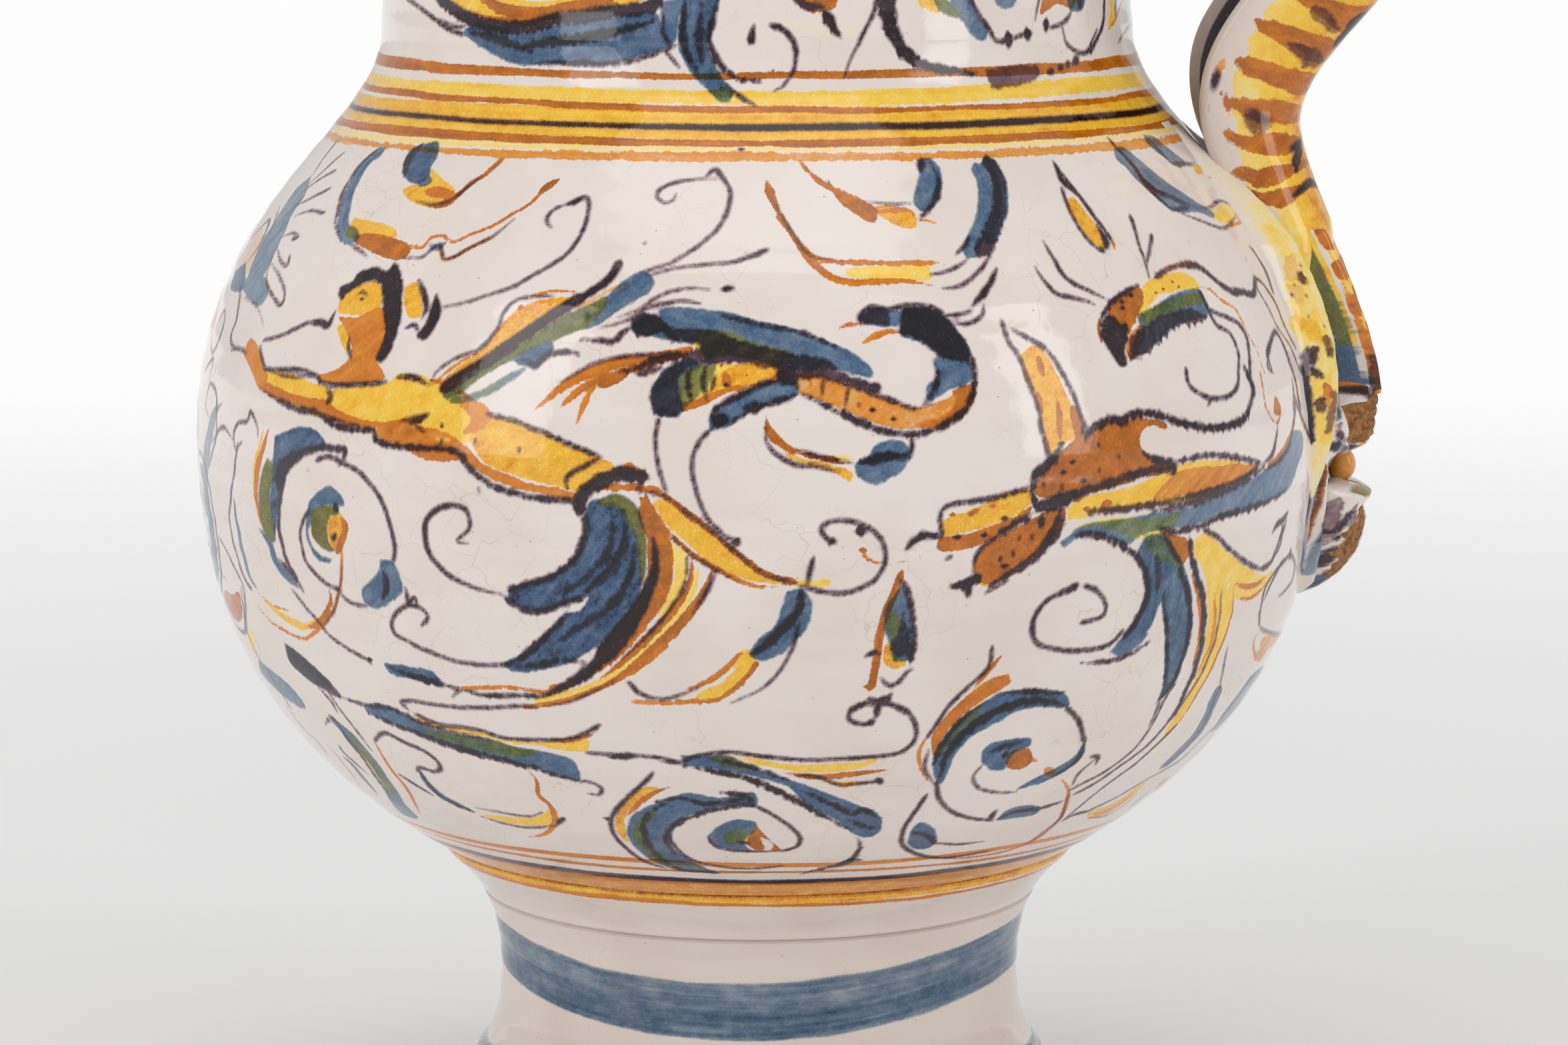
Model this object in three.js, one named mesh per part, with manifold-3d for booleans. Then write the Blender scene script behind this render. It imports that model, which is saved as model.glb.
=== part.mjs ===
import * as THREE from 'three';
import { mergeVertices } from 'three/addons/utils/BufferGeometryUtils.js';
import Module from 'manifold-3d';

// Majolica jug: a thrown belly on a spreading foot, a wide neck with a pinched lip, a channelled
// handle and a moulded mask where the handle's tail runs down the belly.
// Millimetres, +Z up, standing on the table. The handle is on +X and the spout on -X.
// Every piece is one piece of clay as it was thrown, pulled or pressed before it was luted on.

const wasm = await Module();
wasm.setup();

// Joints and walls
const jointGap = 0.3;
const thrownWall = 5;
const floorThickness = 6;
const floorCorner = 3;

// Foot: a thick rounded flange under a short concave flare
const footHeight = 31;
const footRadius = 61.5;
const footEdgeThickness = 16;
const footStandWidth = 8;
const footStandSetback = 3;
const footEdgeRound = 1;
const footEdgeUndercut = 3;
const footSweepReach = 7;
const footSweepRise = 1.5;
const footSweepTop = 8;
const footWaistFlare = 0.6;
const footHollowFlare = 3;
const footHollowRise = 9;

// Stem: a waisted tube, with the seat of the collar ring at its top
const stemHeight = 28.7;
const stemRadius = 45.2;
const stemWaist = 0.7;
const stemWall = 8;
const ringSeatRadius = 46.4;

// Collar ring: a bevelled moulding that hides the joint below the belly
const ringHeight = 9;
const ringOverhang = 7.6;
const ringEdgeThickness = 1.8;
const ringFootLip = 0.9;

// Belly: an ovoid with a concave shoulder
const bellyRadius = 95.4;
const bellyBaseRadius = 55.5;
const bellyRise = 69.7;
const bellyBaseSlope = THREE.MathUtils.degToRad(31);
const bellyBaseFullness = 21;
const bellyLowerFullness = 41;
const shoulderRise = 68;
const shoulderFullness = 39.7;
const shoulderSweep = 16.8;

// Neck and lip
const neckRadius = 63.4;
const neckHeight = 29.7;
const neckTopFlare = 1.2;
const neckWaist = 0.8;
const lipHeight = 27.7;
const lipFlare = 6;
const rimRound = 1.2;
const rimThinning = 1.4;
const spoutReach = 14;
const spoutRise = 8;
const spoutWidth = 0.38;
const pinchDepth = 5;
const pinchAngle = 0.85;
const pinchWidth = 0.3;

// Handle: a roll with a channel on its inner side, and its ear-shaped path
const handleWidth = 25;
const handleDepth = 17;
const handleEdge = 3;
const handleChannel = 8;
const handleReach = 114.5;
const handleShoulderStand = 4.2;
const handleWaistDrop = 14.5;
const handleTopRun = 17;
const handleBulgeRise = 28;
const handleBulgeCurve = 16;
const handleSeatHeight = 10;
const handleSeatSlope = THREE.MathUtils.degToRad(25);
const handleSeatRun = 24;
const handleTailDrop = 42;
const handleTailDepth = 12;
const handleTailStand = 10.4;
const handleTailCurve = 8;
const handleTailNarrowing = 0.1;

// Mask: pressed clay laid on the belly, its heights taken from the belly's widest level
const maskTop = 31;
const mouthTop = -3;
const mouthBottom = -8.5;
const maskBottom = -26.5;
const faceHalfWidth = 12.6;
const faceHeight = 5.2;
const foreheadSwell = 1.6;
const foreheadSpread = 5;
const foreheadDrop = 16;
const browFall = 2;
const eyeLevel = 13.5;
const eyeSpacing = 7.2;
const eyeDepth = 2.6;
const eyeHalfWidth = 3;
const eyeHalfHeight = 4.2;
const cheekLevel = 4;
const cheekSwell = 1;
const cheekSpacing = 8.7;
const cheekHalfWidth = 3;
const cheekHalfHeight = 4;
const leafWidth = 7.5;
const leafHeight = 5.4;
const leafBottom = -4;
const leafTop = 36;
const crestHalfWidth = 10.5;
const crestHeight = 9.9;
const crestTip = 9.2;
const noseHalfWidth = 5.4;
const noseHeight = 10.2;
const chinHalfWidth = 11.6;
const chinHeight = 8.5;
const leafTipWidth = 1;
const crestTipHalf = 1.2;
const noseBridgeHalf = 2.2;
const chinTipHalf = 2.5;
const leafEdge = 0.8;
const crestEdge = 0.6;
const noseEdge = 0.5;
const chinEdge = 0.8;
const tongueRadius = 2.6;
const tongueLevel = -5.7;

// How finely the forms are divided
const turnSteps = 48;
const curveSteps = 9;
const handleSteps = 32;
const handleColumns = 10;
const reliefColumns = 12;

// Levels, from the table up
const stemBase = footHeight + jointGap;
const stemTop = stemBase + stemHeight;
const bellyBase = stemTop + jointGap;
const bellyWidest = bellyBase + bellyRise;
const bellyTop = bellyWidest + shoulderRise;
const neckBase = bellyTop + jointGap;
const neckTop = neckBase + neckHeight;
const lipBase = neckTop + jointGap;
const lipTop = lipBase + lipHeight;

const glaze = new THREE.Color(0xe6dcd5);
const ochre = new THREE.Color(0xe0a028);

function clay(color) {
  return new THREE.MeshStandardMaterial({ color, roughness: 0.25, metalness: 0 });
}

function bell(x, width) {
  return Math.exp(-((x / width) ** 2));
}

// Shared vertices are merged and the slivers at the axis dropped, with the faces turned out
function closedBody(geometry) {
  geometry.deleteAttribute('normal');
  geometry.deleteAttribute('uv');
  const merged = mergeVertices(geometry, 1e-4);
  const place = merged.getAttribute('position');
  const corners = merged.getIndex().array;
  const kept = [];
  let volume = 0;
  const [a, b, c] = [new THREE.Vector3(), new THREE.Vector3(), new THREE.Vector3()];
  for (let i = 0; i < corners.length; i += 3) {
    const [p, q, r] = [corners[i], corners[i + 1], corners[i + 2]];
    if (p === q || q === r || r === p) continue;
    kept.push(p, q, r);
    a.fromBufferAttribute(place, p);
    b.fromBufferAttribute(place, q);
    c.fromBufferAttribute(place, r);
    volume += a.dot(b.cross(c));
  }
  if (volume < 0) kept.reverse();
  merged.setIndex(kept);
  merged.computeVertexNormals();
  return merged;
}

// A profile of (radius, height) points turned about the jug's axis
function turned(profile) {
  const geometry = new THREE.LatheGeometry(profile, turnSteps);
  geometry.rotateX(Math.PI / 2);
  return closedBody(geometry);
}

// The wall between two grids of points with the same rows and columns.
// Where the rows go round the jug, the last one joins the first.
function wallBetween(outer, inner, goesRound = false) {
  const rows = outer.length;
  const columns = outer[0].length;
  const points = [...outer.flat(), ...inner.flat()];
  const at = (layer, row, column) => (layer * rows + (row % rows)) * columns + column;
  const index = [];
  const quad = (p, q, r, s) => index.push(p, q, r, p, r, s);
  const lastRow = goesRound ? rows : rows - 1;
  for (let i = 0; i < lastRow; i++) {
    for (let j = 0; j < columns - 1; j++) {
      quad(at(0, i, j), at(0, i + 1, j), at(0, i + 1, j + 1), at(0, i, j + 1));
      quad(at(1, i, j), at(1, i, j + 1), at(1, i + 1, j + 1), at(1, i + 1, j));
    }
    quad(at(0, i, 0), at(1, i, 0), at(1, i + 1, 0), at(0, i + 1, 0));
    const end = columns - 1;
    quad(at(0, i, end), at(0, i + 1, end), at(1, i + 1, end), at(1, i, end));
  }
  for (let j = 0; j < columns - 1 && !goesRound; j++) {
    quad(at(0, 0, j), at(0, 0, j + 1), at(1, 0, j + 1), at(1, 0, j));
    const end = rows - 1;
    quad(at(0, end, j), at(1, end, j), at(1, end, j + 1), at(0, end, j + 1));
  }
  const geometry = new THREE.BufferGeometry().setFromPoints(points);
  geometry.setIndex(index);
  return closedBody(geometry);
}

function toSolid(geometry) {
  const vertProperties = new Float32Array(geometry.getAttribute('position').array);
  const triVerts = new Uint32Array(geometry.getIndex().array);
  return new wasm.Manifold(new wasm.Mesh({ numProp: 3, vertProperties, triVerts }));
}

function fromSolid(solid) {
  const { vertProperties, triVerts } = solid.getMesh();
  const geometry = new THREE.BufferGeometry();
  geometry.setAttribute('position', new THREE.BufferAttribute(new Float32Array(vertProperties), 3));
  geometry.setIndex([...triVerts]);
  geometry.computeVertexNormals();
  return geometry;
}

// Two curves make the belly's outline, meeting with an upright tangent at its widest level
const bellyLower = new THREE.CubicBezierCurve(
  new THREE.Vector2(bellyBaseRadius, bellyBase),
  new THREE.Vector2(
    bellyBaseRadius + bellyBaseFullness * Math.cos(bellyBaseSlope),
    bellyBase + bellyBaseFullness * Math.sin(bellyBaseSlope),
  ),
  new THREE.Vector2(bellyRadius, bellyWidest - bellyLowerFullness),
  new THREE.Vector2(bellyRadius, bellyWidest),
);
const bellyUpper = new THREE.CubicBezierCurve(
  new THREE.Vector2(bellyRadius, bellyWidest),
  new THREE.Vector2(bellyRadius, bellyWidest + shoulderFullness),
  new THREE.Vector2(neckRadius, bellyTop - shoulderSweep),
  new THREE.Vector2(neckRadius, bellyTop),
);

// Points along the belly's outline, moved inwards, square to it, by the given depth
function bellyOutline(depth, steps) {
  const points = [];
  for (const curve of [bellyLower, bellyUpper]) {
    for (let i = curve === bellyLower ? 0 : 1; i <= steps; i++) {
      const point = curve.getPoint(i / steps);
      const along = curve.getTangent(i / steps);
      points.push(new THREE.Vector2(point.x - along.y * depth, point.y + along.x * depth));
    }
  }
  return points;
}

const fineOutline = bellyOutline(0, 80);

function bellyRadiusAt(height) {
  const above = fineOutline.findIndex((point) => point.y >= height);
  if (above <= 0) return fineOutline[Math.max(above, 0)].x;
  const [low, high] = [fineOutline[above - 1], fineOutline[above]];
  const share = (height - low.y) / (high.y - low.y);
  return THREE.MathUtils.lerp(low.x, high.x, share);
}

function makeFoot() {
  const top = stemRadius;
  const bore = stemRadius - stemWall;
  const standOuter = footRadius - footStandSetback;
  const standInner = standOuter - footStandWidth;
  const profile = new THREE.Path();
  profile.moveTo(standInner, 0);
  profile.lineTo(standOuter, 0);
  profile.bezierCurveTo(
    footRadius, footEdgeThickness * 0.2,
    footRadius + footEdgeRound, footEdgeThickness * 0.75,
    footRadius - footEdgeUndercut, footEdgeThickness,
  );
  profile.bezierCurveTo(
    top + footSweepReach, footEdgeThickness + footSweepRise,
    top + footWaistFlare, footHeight - footSweepTop,
    top, footHeight,
  );
  profile.lineTo(bore, footHeight);
  profile.bezierCurveTo(
    bore + footHollowFlare, footHeight - footHollowRise,
    standInner - footHollowFlare, footHeight * 0.3,
    standInner, 0,
  );
  return turned(profile.getPoints(5));
}

function makeStem() {
  const ringBase = stemTop - ringHeight;
  const bore = stemRadius - stemWall;
  const profile = new THREE.Path();
  profile.moveTo(bore, stemBase);
  profile.lineTo(stemRadius, stemBase);
  profile.bezierCurveTo(
    stemRadius - stemWaist, stemBase + (ringBase - stemBase) * 0.35,
    stemRadius - stemWaist, stemBase + (ringBase - stemBase) * 0.6,
    ringSeatRadius, ringBase,
  );
  profile.lineTo(ringSeatRadius, stemTop);
  profile.lineTo(bore, stemTop);
  profile.lineTo(bore, stemBase);
  return turned(profile.getPoints(4));
}

function makeCollarRing() {
  const bore = ringSeatRadius + jointGap;
  const edge = bore + ringOverhang;
  const base = stemTop - ringHeight;
  const profile = new THREE.Path();
  profile.moveTo(bore, base);
  profile.lineTo(bore + ringFootLip, base + 0.4);
  profile.quadraticCurveTo(
    edge - ringOverhang * 0.35, base + ringHeight * 0.42,
    edge - 0.3, stemTop - ringEdgeThickness,
  );
  profile.quadraticCurveTo(edge + 0.5, stemTop - ringEdgeThickness * 0.4, edge - 0.5, stemTop);
  profile.lineTo(bore, stemTop);
  profile.lineTo(bore, base);
  return turned(profile.getPoints(3));
}

function makeBelly() {
  const inside = bellyOutline(thrownWall, curveSteps)
    .filter((point) => point.y > bellyBase + floorThickness && point.y < bellyTop - 0.5)
    .reverse();
  const profile = [
    new THREE.Vector2(0, bellyBase),
    ...bellyOutline(0, curveSteps),
    new THREE.Vector2(neckRadius - thrownWall, bellyTop),
    ...inside,
    new THREE.Vector2(inside.at(-1).x - floorCorner, bellyBase + floorThickness),
    new THREE.Vector2(0, bellyBase + floorThickness),
  ];
  return turned(profile);
}

function makeNeck() {
  const side = (inset) => new THREE.CubicBezierCurve(
    new THREE.Vector2(neckRadius - inset, neckBase),
    new THREE.Vector2(neckRadius - neckWaist - inset, neckBase + neckHeight * 0.33),
    new THREE.Vector2(neckRadius - neckWaist * 0.3 - inset, neckBase + neckHeight * 0.67),
    new THREE.Vector2(neckRadius + neckTopFlare - inset, neckTop),
  ).getPoints(4);
  const outside = side(0);
  return turned([...outside, ...side(thrownWall).reverse(), outside[0]]);
}

// The lip's outer radius at a share of its height, before the spout is pinched
function lipRadiusAt(share) {
  return neckRadius + neckTopFlare + lipFlare * share ** 2;
}

// The spout bulges out and up on -X, with a pinch on each side of it
function makePouringLip() {
  const rows = 6;
  const outer = [];
  const inner = [];
  for (let i = 0; i < turnSteps; i++) {
    const angle = (i / turnSteps) * Math.PI * 2;
    const fromSpout = Math.abs(angle - Math.PI);
    const spout = bell(fromSpout, spoutWidth);
    const pinch = bell(fromSpout - pinchAngle, pinchWidth);
    const place = (radius, height) => new THREE.Vector3(
      radius * Math.cos(angle), radius * Math.sin(angle), height,
    );
    const outside = [];
    const inside = [];
    for (let j = 0; j <= rows; j++) {
      const share = j / rows;
      const push = spoutReach * spout * share ** 1.6 - pinchDepth * pinch * share ** 2;
      const radius = lipRadiusAt(share) + push;
      const height = lipBase + share * (lipHeight + spoutRise * spout);
      outside.push(place(radius, height));
      inside.push(place(radius - thrownWall + rimThinning * share ** 4, height));
    }
    const rim = outside.at(-1).clone().lerp(inside.at(-1), 0.5);
    rim.z += rimRound;
    outer.push([...outside, rim]);
    inner.push([...inside, rim.clone()]);
  }
  return wallBetween(outer, inner, true);
}

// The handle's middle line in the plane of +X and +Z, from the lip to the mask's forehead
function handlePath() {
  const waistHeight = bellyTop - handleWaistDrop;
  const waist = new THREE.Vector2(
    bellyRadiusAt(waistHeight) + handleShoulderStand + handleDepth / 2, waistHeight,
  );
  const seatShare = handleSeatHeight / lipHeight;
  const seat = new THREE.Vector2(lipRadiusAt(seatShare) - 3, lipBase + handleSeatHeight);
  const bulge = new THREE.Vector2(handleReach - handleDepth / 2, bellyTop + handleBulgeRise);
  const tailHeight = bellyTop - handleTailDrop;
  const tail = new THREE.Vector2(
    bellyRadiusAt(tailHeight) + handleTailStand - handleTailDepth / 2, tailHeight,
  );
  const path = new THREE.CurvePath();
  path.add(new THREE.CubicBezierCurve(
    seat,
    new THREE.Vector2(
      seat.x + handleSeatRun * Math.cos(handleSeatSlope),
      seat.y + handleSeatRun * Math.sin(handleSeatSlope),
    ),
    new THREE.Vector2(bulge.x, bulge.y + handleTopRun),
    bulge,
  ));
  path.add(new THREE.CubicBezierCurve(
    bulge,
    new THREE.Vector2(bulge.x, bulge.y - handleBulgeCurve),
    new THREE.Vector2(waist.x, waist.y + handleBulgeCurve),
    waist,
  ));
  path.add(new THREE.CubicBezierCurve(
    waist,
    new THREE.Vector2(waist.x, waist.y - handleTailCurve),
    new THREE.Vector2(tail.x - handleTailCurve * 0.4, tail.y + handleTailCurve),
    tail,
  ));
  return path;
}

// What a piece luted to the belly and the lip is cut back to
function bodyWithJoint() {
  const offset = [
    new THREE.Vector2(0, bellyBase),
    ...bellyOutline(-jointGap, 40),
    ...[0, 0.25, 0.5, 0.75, 1].map((share) => new THREE.Vector2(
      lipRadiusAt(share) + jointGap, lipBase + share * lipHeight,
    )),
    new THREE.Vector2(0, lipTop),
  ];
  return turned(offset);
}

function makeHandle() {
  const path = handlePath();
  const outer = [];
  const inner = [];
  for (let i = 0; i <= handleSteps; i++) {
    const share = i / handleSteps;
    const middle = path.getPoint(share);
    const along = path.getTangent(share);
    const towardsTail = THREE.MathUtils.smoothstep(share, 0.72, 1);
    const depth = THREE.MathUtils.lerp(handleDepth, handleTailDepth, towardsTail);
    const channel = handleChannel * (1 - 0.6 * towardsTail);
    const half = (handleWidth / 2) * (1 + 0.12 * bell(share, 0.15) - handleTailNarrowing * towardsTail);
    const place = (across, out) => new THREE.Vector3(
      middle.x - along.y * out, across, middle.y + along.x * out,
    );
    const outside = [];
    const inside = [];
    for (let j = 0; j <= handleColumns; j++) {
      const turn = (j / handleColumns - 0.5) * Math.PI;
      const lift = Math.max(Math.cos(turn), 0);
      outside.push(place(half * Math.sin(turn), depth * (lift ** 0.8 - 0.5)));
      const inset = (half - handleEdge) * Math.sin(turn);
      inside.push(place(inset, channel * lift - depth / 2 + 0.6));
    }
    outer.push(outside);
    inner.push(inside);
  }
  const roll = toSolid(wallBetween(outer, inner));
  const below = new THREE.BoxGeometry(handleReach * 2, handleWidth * 2, bellyWidest);
  below.translate(0, 0, bellyWidest / 2 + maskTop + jointGap);
  return fromSolid(roll.subtract(toSolid(bodyWithJoint())).subtract(toSolid(closedBody(below))));
}

// A point on the mask: sideways along the belly, up from its widest level, and out from its skin
function onBelly(across, level, out) {
  const height = bellyWidest + level;
  const radius = bellyRadiusAt(height);
  const angle = across / bellyRadius;
  const reach = radius + jointGap + out;
  return new THREE.Vector3(reach * Math.cos(angle), reach * Math.sin(angle), height);
}

// Pressed clay between a lower and an upper surface, each a height over the belly
function pressed({ bottom, top, rows, left, right, under, over }) {
  const outer = [];
  const inner = [];
  for (let i = 0; i <= rows; i++) {
    const share = i / rows;
    const level = THREE.MathUtils.lerp(bottom, top, share);
    const outside = [];
    const inside = [];
    for (let j = 0; j <= reliefColumns; j++) {
      const side = j / reliefColumns;
      const across = THREE.MathUtils.lerp(left(level), right(level), side);
      outside.push(onBelly(across, level, over(across, level, side, share)));
      inside.push(onBelly(across, level, under(across, level)));
    }
    outer.push(outside);
    inner.push(inside);
  }
  return wallBetween(outer, inner);
}

function faceHalf(level) {
  return faceHalfWidth - browFall * ((level - eyeLevel) / (maskTop - eyeLevel)) ** 2;
}

// Forehead, eye sockets and cheeks, falling to a low edge beside the leaves
function faceOver(across, level) {
  const side = Math.abs(across);
  const half = faceHalf(level);
  const edge = 1 - 0.55 * Math.min(side / half, 1) ** 6;
  const forehead = foreheadSwell * bell(across, foreheadSpread) * bell(level - maskTop, foreheadDrop);
  const socket = eyeDepth * bell(side - eyeSpacing, eyeHalfWidth)
    * bell(level - eyeLevel, eyeHalfHeight);
  const cheek = cheekSwell * bell(side - cheekSpacing, cheekHalfWidth)
    * bell(level - cheekLevel, cheekHalfHeight);
  return (faceHeight + forehead + cheek) * edge - socket;
}

function makeFace() {
  return pressed({
    bottom: mouthTop,
    top: maskTop,
    rows: 16,
    left: (level) => -faceHalf(level),
    right: faceHalf,
    under: () => 0,
    over: faceOver,
  });
}

// The leaf stands beside the face and comes to a point at its lower end
function makeLeaf(sign) {
  const spread = bellyRadius / bellyRadiusAt(bellyWidest + leafTop);
  const tailSide = (handleWidth / 2) * spread + jointGap;
  const inner = (level) => {
    const beside = faceHalf(Math.min(level, maskTop)) + jointGap * 1.5;
    const shift = THREE.MathUtils.smoothstep(level, eyeLevel, maskTop - leafTipWidth);
    return THREE.MathUtils.lerp(beside, Math.max(tailSide, beside), shift);
  };
  const share = (level) => (level - leafBottom) / (leafTop - leafBottom);
  const outer = (level) => inner(level) + leafTipWidth
    + leafWidth * Math.sin(Math.PI * share(level)) ** 0.7;
  const near = (level) => sign * inner(level);
  const far = (level) => sign * outer(level);
  return pressed({
    bottom: leafBottom,
    top: leafTop - jointGap,
    rows: 12,
    left: sign > 0 ? near : far,
    right: sign > 0 ? far : near,
    under: () => 0,
    over: (across, level, side, rise) => {
      const crown = Math.sin(Math.PI * (0.12 + 0.76 * side));
      return leafEdge + leafHeight * crown * Math.sin(Math.PI * (0.06 + 0.88 * rise)) ** 0.5;
    },
  });
}

function makeCrest() {
  const half = (level) => {
    const share = (level - crestTip) / (maskTop - crestTip);
    return crestTipHalf + (crestHalfWidth - crestTipHalf) * Math.max(share, 0) ** 0.8;
  };
  return pressed({
    bottom: crestTip,
    top: maskTop,
    rows: 10,
    left: (level) => -half(level),
    right: half,
    under: (across, level) => faceOver(across, level) + jointGap,
    over: (across, level, side) => {
      const low = faceOver(across, level) + jointGap + crestEdge;
      return Math.max(low, low + (crestHeight - low) * Math.sin(Math.PI * side) ** 0.6);
    },
  });
}

function makeNose() {
  const top = crestTip - jointGap;
  const half = (level) => {
    const share = (top - level) / (top - mouthTop);
    return noseBridgeHalf + (noseHalfWidth - noseBridgeHalf) * Math.sin(Math.PI * 0.62 * share);
  };
  return pressed({
    bottom: mouthTop + 0.4,
    top,
    rows: 8,
    left: (level) => -half(level),
    right: half,
    under: (across, level) => faceOver(across, level) + jointGap,
    over: (across, level, side) => {
      const low = faceOver(across, level) + jointGap + noseEdge;
      return low + (noseHeight - low) * Math.sin(Math.PI * (0.06 + 0.88 * side)) ** 0.7;
    },
  });
}

function makeChin() {
  const share = (level) => (level - maskBottom) / (mouthBottom - maskBottom);
  const half = (level) => chinTipHalf
    + (chinHalfWidth - chinTipHalf) * Math.sin(Math.PI * 0.5 * share(level)) ** 0.8;
  return pressed({
    bottom: maskBottom,
    top: mouthBottom,
    rows: 10,
    left: (level) => -half(level),
    right: half,
    under: () => 0,
    over: (across, level, side, rise) => {
      const crown = Math.sin(Math.PI * (0.08 + 0.84 * side)) ** 0.6;
      return chinEdge + (chinHeight - chinEdge) * crown * Math.sin(Math.PI * (0.03 + 0.62 * rise)) ** 0.6;
    },
  });
}

function makeTongue() {
  const geometry = new THREE.SphereGeometry(tongueRadius, 14, 10);
  const seat = onBelly(0, tongueLevel, tongueRadius);
  geometry.translate(seat.x, seat.y, seat.z);
  return closedBody(geometry);
}

const jug = new THREE.Group();

function add(name, geometry, color) {
  const mesh = new THREE.Mesh(geometry, clay(color));
  mesh.name = name;
  jug.add(mesh);
}

add('foot', makeFoot(), glaze);
add('stem', makeStem(), glaze);
add('collar_ring', makeCollarRing(), ochre);
add('belly', makeBelly(), glaze);
add('neck', makeNeck(), glaze);
add('pouring_lip', makePouringLip(), glaze);
add('handle', makeHandle(), ochre);
add('mask_face', makeFace(), glaze);
add('mask_leaf_near', makeLeaf(-1), ochre);
add('mask_leaf_far', makeLeaf(1), ochre);
add('forehead_crest', makeCrest(), ochre);
add('mask_nose', makeNose(), glaze);
add('mask_chin', makeChin(), glaze);
add('mask_tongue', makeTongue(), ochre);

// The origin is under the middle of the whole jug, handle included
const reach = new THREE.Box3().setFromObject(jug);
jug.position.x = -(reach.min.x + reach.max.x) / 2;
jug.position.y = -(reach.min.y + reach.max.y) / 2;

export default jug;
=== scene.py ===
# Majolica jug: tin-glazed earthenware, thrown belly, neck and foot, channelled handle, pressed mask.
# Lengths here are in millimetres on the jug's own axis, and toMesh turns them into metres.
import math
import bpy
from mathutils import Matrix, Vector
import numpy as np


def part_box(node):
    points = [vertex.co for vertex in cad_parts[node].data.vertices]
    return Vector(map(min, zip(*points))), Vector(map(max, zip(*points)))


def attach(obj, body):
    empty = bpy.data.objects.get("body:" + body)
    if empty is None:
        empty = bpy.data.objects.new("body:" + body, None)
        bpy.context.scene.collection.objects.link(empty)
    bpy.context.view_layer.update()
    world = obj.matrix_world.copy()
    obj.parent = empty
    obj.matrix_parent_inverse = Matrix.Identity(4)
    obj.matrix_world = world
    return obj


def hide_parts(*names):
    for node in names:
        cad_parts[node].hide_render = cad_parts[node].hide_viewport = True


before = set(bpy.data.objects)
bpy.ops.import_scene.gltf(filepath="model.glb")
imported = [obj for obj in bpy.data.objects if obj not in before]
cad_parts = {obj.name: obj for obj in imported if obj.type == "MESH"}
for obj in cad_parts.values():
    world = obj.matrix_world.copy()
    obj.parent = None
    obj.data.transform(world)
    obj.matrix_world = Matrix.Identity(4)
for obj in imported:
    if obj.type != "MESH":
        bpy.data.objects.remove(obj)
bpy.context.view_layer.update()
print("frame loaded")

# What the frame gives: the levels and radii of the thrown pieces
boxes = {name: tuple(np.array(corner) * 1000 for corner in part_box(name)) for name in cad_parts}
axisX = (boxes["belly"][0][0] + boxes["belly"][1][0]) / 2


def level(name, end):
    return boxes[name][end][2]


def radiusOf(name):
    return (boxes[name][1][1] - boxes[name][0][1]) / 2


jug = {
    "bellyRadius": radiusOf("belly"),
    "bellyBase": level("belly", 0),
    "bellyTop": level("belly", 1),
    "bellyBaseRadius": 55.5,
    "bellyRise": 69.7,
    "baseSlope": math.radians(31),
    "baseFullness": 21,
    "lowerFullness": 41,
    "shoulderFullness": 39.7,
    "shoulderSweep": 16.8,
    "neckRadius": 63.4,
    "neckTopFlare": 1.2,
    "neckWaist": 0.8,
    "lipBase": level("pouring_lip", 0),
    "lipHeight": 27.7,
    "lipFlare": 6,
    "wall": 5,
    "floorThickness": 6,
    "lipThinning": 1.4,
}
jug["bellyWidest"] = jug["bellyBase"] + jug["bellyRise"]

# The photograph's camera, fitted to the painted bands: distance, height, tilt and turn
view = {
    "width": 2352,
    "height": 1568,
    "distance": 836,
    "eyeHeight": 233.8,
    "aside": 4.3,
    "tilt": math.radians(8.21),
    "turn": math.radians(6),
    "focalPixels": 7407,
    "jugMiddle": 1140.0,
}


# A point turned about the jug's axis by the camera's turn
def turned(x, y, angle):
    return x * math.cos(angle) - y * math.sin(angle), x * math.sin(angle) + y * math.cos(angle)


def makeCamera():
    data = bpy.data.cameras.new("photoCamera")
    data.sensor_width = 36
    data.lens = data.sensor_width * view["focalPixels"] / view["width"]
    camera = bpy.data.objects.new("photoCamera", data)
    bpy.context.scene.collection.objects.link(camera)
    x, y = turned(view["aside"], -view["distance"], view["turn"])
    camera.location = ((x + axisX) / 1000, y / 1000, view["eyeHeight"] / 1000)
    camera.rotation_euler = (math.pi / 2 - view["tilt"], 0, view["turn"])
    data.clip_start, data.clip_end = 0.01, 20
    bpy.context.scene.camera = camera


makeCamera()


# Pixel places of points, by the camera's own turn and tilt
def toPixels(points):
    x, y = turned(points[..., 0], points[..., 1], -view["turn"])
    x = x - view["aside"]
    y = y + view["distance"]
    z = points[..., 2] - view["eyeHeight"]
    depth = y * math.cos(view["tilt"]) - z * math.sin(view["tilt"])
    rise = y * math.sin(view["tilt"]) + z * math.cos(view["tilt"])
    across = view["width"] / 2 + view["focalPixels"] * x / depth
    down = view["height"] / 2 - view["focalPixels"] * rise / depth
    return np.stack([across, down], axis=-1)


# A cubic curve through its end points a and d, drawn towards b and c
def bezier(a, b, c, d, steps):
    t = np.linspace(0, 1, steps)[:, None]
    a, b, c, d = (np.array(p, float) for p in (a, b, c, d))
    return (1 - t) ** 3 * a + 3 * t * (1 - t) ** 2 * b + 3 * t * t * (1 - t) * c + t ** 3 * d


# How far along a line each of its points is
def runOf(points):
    return np.concatenate([[0], np.cumsum(np.linalg.norm(np.diff(points, axis=0), axis=1))])


# Points spaced evenly along a line of points
def evenly(points, count):
    run = runOf(points)
    places = np.linspace(0, run[-1], count)
    return np.stack([np.interp(places, run, points[:, k]) for k in range(points.shape[1])], axis=1)


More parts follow.
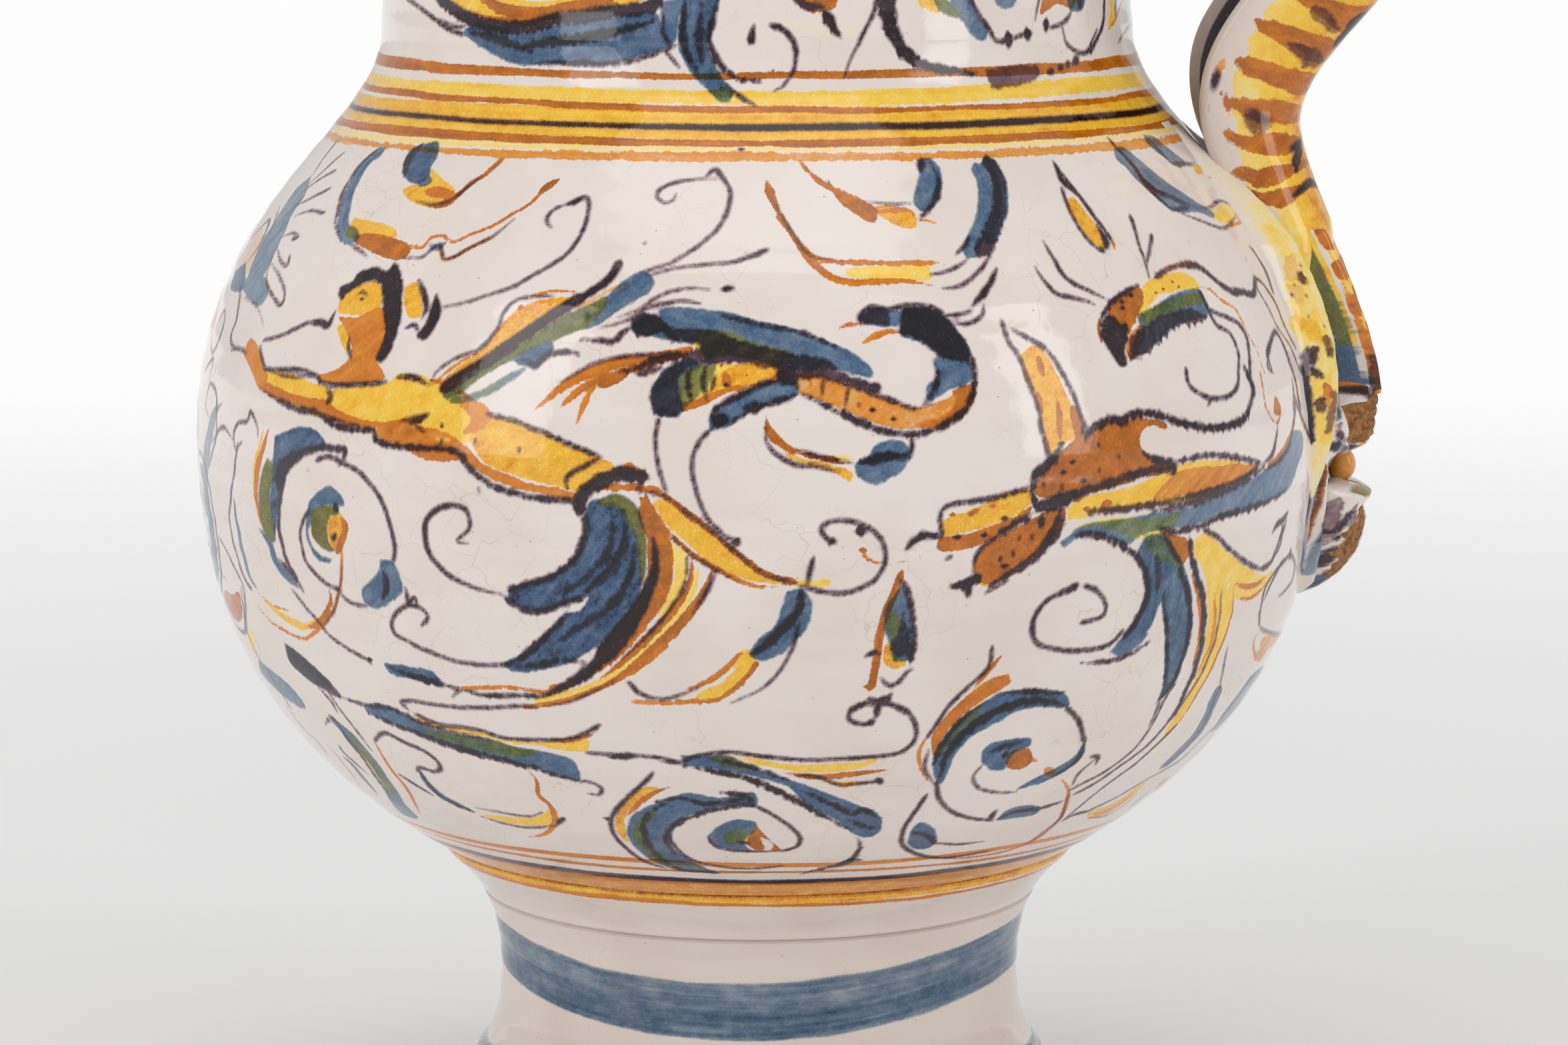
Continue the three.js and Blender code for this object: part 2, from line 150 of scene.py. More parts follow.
def makeOutline():
    j = jug
    base, widest, top = j["bellyBase"], j["bellyWidest"], j["bellyTop"]
    slope = (math.cos(j["baseSlope"]) * j["baseFullness"], math.sin(j["baseSlope"]) * j["baseFullness"])
    lower = bezier((j["bellyBaseRadius"], base), (j["bellyBaseRadius"] + slope[0], base + slope[1]),
                   (j["bellyRadius"], widest - j["lowerFullness"]), (j["bellyRadius"], widest), 400)
    upper = bezier((j["bellyRadius"], widest), (j["bellyRadius"], widest + j["shoulderFullness"]),
                   (j["neckRadius"], top - j["shoulderSweep"]), (j["neckRadius"], top), 400)
    rise = j["lipBase"] - top
    neck = bezier((j["neckRadius"], top), (j["neckRadius"] - j["neckWaist"], top + rise * 0.33),
                  (j["neckRadius"] - j["neckWaist"] * 0.3, top + rise * 0.67),
                  (j["neckRadius"] + j["neckTopFlare"], j["lipBase"]), 120)
    share = np.linspace(0, 1, 100)[:, None]
    lip = np.hstack([j["neckRadius"] + j["neckTopFlare"] + j["lipFlare"] * share ** 2,
                     j["lipBase"] + share * j["lipHeight"]])
    return np.vstack([lower, upper[1:], neck[1:], lip[1:]])


outline = makeOutline()
outlineRun = runOf(outline)


# Points at a radius, an angle and a height round the jug's axis
def roundAxis(radius, angle, height):
    return np.stack([radius * np.cos(angle), radius * np.sin(angle), height], -1)


def radiusAt(height):
    return np.interp(height, outline[:, 1], outline[:, 0])


def runAt(height):
    return np.interp(height, outline[:, 1], outlineRun)


print("outline worked out, run", round(outlineRun[-1], 1))


# Eases from 0 to 1 as x goes from one edge to the other
def smooth(edge0, edge1, x):
    t = np.clip((x - edge0) / (edge1 - edge0), 0, 1)
    return t * t * (3 - 2 * t)


def bell(x, width):
    return np.exp(-(x / width) ** 2)


# The range that random phases are drawn from
phaseRange = 6.28


# Smooth, seeded, wandering values along a line: a sum of sines of falling size
def wander(x, seed, scale, octaves=4):
    rng = np.random.default_rng(seed)
    value = np.zeros_like(x, dtype=float)
    for octave in range(octaves):
        pitch = 2 * math.pi / scale * 1.9 ** octave
        value += np.sin(x * pitch * rng.uniform(0.8, 1.2) + rng.uniform(0, phaseRange)) * 0.6 ** octave
    return value / 2


def linear(hexColour):
    srgb = np.array([int(hexColour[k:k + 2], 16) for k in (1, 3, 5)]) / 255
    return (*np.where(srgb <= 0.04045, srgb / 12.92, ((srgb + 0.055) / 1.055) ** 2.4), 1)


# Faces of a grid of points, rows by columns, numbered from a first point.
# With goesRound, the last column joins the first. Faces turn left to right, then up.
def gridFaces(rows, columns, first=0, goesRound=False):
    r = np.arange(rows - 1)[:, None]
    c = np.arange(columns if goesRound else columns - 1)[None, :]
    right = (c + 1) % columns
    corners = [r * columns + c, r * columns + right, (r + 1) * columns + right, (r + 1) * columns + c]
    return np.stack([np.broadcast_to(k, (rows - 1, c.shape[1])) for k in corners], -1).reshape(-1, 4) + first


def toMesh(name, points, quads, paint, triangles=None, sharpRows=None):
    mesh = bpy.data.meshes.new(name)
    places = (points + np.array([axisX, 0, 0])) / 1000
    faceParts = [quads.ravel()]
    sizes = [np.full(len(quads), 4)]
    if triangles is not None:
        faceParts.append(triangles.ravel())
        sizes.append(np.full(len(triangles), 3))
    loops = np.concatenate(faceParts).astype(np.int32)
    sizes = np.concatenate(sizes).astype(np.int32)
    mesh.vertices.add(len(places))
    mesh.vertices.foreach_set("co", places.astype(np.float32).ravel())
    mesh.loops.add(len(loops))
    mesh.loops.foreach_set("vertex_index", loops)
    mesh.polygons.add(len(sizes))
    mesh.polygons.foreach_set("loop_start", np.concatenate([[0], np.cumsum(sizes)[:-1]]).astype(np.int32))
    mesh.polygons.foreach_set("loop_total", sizes)
    mesh.update(calc_edges=True)
    mesh.shade_smooth()
    if sharpRows is not None:
        flags = np.zeros(len(places), bool)
        flags[sharpRows] = True
        ends = np.empty(len(mesh.edges) * 2, np.int32)
        mesh.edges.foreach_get("vertices", ends)
        ends = ends.reshape(-1, 2)
        sharp = mesh.attributes.new("sharp_edge", "BOOLEAN", "EDGE")
        sharp.data.foreach_set("value", flags[ends].all(axis=1))
    for key, values in paint.items():
        layer = mesh.attributes.new(key, "FLOAT_COLOR", "POINT")
        layer.data.foreach_set("color", values.reshape(-1).astype(np.float32))
    mesh.validate()
    piece = bpy.data.objects.new(name, mesh)
    bpy.context.scene.collection.objects.link(piece)
    return piece


# A line of (radius, height) points carried round the axis: angles are the columns, bend moves the points
def carried(line, angles, bend):
    radius = np.repeat(line[:, 0:1], len(angles), axis=1)
    height = np.repeat(line[:, 1:2], len(angles), axis=1)
    radius, height = bend(radius, height, angles[None, :])
    return roundAxis(radius, angles, height)


# A closed turned piece, its loop carried round the axis. Its first paintRows rows are painted, and the
# first and the last of them are sharp corners.
def turnedPiece(name, loop, angles, paint, paintRows, bend):
    rows, columns = len(loop), len(angles)
    points = carried(loop, angles, bend)
    faces = gridFaces(rows, columns, goesRound=True)
    closing = gridFaces(2, columns, goesRound=True)
    closing = np.where(closing < columns, closing + (rows - 1) * columns, closing - columns)
    sharp = np.concatenate([np.arange(columns) + row * columns for row in (paintRows - 1, 0)])
    layers = {}
    for key, values in paint.items():
        layers[key] = np.zeros((rows, columns, 4), np.float32)
        layers[key][:paintRows] = values
    return toMesh(name, points.reshape(-1, 3), np.vstack([faces, closing]), layers, sharpRows=sharp)


# Columns round the jug: close together on the painted front, wider apart at the back
def makeAngles(front, back):
    middle = math.atan2(-view["distance"], view["aside"]) + view["turn"]
    steps = np.linspace(-1, 1, front + back, endpoint=False) * math.pi
    ratio = (front - back) / (front + back)
    return middle + steps - ratio * np.sin(steps)


angles = makeAngles(760, 440)
rowStep, lipRowStep = 0.5, 0.6

# The jug's skin is cut into rings: their names, and how far along the outline each ends
wallRows = 5
zones = ["belly_base", "belly_low", "belly_middle", "belly_high", "belly_shoulder", "neck_wall", "lip_wall"]
bellyRun = float(runAt(jug["bellyTop"]))
neckRun = float(runAt(jug["lipBase"]))
runEnds = [0.0] + [bellyRun * share for share in (0.2, 0.4, 0.6, 0.8, 1)] + [neckRun, float(outlineRun[-1])]


# The outline's outward direction at a run along it
def outwardAt(run):
    step = 0.5
    ahead = np.stack([np.interp(run + step, outlineRun, outline[:, k]) for k in (0, 1)], -1)
    behind = np.stack([np.interp(run - step, outlineRun, outline[:, k]) for k in (0, 1)], -1)
    along = (ahead - behind) / np.linalg.norm(ahead - behind, axis=-1, keepdims=True)
    return np.stack([along[..., 1], -along[..., 0]], -1)


# Thrown clay is never quite round: slow swells, and faint rings left by the fingers
clay = {
    "swell": 0.22, "swellPitch": 0.021, "swellTurn": 0.7, "secondPitch": 0.034, "swellFrom": 50, "swellTo": 90,
    "rings": 0.05, "ringPitch": 5.2, "ringSway": 0.4, "ringDrift": 1.7, "driftPitch": 0.11,
    "neckLean": 0.7, "leanFrom": 180, "leanTo": 228,
}


def thrown(radius, height, angle):
    rising = smooth(clay["swellFrom"], clay["swellTo"], height)
    swell = clay["swell"] * np.sin(2 * angle + height * clay["swellPitch"] + clay["swellTurn"]) * rising
    swell = swell + clay["swell"] * 0.5 * np.sin(3 * angle - height * clay["secondPitch"]) * rising
    drift = clay["ringDrift"] * np.sin(height * clay["driftPitch"])
    rings = clay["rings"] * np.sin(height * 2 * math.pi / clay["ringPitch"] + clay["ringSway"] * np.sin(angle) + drift)
    lean = -clay["neckLean"] * np.cos(angle - view["turn"]) * smooth(clay["leanFrom"], clay["leanTo"], height)
    return radius + swell + rings + lean, height


# The pouring lip: flared, drawn out and up on -X, and pinched on each side of the spout
lip = {
    "spoutReach": 14, "spoutRise": 8, "spoutWidth": 0.38,
    "pinchDepth": 5, "pinchAngle": 0.85, "pinchWidth": 0.3, "rimRound": 1.2,
}


def pinched(radius, height, angle):
    radius, height = thrown(radius, height, angle)
    share = np.clip((height - jug["lipBase"]) / jug["lipHeight"], 0, 1.05)
    fromSpout = math.pi - np.abs((angle + math.pi) % (2 * math.pi) - math.pi)
    spout = bell(fromSpout, lip["spoutWidth"])
    pinch = bell(fromSpout - lip["pinchAngle"], lip["pinchWidth"])
    radius = radius + lip["spoutReach"] * spout * share ** 1.6 - lip["pinchDepth"] * pinch * share ** 2
    return radius, height + share * lip["spoutRise"] * spout


# One ring of the skin: the painted outside, then the inside back down, wall thick
def skinLoop(runFrom, runTo, step):
    rows = max(int(round((runTo - runFrom) / step)), 8) + 1
    runs = np.linspace(runFrom, runTo, rows)
    outside = np.stack([np.interp(runs, outlineRun, outline[:, k]) for k in (0, 1)], -1)
    inside = outside - outwardAt(runs) * jug["wall"]
    picks = np.linspace(rows - 1, 0, wallRows).round().astype(int)
    return rows, outside, inside[picks]


skin = {}


def makeSkin():
    for k, name in enumerate(zones):
        rows, outside, inside = skinLoop(runEnds[k], runEnds[k + 1], lipRowStep if name == "lip_wall" else rowStep)
        if name == "belly_base":
            floorHeight = outside[0, 1] + jug["floorThickness"]
            inside = inside[inside[:, 1] > floorHeight + 1]
            under = np.stack([np.linspace(2, outside[0, 0], 8)[:-1], np.full(7, outside[0, 1])], -1)
            over = np.stack([np.linspace(inside[-1, 0] - 2, 2, 5), np.full(5, floorHeight)], -1)
            loop = np.vstack([outside, inside, over, under])
        elif name == "lip_wall":
            turn = np.linspace(0.15, 0.85, 12) * math.pi
            middle = (outside[-1] + inside[0]) / 2
            half = np.linalg.norm(outside[-1] - inside[0]) / 2
            rim = np.stack([middle[0] + half * np.cos(turn), middle[1] + lip["rimRound"] * np.sin(turn)], -1)
            ends = inside[[0, -1]]
            inside = np.stack([np.interp(np.linspace(0, 1, 20), [0, 1], ends[:, k]) for k in (0, 1)], -1)
            shares = (inside[:, 1] - jug["lipBase"]) / jug["lipHeight"]
            flare, thinning = jug["lipFlare"] * shares ** 2, jug["lipThinning"] * shares ** 4
            inside[:, 0] = jug["neckRadius"] + jug["neckTopFlare"] - jug["wall"] + flare + thinning
            loop = np.vstack([outside, rim, inside])
        else:
            loop = np.vstack([outside, inside])
        skin[name] = {"rows": rows, "loop": loop}


makeSkin()


# Foot and stem: thrown tubes under the belly, glazed white
standForm = {"edgeInset": 1.2, "joint": 44.85, "stemTop": 47.4, "bore": 37.2, "footBore": 37, "rest": 51,
             "ringBase": 46.7, "ringTop": 54.2}


def makeFootLoop():
    top = level("stem", 0)
    edge = radiusOf("foot") - standForm["edgeInset"]
    outer = np.vstack([
        bezier((edge - 3, 0.4), (edge + 0.4, 2.5), (edge + 1.6, 12), (edge - 3, 16), 60),
        bezier((edge - 3, 16), (52.4, 17.2), (46.4, 22.5), (standForm["joint"], top), 60)[1:],
    ])
    hollow = np.vstack([
        bezier((standForm["footBore"], top), (39, 22), (45, 9), (49, 0.8), 30),
        bezier((49, 0.8), (49.6, 0), (50.4, 0), (standForm["rest"], 0), 8)[1:],
        bezier((standForm["rest"], 0), (54, 0), (edge - 4, 0), (edge - 3, 0.4), 8)[1:-1],
    ])
    return evenly(outer, 90), hollow


def makeStemLoop():
    base, top = level("stem", 0), level("stem", 1)
    outer = bezier((standForm["joint"], base), (44.1, 39), (44.6, 45), (standForm["stemTop"], top - 9.6), 60)
    inner = np.array([[standForm["bore"], height] for height in (top, 50, 40, base)])
    return evenly(outer, 70), inner


# The collar ring: a bevelled moulding that hides the joint below the belly
def makeRingLoop():
    base, top = level("collar_ring", 0), level("collar_ring", 1) + 0.3
    face = np.vstack([
        bezier((standForm["ringBase"], base + 0.1), (47.2, base - 0.2), (47.9, base + 0.1), (48.2, base + 0.9), 12),
        bezier((48.2, base + 0.9), (49.6, base + 3.6), (52, base + 5.2), (53.6, top - 2.2), 30)[1:],
        bezier((53.6, top - 2.2), (54.6, top - 1.1), (54.7, top - 0.5), (standForm["ringTop"], top + 0.2), 14)[1:],
        bezier((standForm["ringTop"], top + 0.2), (standForm["ringTop"], top + 0.9), (54.9, top + 1), (55.6, top + 0.9),
               10)[1:],
    ])
    back = np.array([[52, top + 0.6], [standForm["ringBase"], top + 0.3], [standForm["ringBase"], base + 3]])
    return evenly(face, 70), back


turnings = {
    "foot_flange": (makeFootLoop(), ["foot"], "tin_glaze_foot"),
    "stem_tube": (makeStemLoop(), ["stem"], "tin_glaze_foot"),
    "collar_moulding": (makeRingLoop(), ["collar_ring"], "banded_glaze"),
}


# The handle's middle line, from the lip down to the mask's forehead
handle = {
    "width": 25, "depth": 17, "tailDepth": 12, "rise": 28, "reach": 114.5, "shoulderStand": 4.2,
    "waistDrop": 14.5, "topRun": 17, "bulgeCurve": 16, "seatHeight": 10, "seatSlope": math.radians(25),
    "seatRun": 24, "tailDrop": 42, "tailStand": 10.4, "tailCurve": 8, "clayThickness": 5.2, "edgeThickness": 3,
    "farCurl": 4.8, "nearCurl": 1.2,
}


def handleLine():
    h = handle
    waistHeight = jug["bellyTop"] - h["waistDrop"]
    waist = (radiusAt(waistHeight) + h["shoulderStand"] + h["depth"] / 2, waistHeight)
    seat = (radiusAt(jug["lipBase"] + h["seatHeight"]) - 3, jug["lipBase"] + h["seatHeight"])
    bulge = (h["reach"] - h["depth"] / 2, jug["bellyTop"] + h["rise"])
    tailHeight = jug["bellyTop"] - h["tailDrop"]
    tail = (radiusAt(tailHeight) + h["tailStand"] - h["tailDepth"] / 2, tailHeight)
    slope = (math.cos(h["seatSlope"]) * h["seatRun"], math.sin(h["seatSlope"]) * h["seatRun"])
    line = np.vstack([
        bezier(seat, (seat[0] + slope[0], seat[1] + slope[1]), (bulge[0], bulge[1] + h["topRun"]), bulge, 200),
        bezier(bulge, (bulge[0], bulge[1] - h["bulgeCurve"]), (waist[0], waist[1] + h["bulgeCurve"]), waist, 200)[1:],
        bezier(waist, (waist[0], waist[1] - h["tailCurve"]), (tail[0] - h["tailCurve"] * 0.4, tail[1] + h["tailCurve"]),
               tail, 100)[1:],
    ])
    return evenly(line, 420)


# The channelled roll. Its section is an arch of clay with rolled edges, open towards the neck:
# middle line (half * sin t, depth * cos t), thickened along its own outward direction, thinner at the edges.
def makeHandleGrid():
    h = handle
    line = handleLine()
    along = np.gradient(line, axis=0)
    along /= np.linalg.norm(along, axis=1, keepdims=True)
    share = np.linspace(0, 1, len(line))
    tail = smooth(0.72, 1, share)
    depth = h["depth"] + (h["tailDepth"] - h["depth"]) * tail
    half = h["width"] / 2 * (1 + 0.12 * bell(share, 0.15) - 0.1 * tail)
    half = half * (1 + 0.02 * wander(share * 10, 5, 3))
    t = np.linspace(-1, 1, 91) * math.pi / 2 * 0.985
    thick = h["edgeThickness"] + (h["clayThickness"] - h["edgeThickness"]) * np.cos(t) ** 0.7
    rows = []
    for k in range(len(line)):
        a = half[k] - h["edgeThickness"] / 2
        b = depth[k] - h["clayThickness"] / 2 - h["edgeThickness"] / 2
        middle = np.stack([a * np.sign(np.sin(t)) * np.abs(np.sin(t)) ** 0.95, b * np.cos(t) ** 0.85], -1)
        run = np.gradient(middle, axis=0)
        run /= np.linalg.norm(run, axis=1, keepdims=True)
        out = np.stack([-run[:, 1], run[:, 0]], -1)
        outer = middle + out * thick[:, None] / 2
        inner = (middle - out * thick[:, None] / 2)[::-1]
        cap = np.linspace(0, math.pi, 9)[1:-1]
        r = thick[-1] / 2
        farCap = middle[-1] + r * (np.cos(cap)[:, None] * out[-1] + np.sin(cap)[:, None] * run[-1])
        nearCap = middle[0] + r * (-np.cos(cap)[:, None] * out[0] - np.sin(cap)[:, None] * run[0])
        rows.append(np.vstack([outer, farCap, inner, nearCap]))
    section = np.stack(rows)
    across = section[..., 0]
    # The tail sinks into the crest, so that the roll runs on without a step
    sunk = 2.6 * smooth(0.93, 1, share)[:, None] ** 1.3
    out = section[..., 1] - (depth / 2 - h["edgeThickness"] / 2)[:, None] - sunk
    # The roll is uneven, its far edge curling further in between the bend and the shoulder
    curl = h["farCurl"] * smooth(3, 12, across) + h["nearCurl"] * smooth(3, 12, -across)
    out -= curl * (smooth(0.18, 0.36, share) * smooth(0.84, 0.7, share))[:, None]
    x = line[:, 0][:, None] - along[:, 1][:, None] * out
    z = line[:, 1][:, None] + along[:, 0][:, None] * out
    # The luted ends stop inside the jug's wall
    reach = np.hypot(x, across)
    pushed = np.maximum(1, (radiusAt(z) - 0.45 * jug["wall"]) / reach)
    return np.stack([x * pushed, across * pushed, z], -1), len(t)


# Closes a tube of rows of points with a fan at each end
def tubeMesh(name, grid, paint):
    rows, columns = grid.shape[:2]
    points = np.vstack([grid.reshape(-1, 3), grid[0].mean(axis=0)[None], grid[-1].mean(axis=0)[None]])
    quads = gridFaces(rows, columns, goesRound=True)
    c = np.arange(columns)
    first = np.stack([np.full(columns, rows * columns), (c + 1) % columns, c], -1)
    last = np.stack([np.full(columns, rows * columns + 1), c + (rows - 1) * columns,
                     (c + 1) % columns + (rows - 1) * columns], -1)
    layers = {key: np.concatenate([values.reshape(-1, 4), np.zeros((2, 4))]) for key, values in paint.items()}
    return toMesh(name, points, quads, layers, np.vstack([first, last]))


# The mask lies on the belly under the handle. A place on it is given as across (mm round the belly),
# level (mm above the belly's widest level) and out (mm over the belly's skin).
def onBelly(across, level, out):
    height = jug["bellyWidest"] + level
    angle = across / jug["bellyRadius"]
    radius, height = thrown(radiusAt(height) + out, height, angle)
    return roundAxis(radius, angle, height)


mask = {
    "top": 35, "bottom": -28, "mouthTop": -2.6, "mouthBottom": -8.2,
    "eyeAcross": 8.6, "eyeLevel": 11, "crestTip": 8.4, "chinTip": -27.2, "step": 0.3,
}


def through(places, values, x):
    return np.interp(x, places, values)


# Half width of the mask's ground, and the thin rim that runs from the leaf down to the chin's tip
def rimAcross(level):
    return through([-28, -26, -22, -16, -10, -4, 10, 36], [1.5, 4.5, 8.6, 12, 13.8, 14.6, 15, 13.5], level)


# Cheeks, eyes in their sockets, the mouth's hollow and the rim, each a bell laid on the ground
def groundOut(across, level):
    side = np.abs(across)
    rim = rimAcross(level)
    low = smooth(2, -6, level)
    plateau = 3.4 * (1 - smooth(rim - 3.5, rim + 0.5, side)) * (1 - low)
    cheek = 1.6 * bell(side - 9.5, 3.2) * bell(level - 1.5, 4.5)
    socket = 1.7 * bell(side - mask["eyeAcross"], 4.4) * bell(level - mask["eyeLevel"], 4.6)
    fromEye, overEye = side - mask["eyeAcross"], level - mask["eyeLevel"]
    eye = 2.4 * np.clip(1 - (fromEye / 3.4) ** 2 - (overEye / 2.1) ** 2, 0, 1) ** 0.5
    lid = 0.8 * bell(np.hypot(fromEye / 4.4, overEye / 3) - 1, 0.16)
    brow = 1.5 * bell(level - 19 + 0.35 * side, 2.4) * smooth(12.5, 8, side)
    lowGround = 1.4 * low * (1 - smooth(rim - 1.5, rim + 1.2, side))
    rimRidge = 1.5 * bell(side - rim, 1.1) * smooth(1, -5, level)
    upperLip = 2.2 * bell(level - mask["mouthTop"] - 0.8, 1.5) * smooth(9.5, 5, side)
    ground = plateau + cheek - socket + eye + lid + brow + lowGround + rimRidge + upperLip
    outside = smooth(rim + 0.4, rim + 3.4, side)
    tip = smooth(mask["bottom"] - 0.5, mask["bottom"] + 3.5, level)
    return (ground * tip - 0.6 * (1 - tip)) * (1 - outside) - 0.9 * outside


# The leaf: a sharp ridge with a broad outer flank that dies out on the belly
def leafOut(across, level):
    side = np.abs(across)
    rise = through([-9, -4, 0, 4, 10, 18, 26, 33, 39, 44, 49, 53],
                   [0.2, 1.7, 2.7, 3.7, 4.6, 5.3, 5.6, 5.7, 4.9, 3.2, 1.2, -0.4], level)
    ridge = through([-9, -3, 4, 12, 24, 38, 53], [15.3, 15.2, 15.6, 15.4, 14.9, 14.2, 13.4], level)
    foot = ridge + through([-9, -4, 4, 14, 26, 38, 46, 53], [1.2, 2.8, 5.2, 6.6, 6.6, 6.2, 4.8, 2.4], level)
    outer = np.clip((foot - side) / (foot - ridge), -0.4, 1)
    inner = np.clip((side - ridge + 3) / 3, -0.6, 1)
    flank = np.where(side > ridge, np.sign(outer) * np.abs(outer) ** 0.8, inner * (1.5 - 0.5 * np.abs(inner)))
    fold = 0.28 * np.sin(level * 0.75 + side * 0.5) * np.clip(outer, 0, 1) * np.clip(1.4 - outer, 0, 1)
    base = np.minimum(1.6, 0.6 * rise)
    return np.where(side > ridge, rise * flank + fold * (side > ridge), base + (rise - base) * flank)


# The crest carries the handle's roll down to the nose: two raised edges with a shallow valley between
def crestHalf(level):
    return through([mask["crestTip"] - 1, 12, 18, 26, 36], [2.2, 4.6, 7, 9.4, 10.6], level)


def crestOut(across, level):
    half = crestHalf(level)
    side = np.abs(across) / half
    body = through([8, 14, 22, 30, 36], [9.9, 9.7, 9.4, 9.8, 10.6], level)
    valley = 0.9 * bell(side, 0.5) * smooth(31, 23, level)
    ridge = 0.6 * bell(side - 0.84, 0.13)
    fall = np.clip((side - 0.8) / 0.32, 0, 1)
    return (body - valley + ridge) - (body - 2.4) * fall ** 1.6


def noseOut(across, level):
    top = mask["crestTip"] + 2
    half = through([mask["mouthTop"] - 0.6, 0, 4, top], [4.6, 5.9, 5, 3.2], level)
    side = np.clip(np.abs(across) / half, 0, 1.15)
    body = through([mask["mouthTop"] - 0.8, -2, 0, 3, 7, top], [4, 7.2, 9.2, 9.7, 10.3, 9.6], level)
    mound = body * np.sqrt(np.clip(1 - side ** 2.4, 0, 1)) - 1.5 * smooth(0.96, 1.12, side)
    return mound - 0.8 * noseChip(across, level) * (1 + 0.4 * np.sin(across * 2.3 + level * 3.1))


# The broken patch across the nose, over its ridge and down its near side
def noseChip(across, level):
    edge = np.hypot((across + 1.6 - 0.2 * level) / 4.6, (level - 2.6) / 4.3)
    return smooth(1.04, 0.94, edge + 0.07 * np.sin(across * 2.1 + 1) + 0.06 * np.sin(level * 2.7))


def chinOut(across, level):
    share = np.clip((level - mask["chinTip"]) / (mask["mouthBottom"] - mask["chinTip"]), 0, 1)
    half = 2.2 + 9.2 * np.sin(math.pi * 0.5 * share) ** 0.85
    side = np.clip(np.abs(across) / half, 0, 1.2)
    body = through([-27.2, -26, -23.5, -20, -15.5, -9.6, -8.4, -7.4], [1, 3.6, 6.4, 8.3, 8.9, 8.4, 6.9, 3], level)
    mound = body * np.clip(1 - side ** 2.6, 0, 1) ** 0.6 - 1.4 * smooth(0.94, 1.15, side)
    lowerLip = 0.5 * bell(level + 9.9, 1) * (side < 0.8) - 0.5 * bell(level + 12.6, 1.2) * (side < 0.8)
    return mound + lowerLip - 0.6 * chinChip(across, level) * (1 + 0.4 * np.sin(across * 2.1 + level * 2.3))


# The broken patch down the chin, from its middle to the far side of its tip
def chinChip(across, level):
    middle = through([-27, -22, -17, -12, -8], [-0.5, -2.6, -3.4, -1.6, -1], level)
    half = through([-26, -24.2, -20, -15, -11, -9.5], [0, 1.6, 3.4, 4.4, 2.8, 0], level)
    edge = np.abs(across - middle) - half + 0.45 * np.sin(level * 1.7)
    return smooth(0.25, -0.15, edge + 0.3 * np.sin(level * 3.9 + across))


# A closed patch over the belly between two sides and two levels, its back buried in the wall
def reliefPiece(bottom, top, left, right, outAt, depth=2.4):
    rows = int((top - bottom) / mask["step"]) + 1
    levels = np.linspace(bottom, top, rows)[:, None]
    widest = np.max(right(levels) - left(levels))
    columns = int(widest / mask["step"]) + 1
    share = np.linspace(0, 1, columns)[None, :]
    across = left(levels) + (right(levels) - left(levels)) * share
    levels = np.broadcast_to(levels, across.shape)
    front = onBelly(across, levels, outAt(across, levels))
    back = onBelly(across, levels, np.full(across.shape, -depth))
    count = rows * columns
    quads = [gridFaces(rows, columns), gridFaces(rows, columns, count)[:, ::-1]]
    at = np.arange(count).reshape(rows, columns)
    for line in (at[0], at[:, -1], at[-1][::-1], at[:, 0][::-1]):
        quads.append(np.stack([line[:-1], line[:-1] + count, line[1:] + count, line[1:]], -1))
    points = np.vstack([front.reshape(-1, 3), back.reshape(-1, 3)])
    return {"front": front, "across": across, "levels": levels, "points": points, "quads": np.vstack(quads)}


# A side of a relief that runs straight up, at one distance across
def straight(across):
    return lambda level: level * 0 + across


margins = {"ground": 3.6, "crest": 1.12, "nose": 6.4, "chin": 12.4, "overlap": 0.8}
leafForm = {"inner": 10.5, "outer": 22.8, "bottom": -9, "top": 53}
leafEnds = leafForm["bottom"], leafForm["top"]
leafSides = straight(leafForm["inner"]), straight(leafForm["outer"])
nearSides = straight(-leafForm["outer"]), straight(-leafForm["inner"])
overlap = margins["overlap"]
reliefs = {
    "mask_ground": (reliefPiece(mask["bottom"] - 1, mask["top"] + 2, lambda v: -rimAcross(v) - margins["ground"],
                                lambda v: rimAcross(v) + margins["ground"], groundOut), "mask_face"),
    "leaf_near": (reliefPiece(*leafEnds, *nearSides, leafOut), "mask_leaf_near"),
    "leaf_far": (reliefPiece(*leafEnds, *leafSides, leafOut), "mask_leaf_far"),
    "crest": (reliefPiece(mask["crestTip"] - overlap, mask["top"], lambda v: -crestHalf(v) * margins["crest"],
                          lambda v: crestHalf(v) * margins["crest"], crestOut), "forehead_crest"),
    "nose": (reliefPiece(mask["mouthTop"] - overlap, mask["crestTip"] + 2,
                         straight(-margins["nose"]), straight(margins["nose"]), noseOut), "mask_nose"),
    "chin": (reliefPiece(mask["chinTip"], mask["mouthBottom"] + overlap,
                         straight(-margins["chin"]), straight(margins["chin"]), chinOut), "mask_chin"),
}


tongue = {"half": (2.5, 2.2, 2.9), "level": -5.3, "out": 3.4}


def makeTongue():
    u = np.linspace(0, 2 * math.pi, 64, endpoint=False)[None, :]
    v = np.linspace(-0.48, 0.48, 31)[:, None] * math.pi
    deep, wide, high = tongue["half"]
    ball = np.stack([deep * np.cos(v) * np.cos(u) + 0 * u, wide * np.cos(v) * np.sin(u), high * np.sin(v) + 0 * u], -1)
    seat = onBelly(np.array(0.0), np.array(tongue["level"]), np.array(tongue["out"]))
    return ball + seat


print("forms worked out")


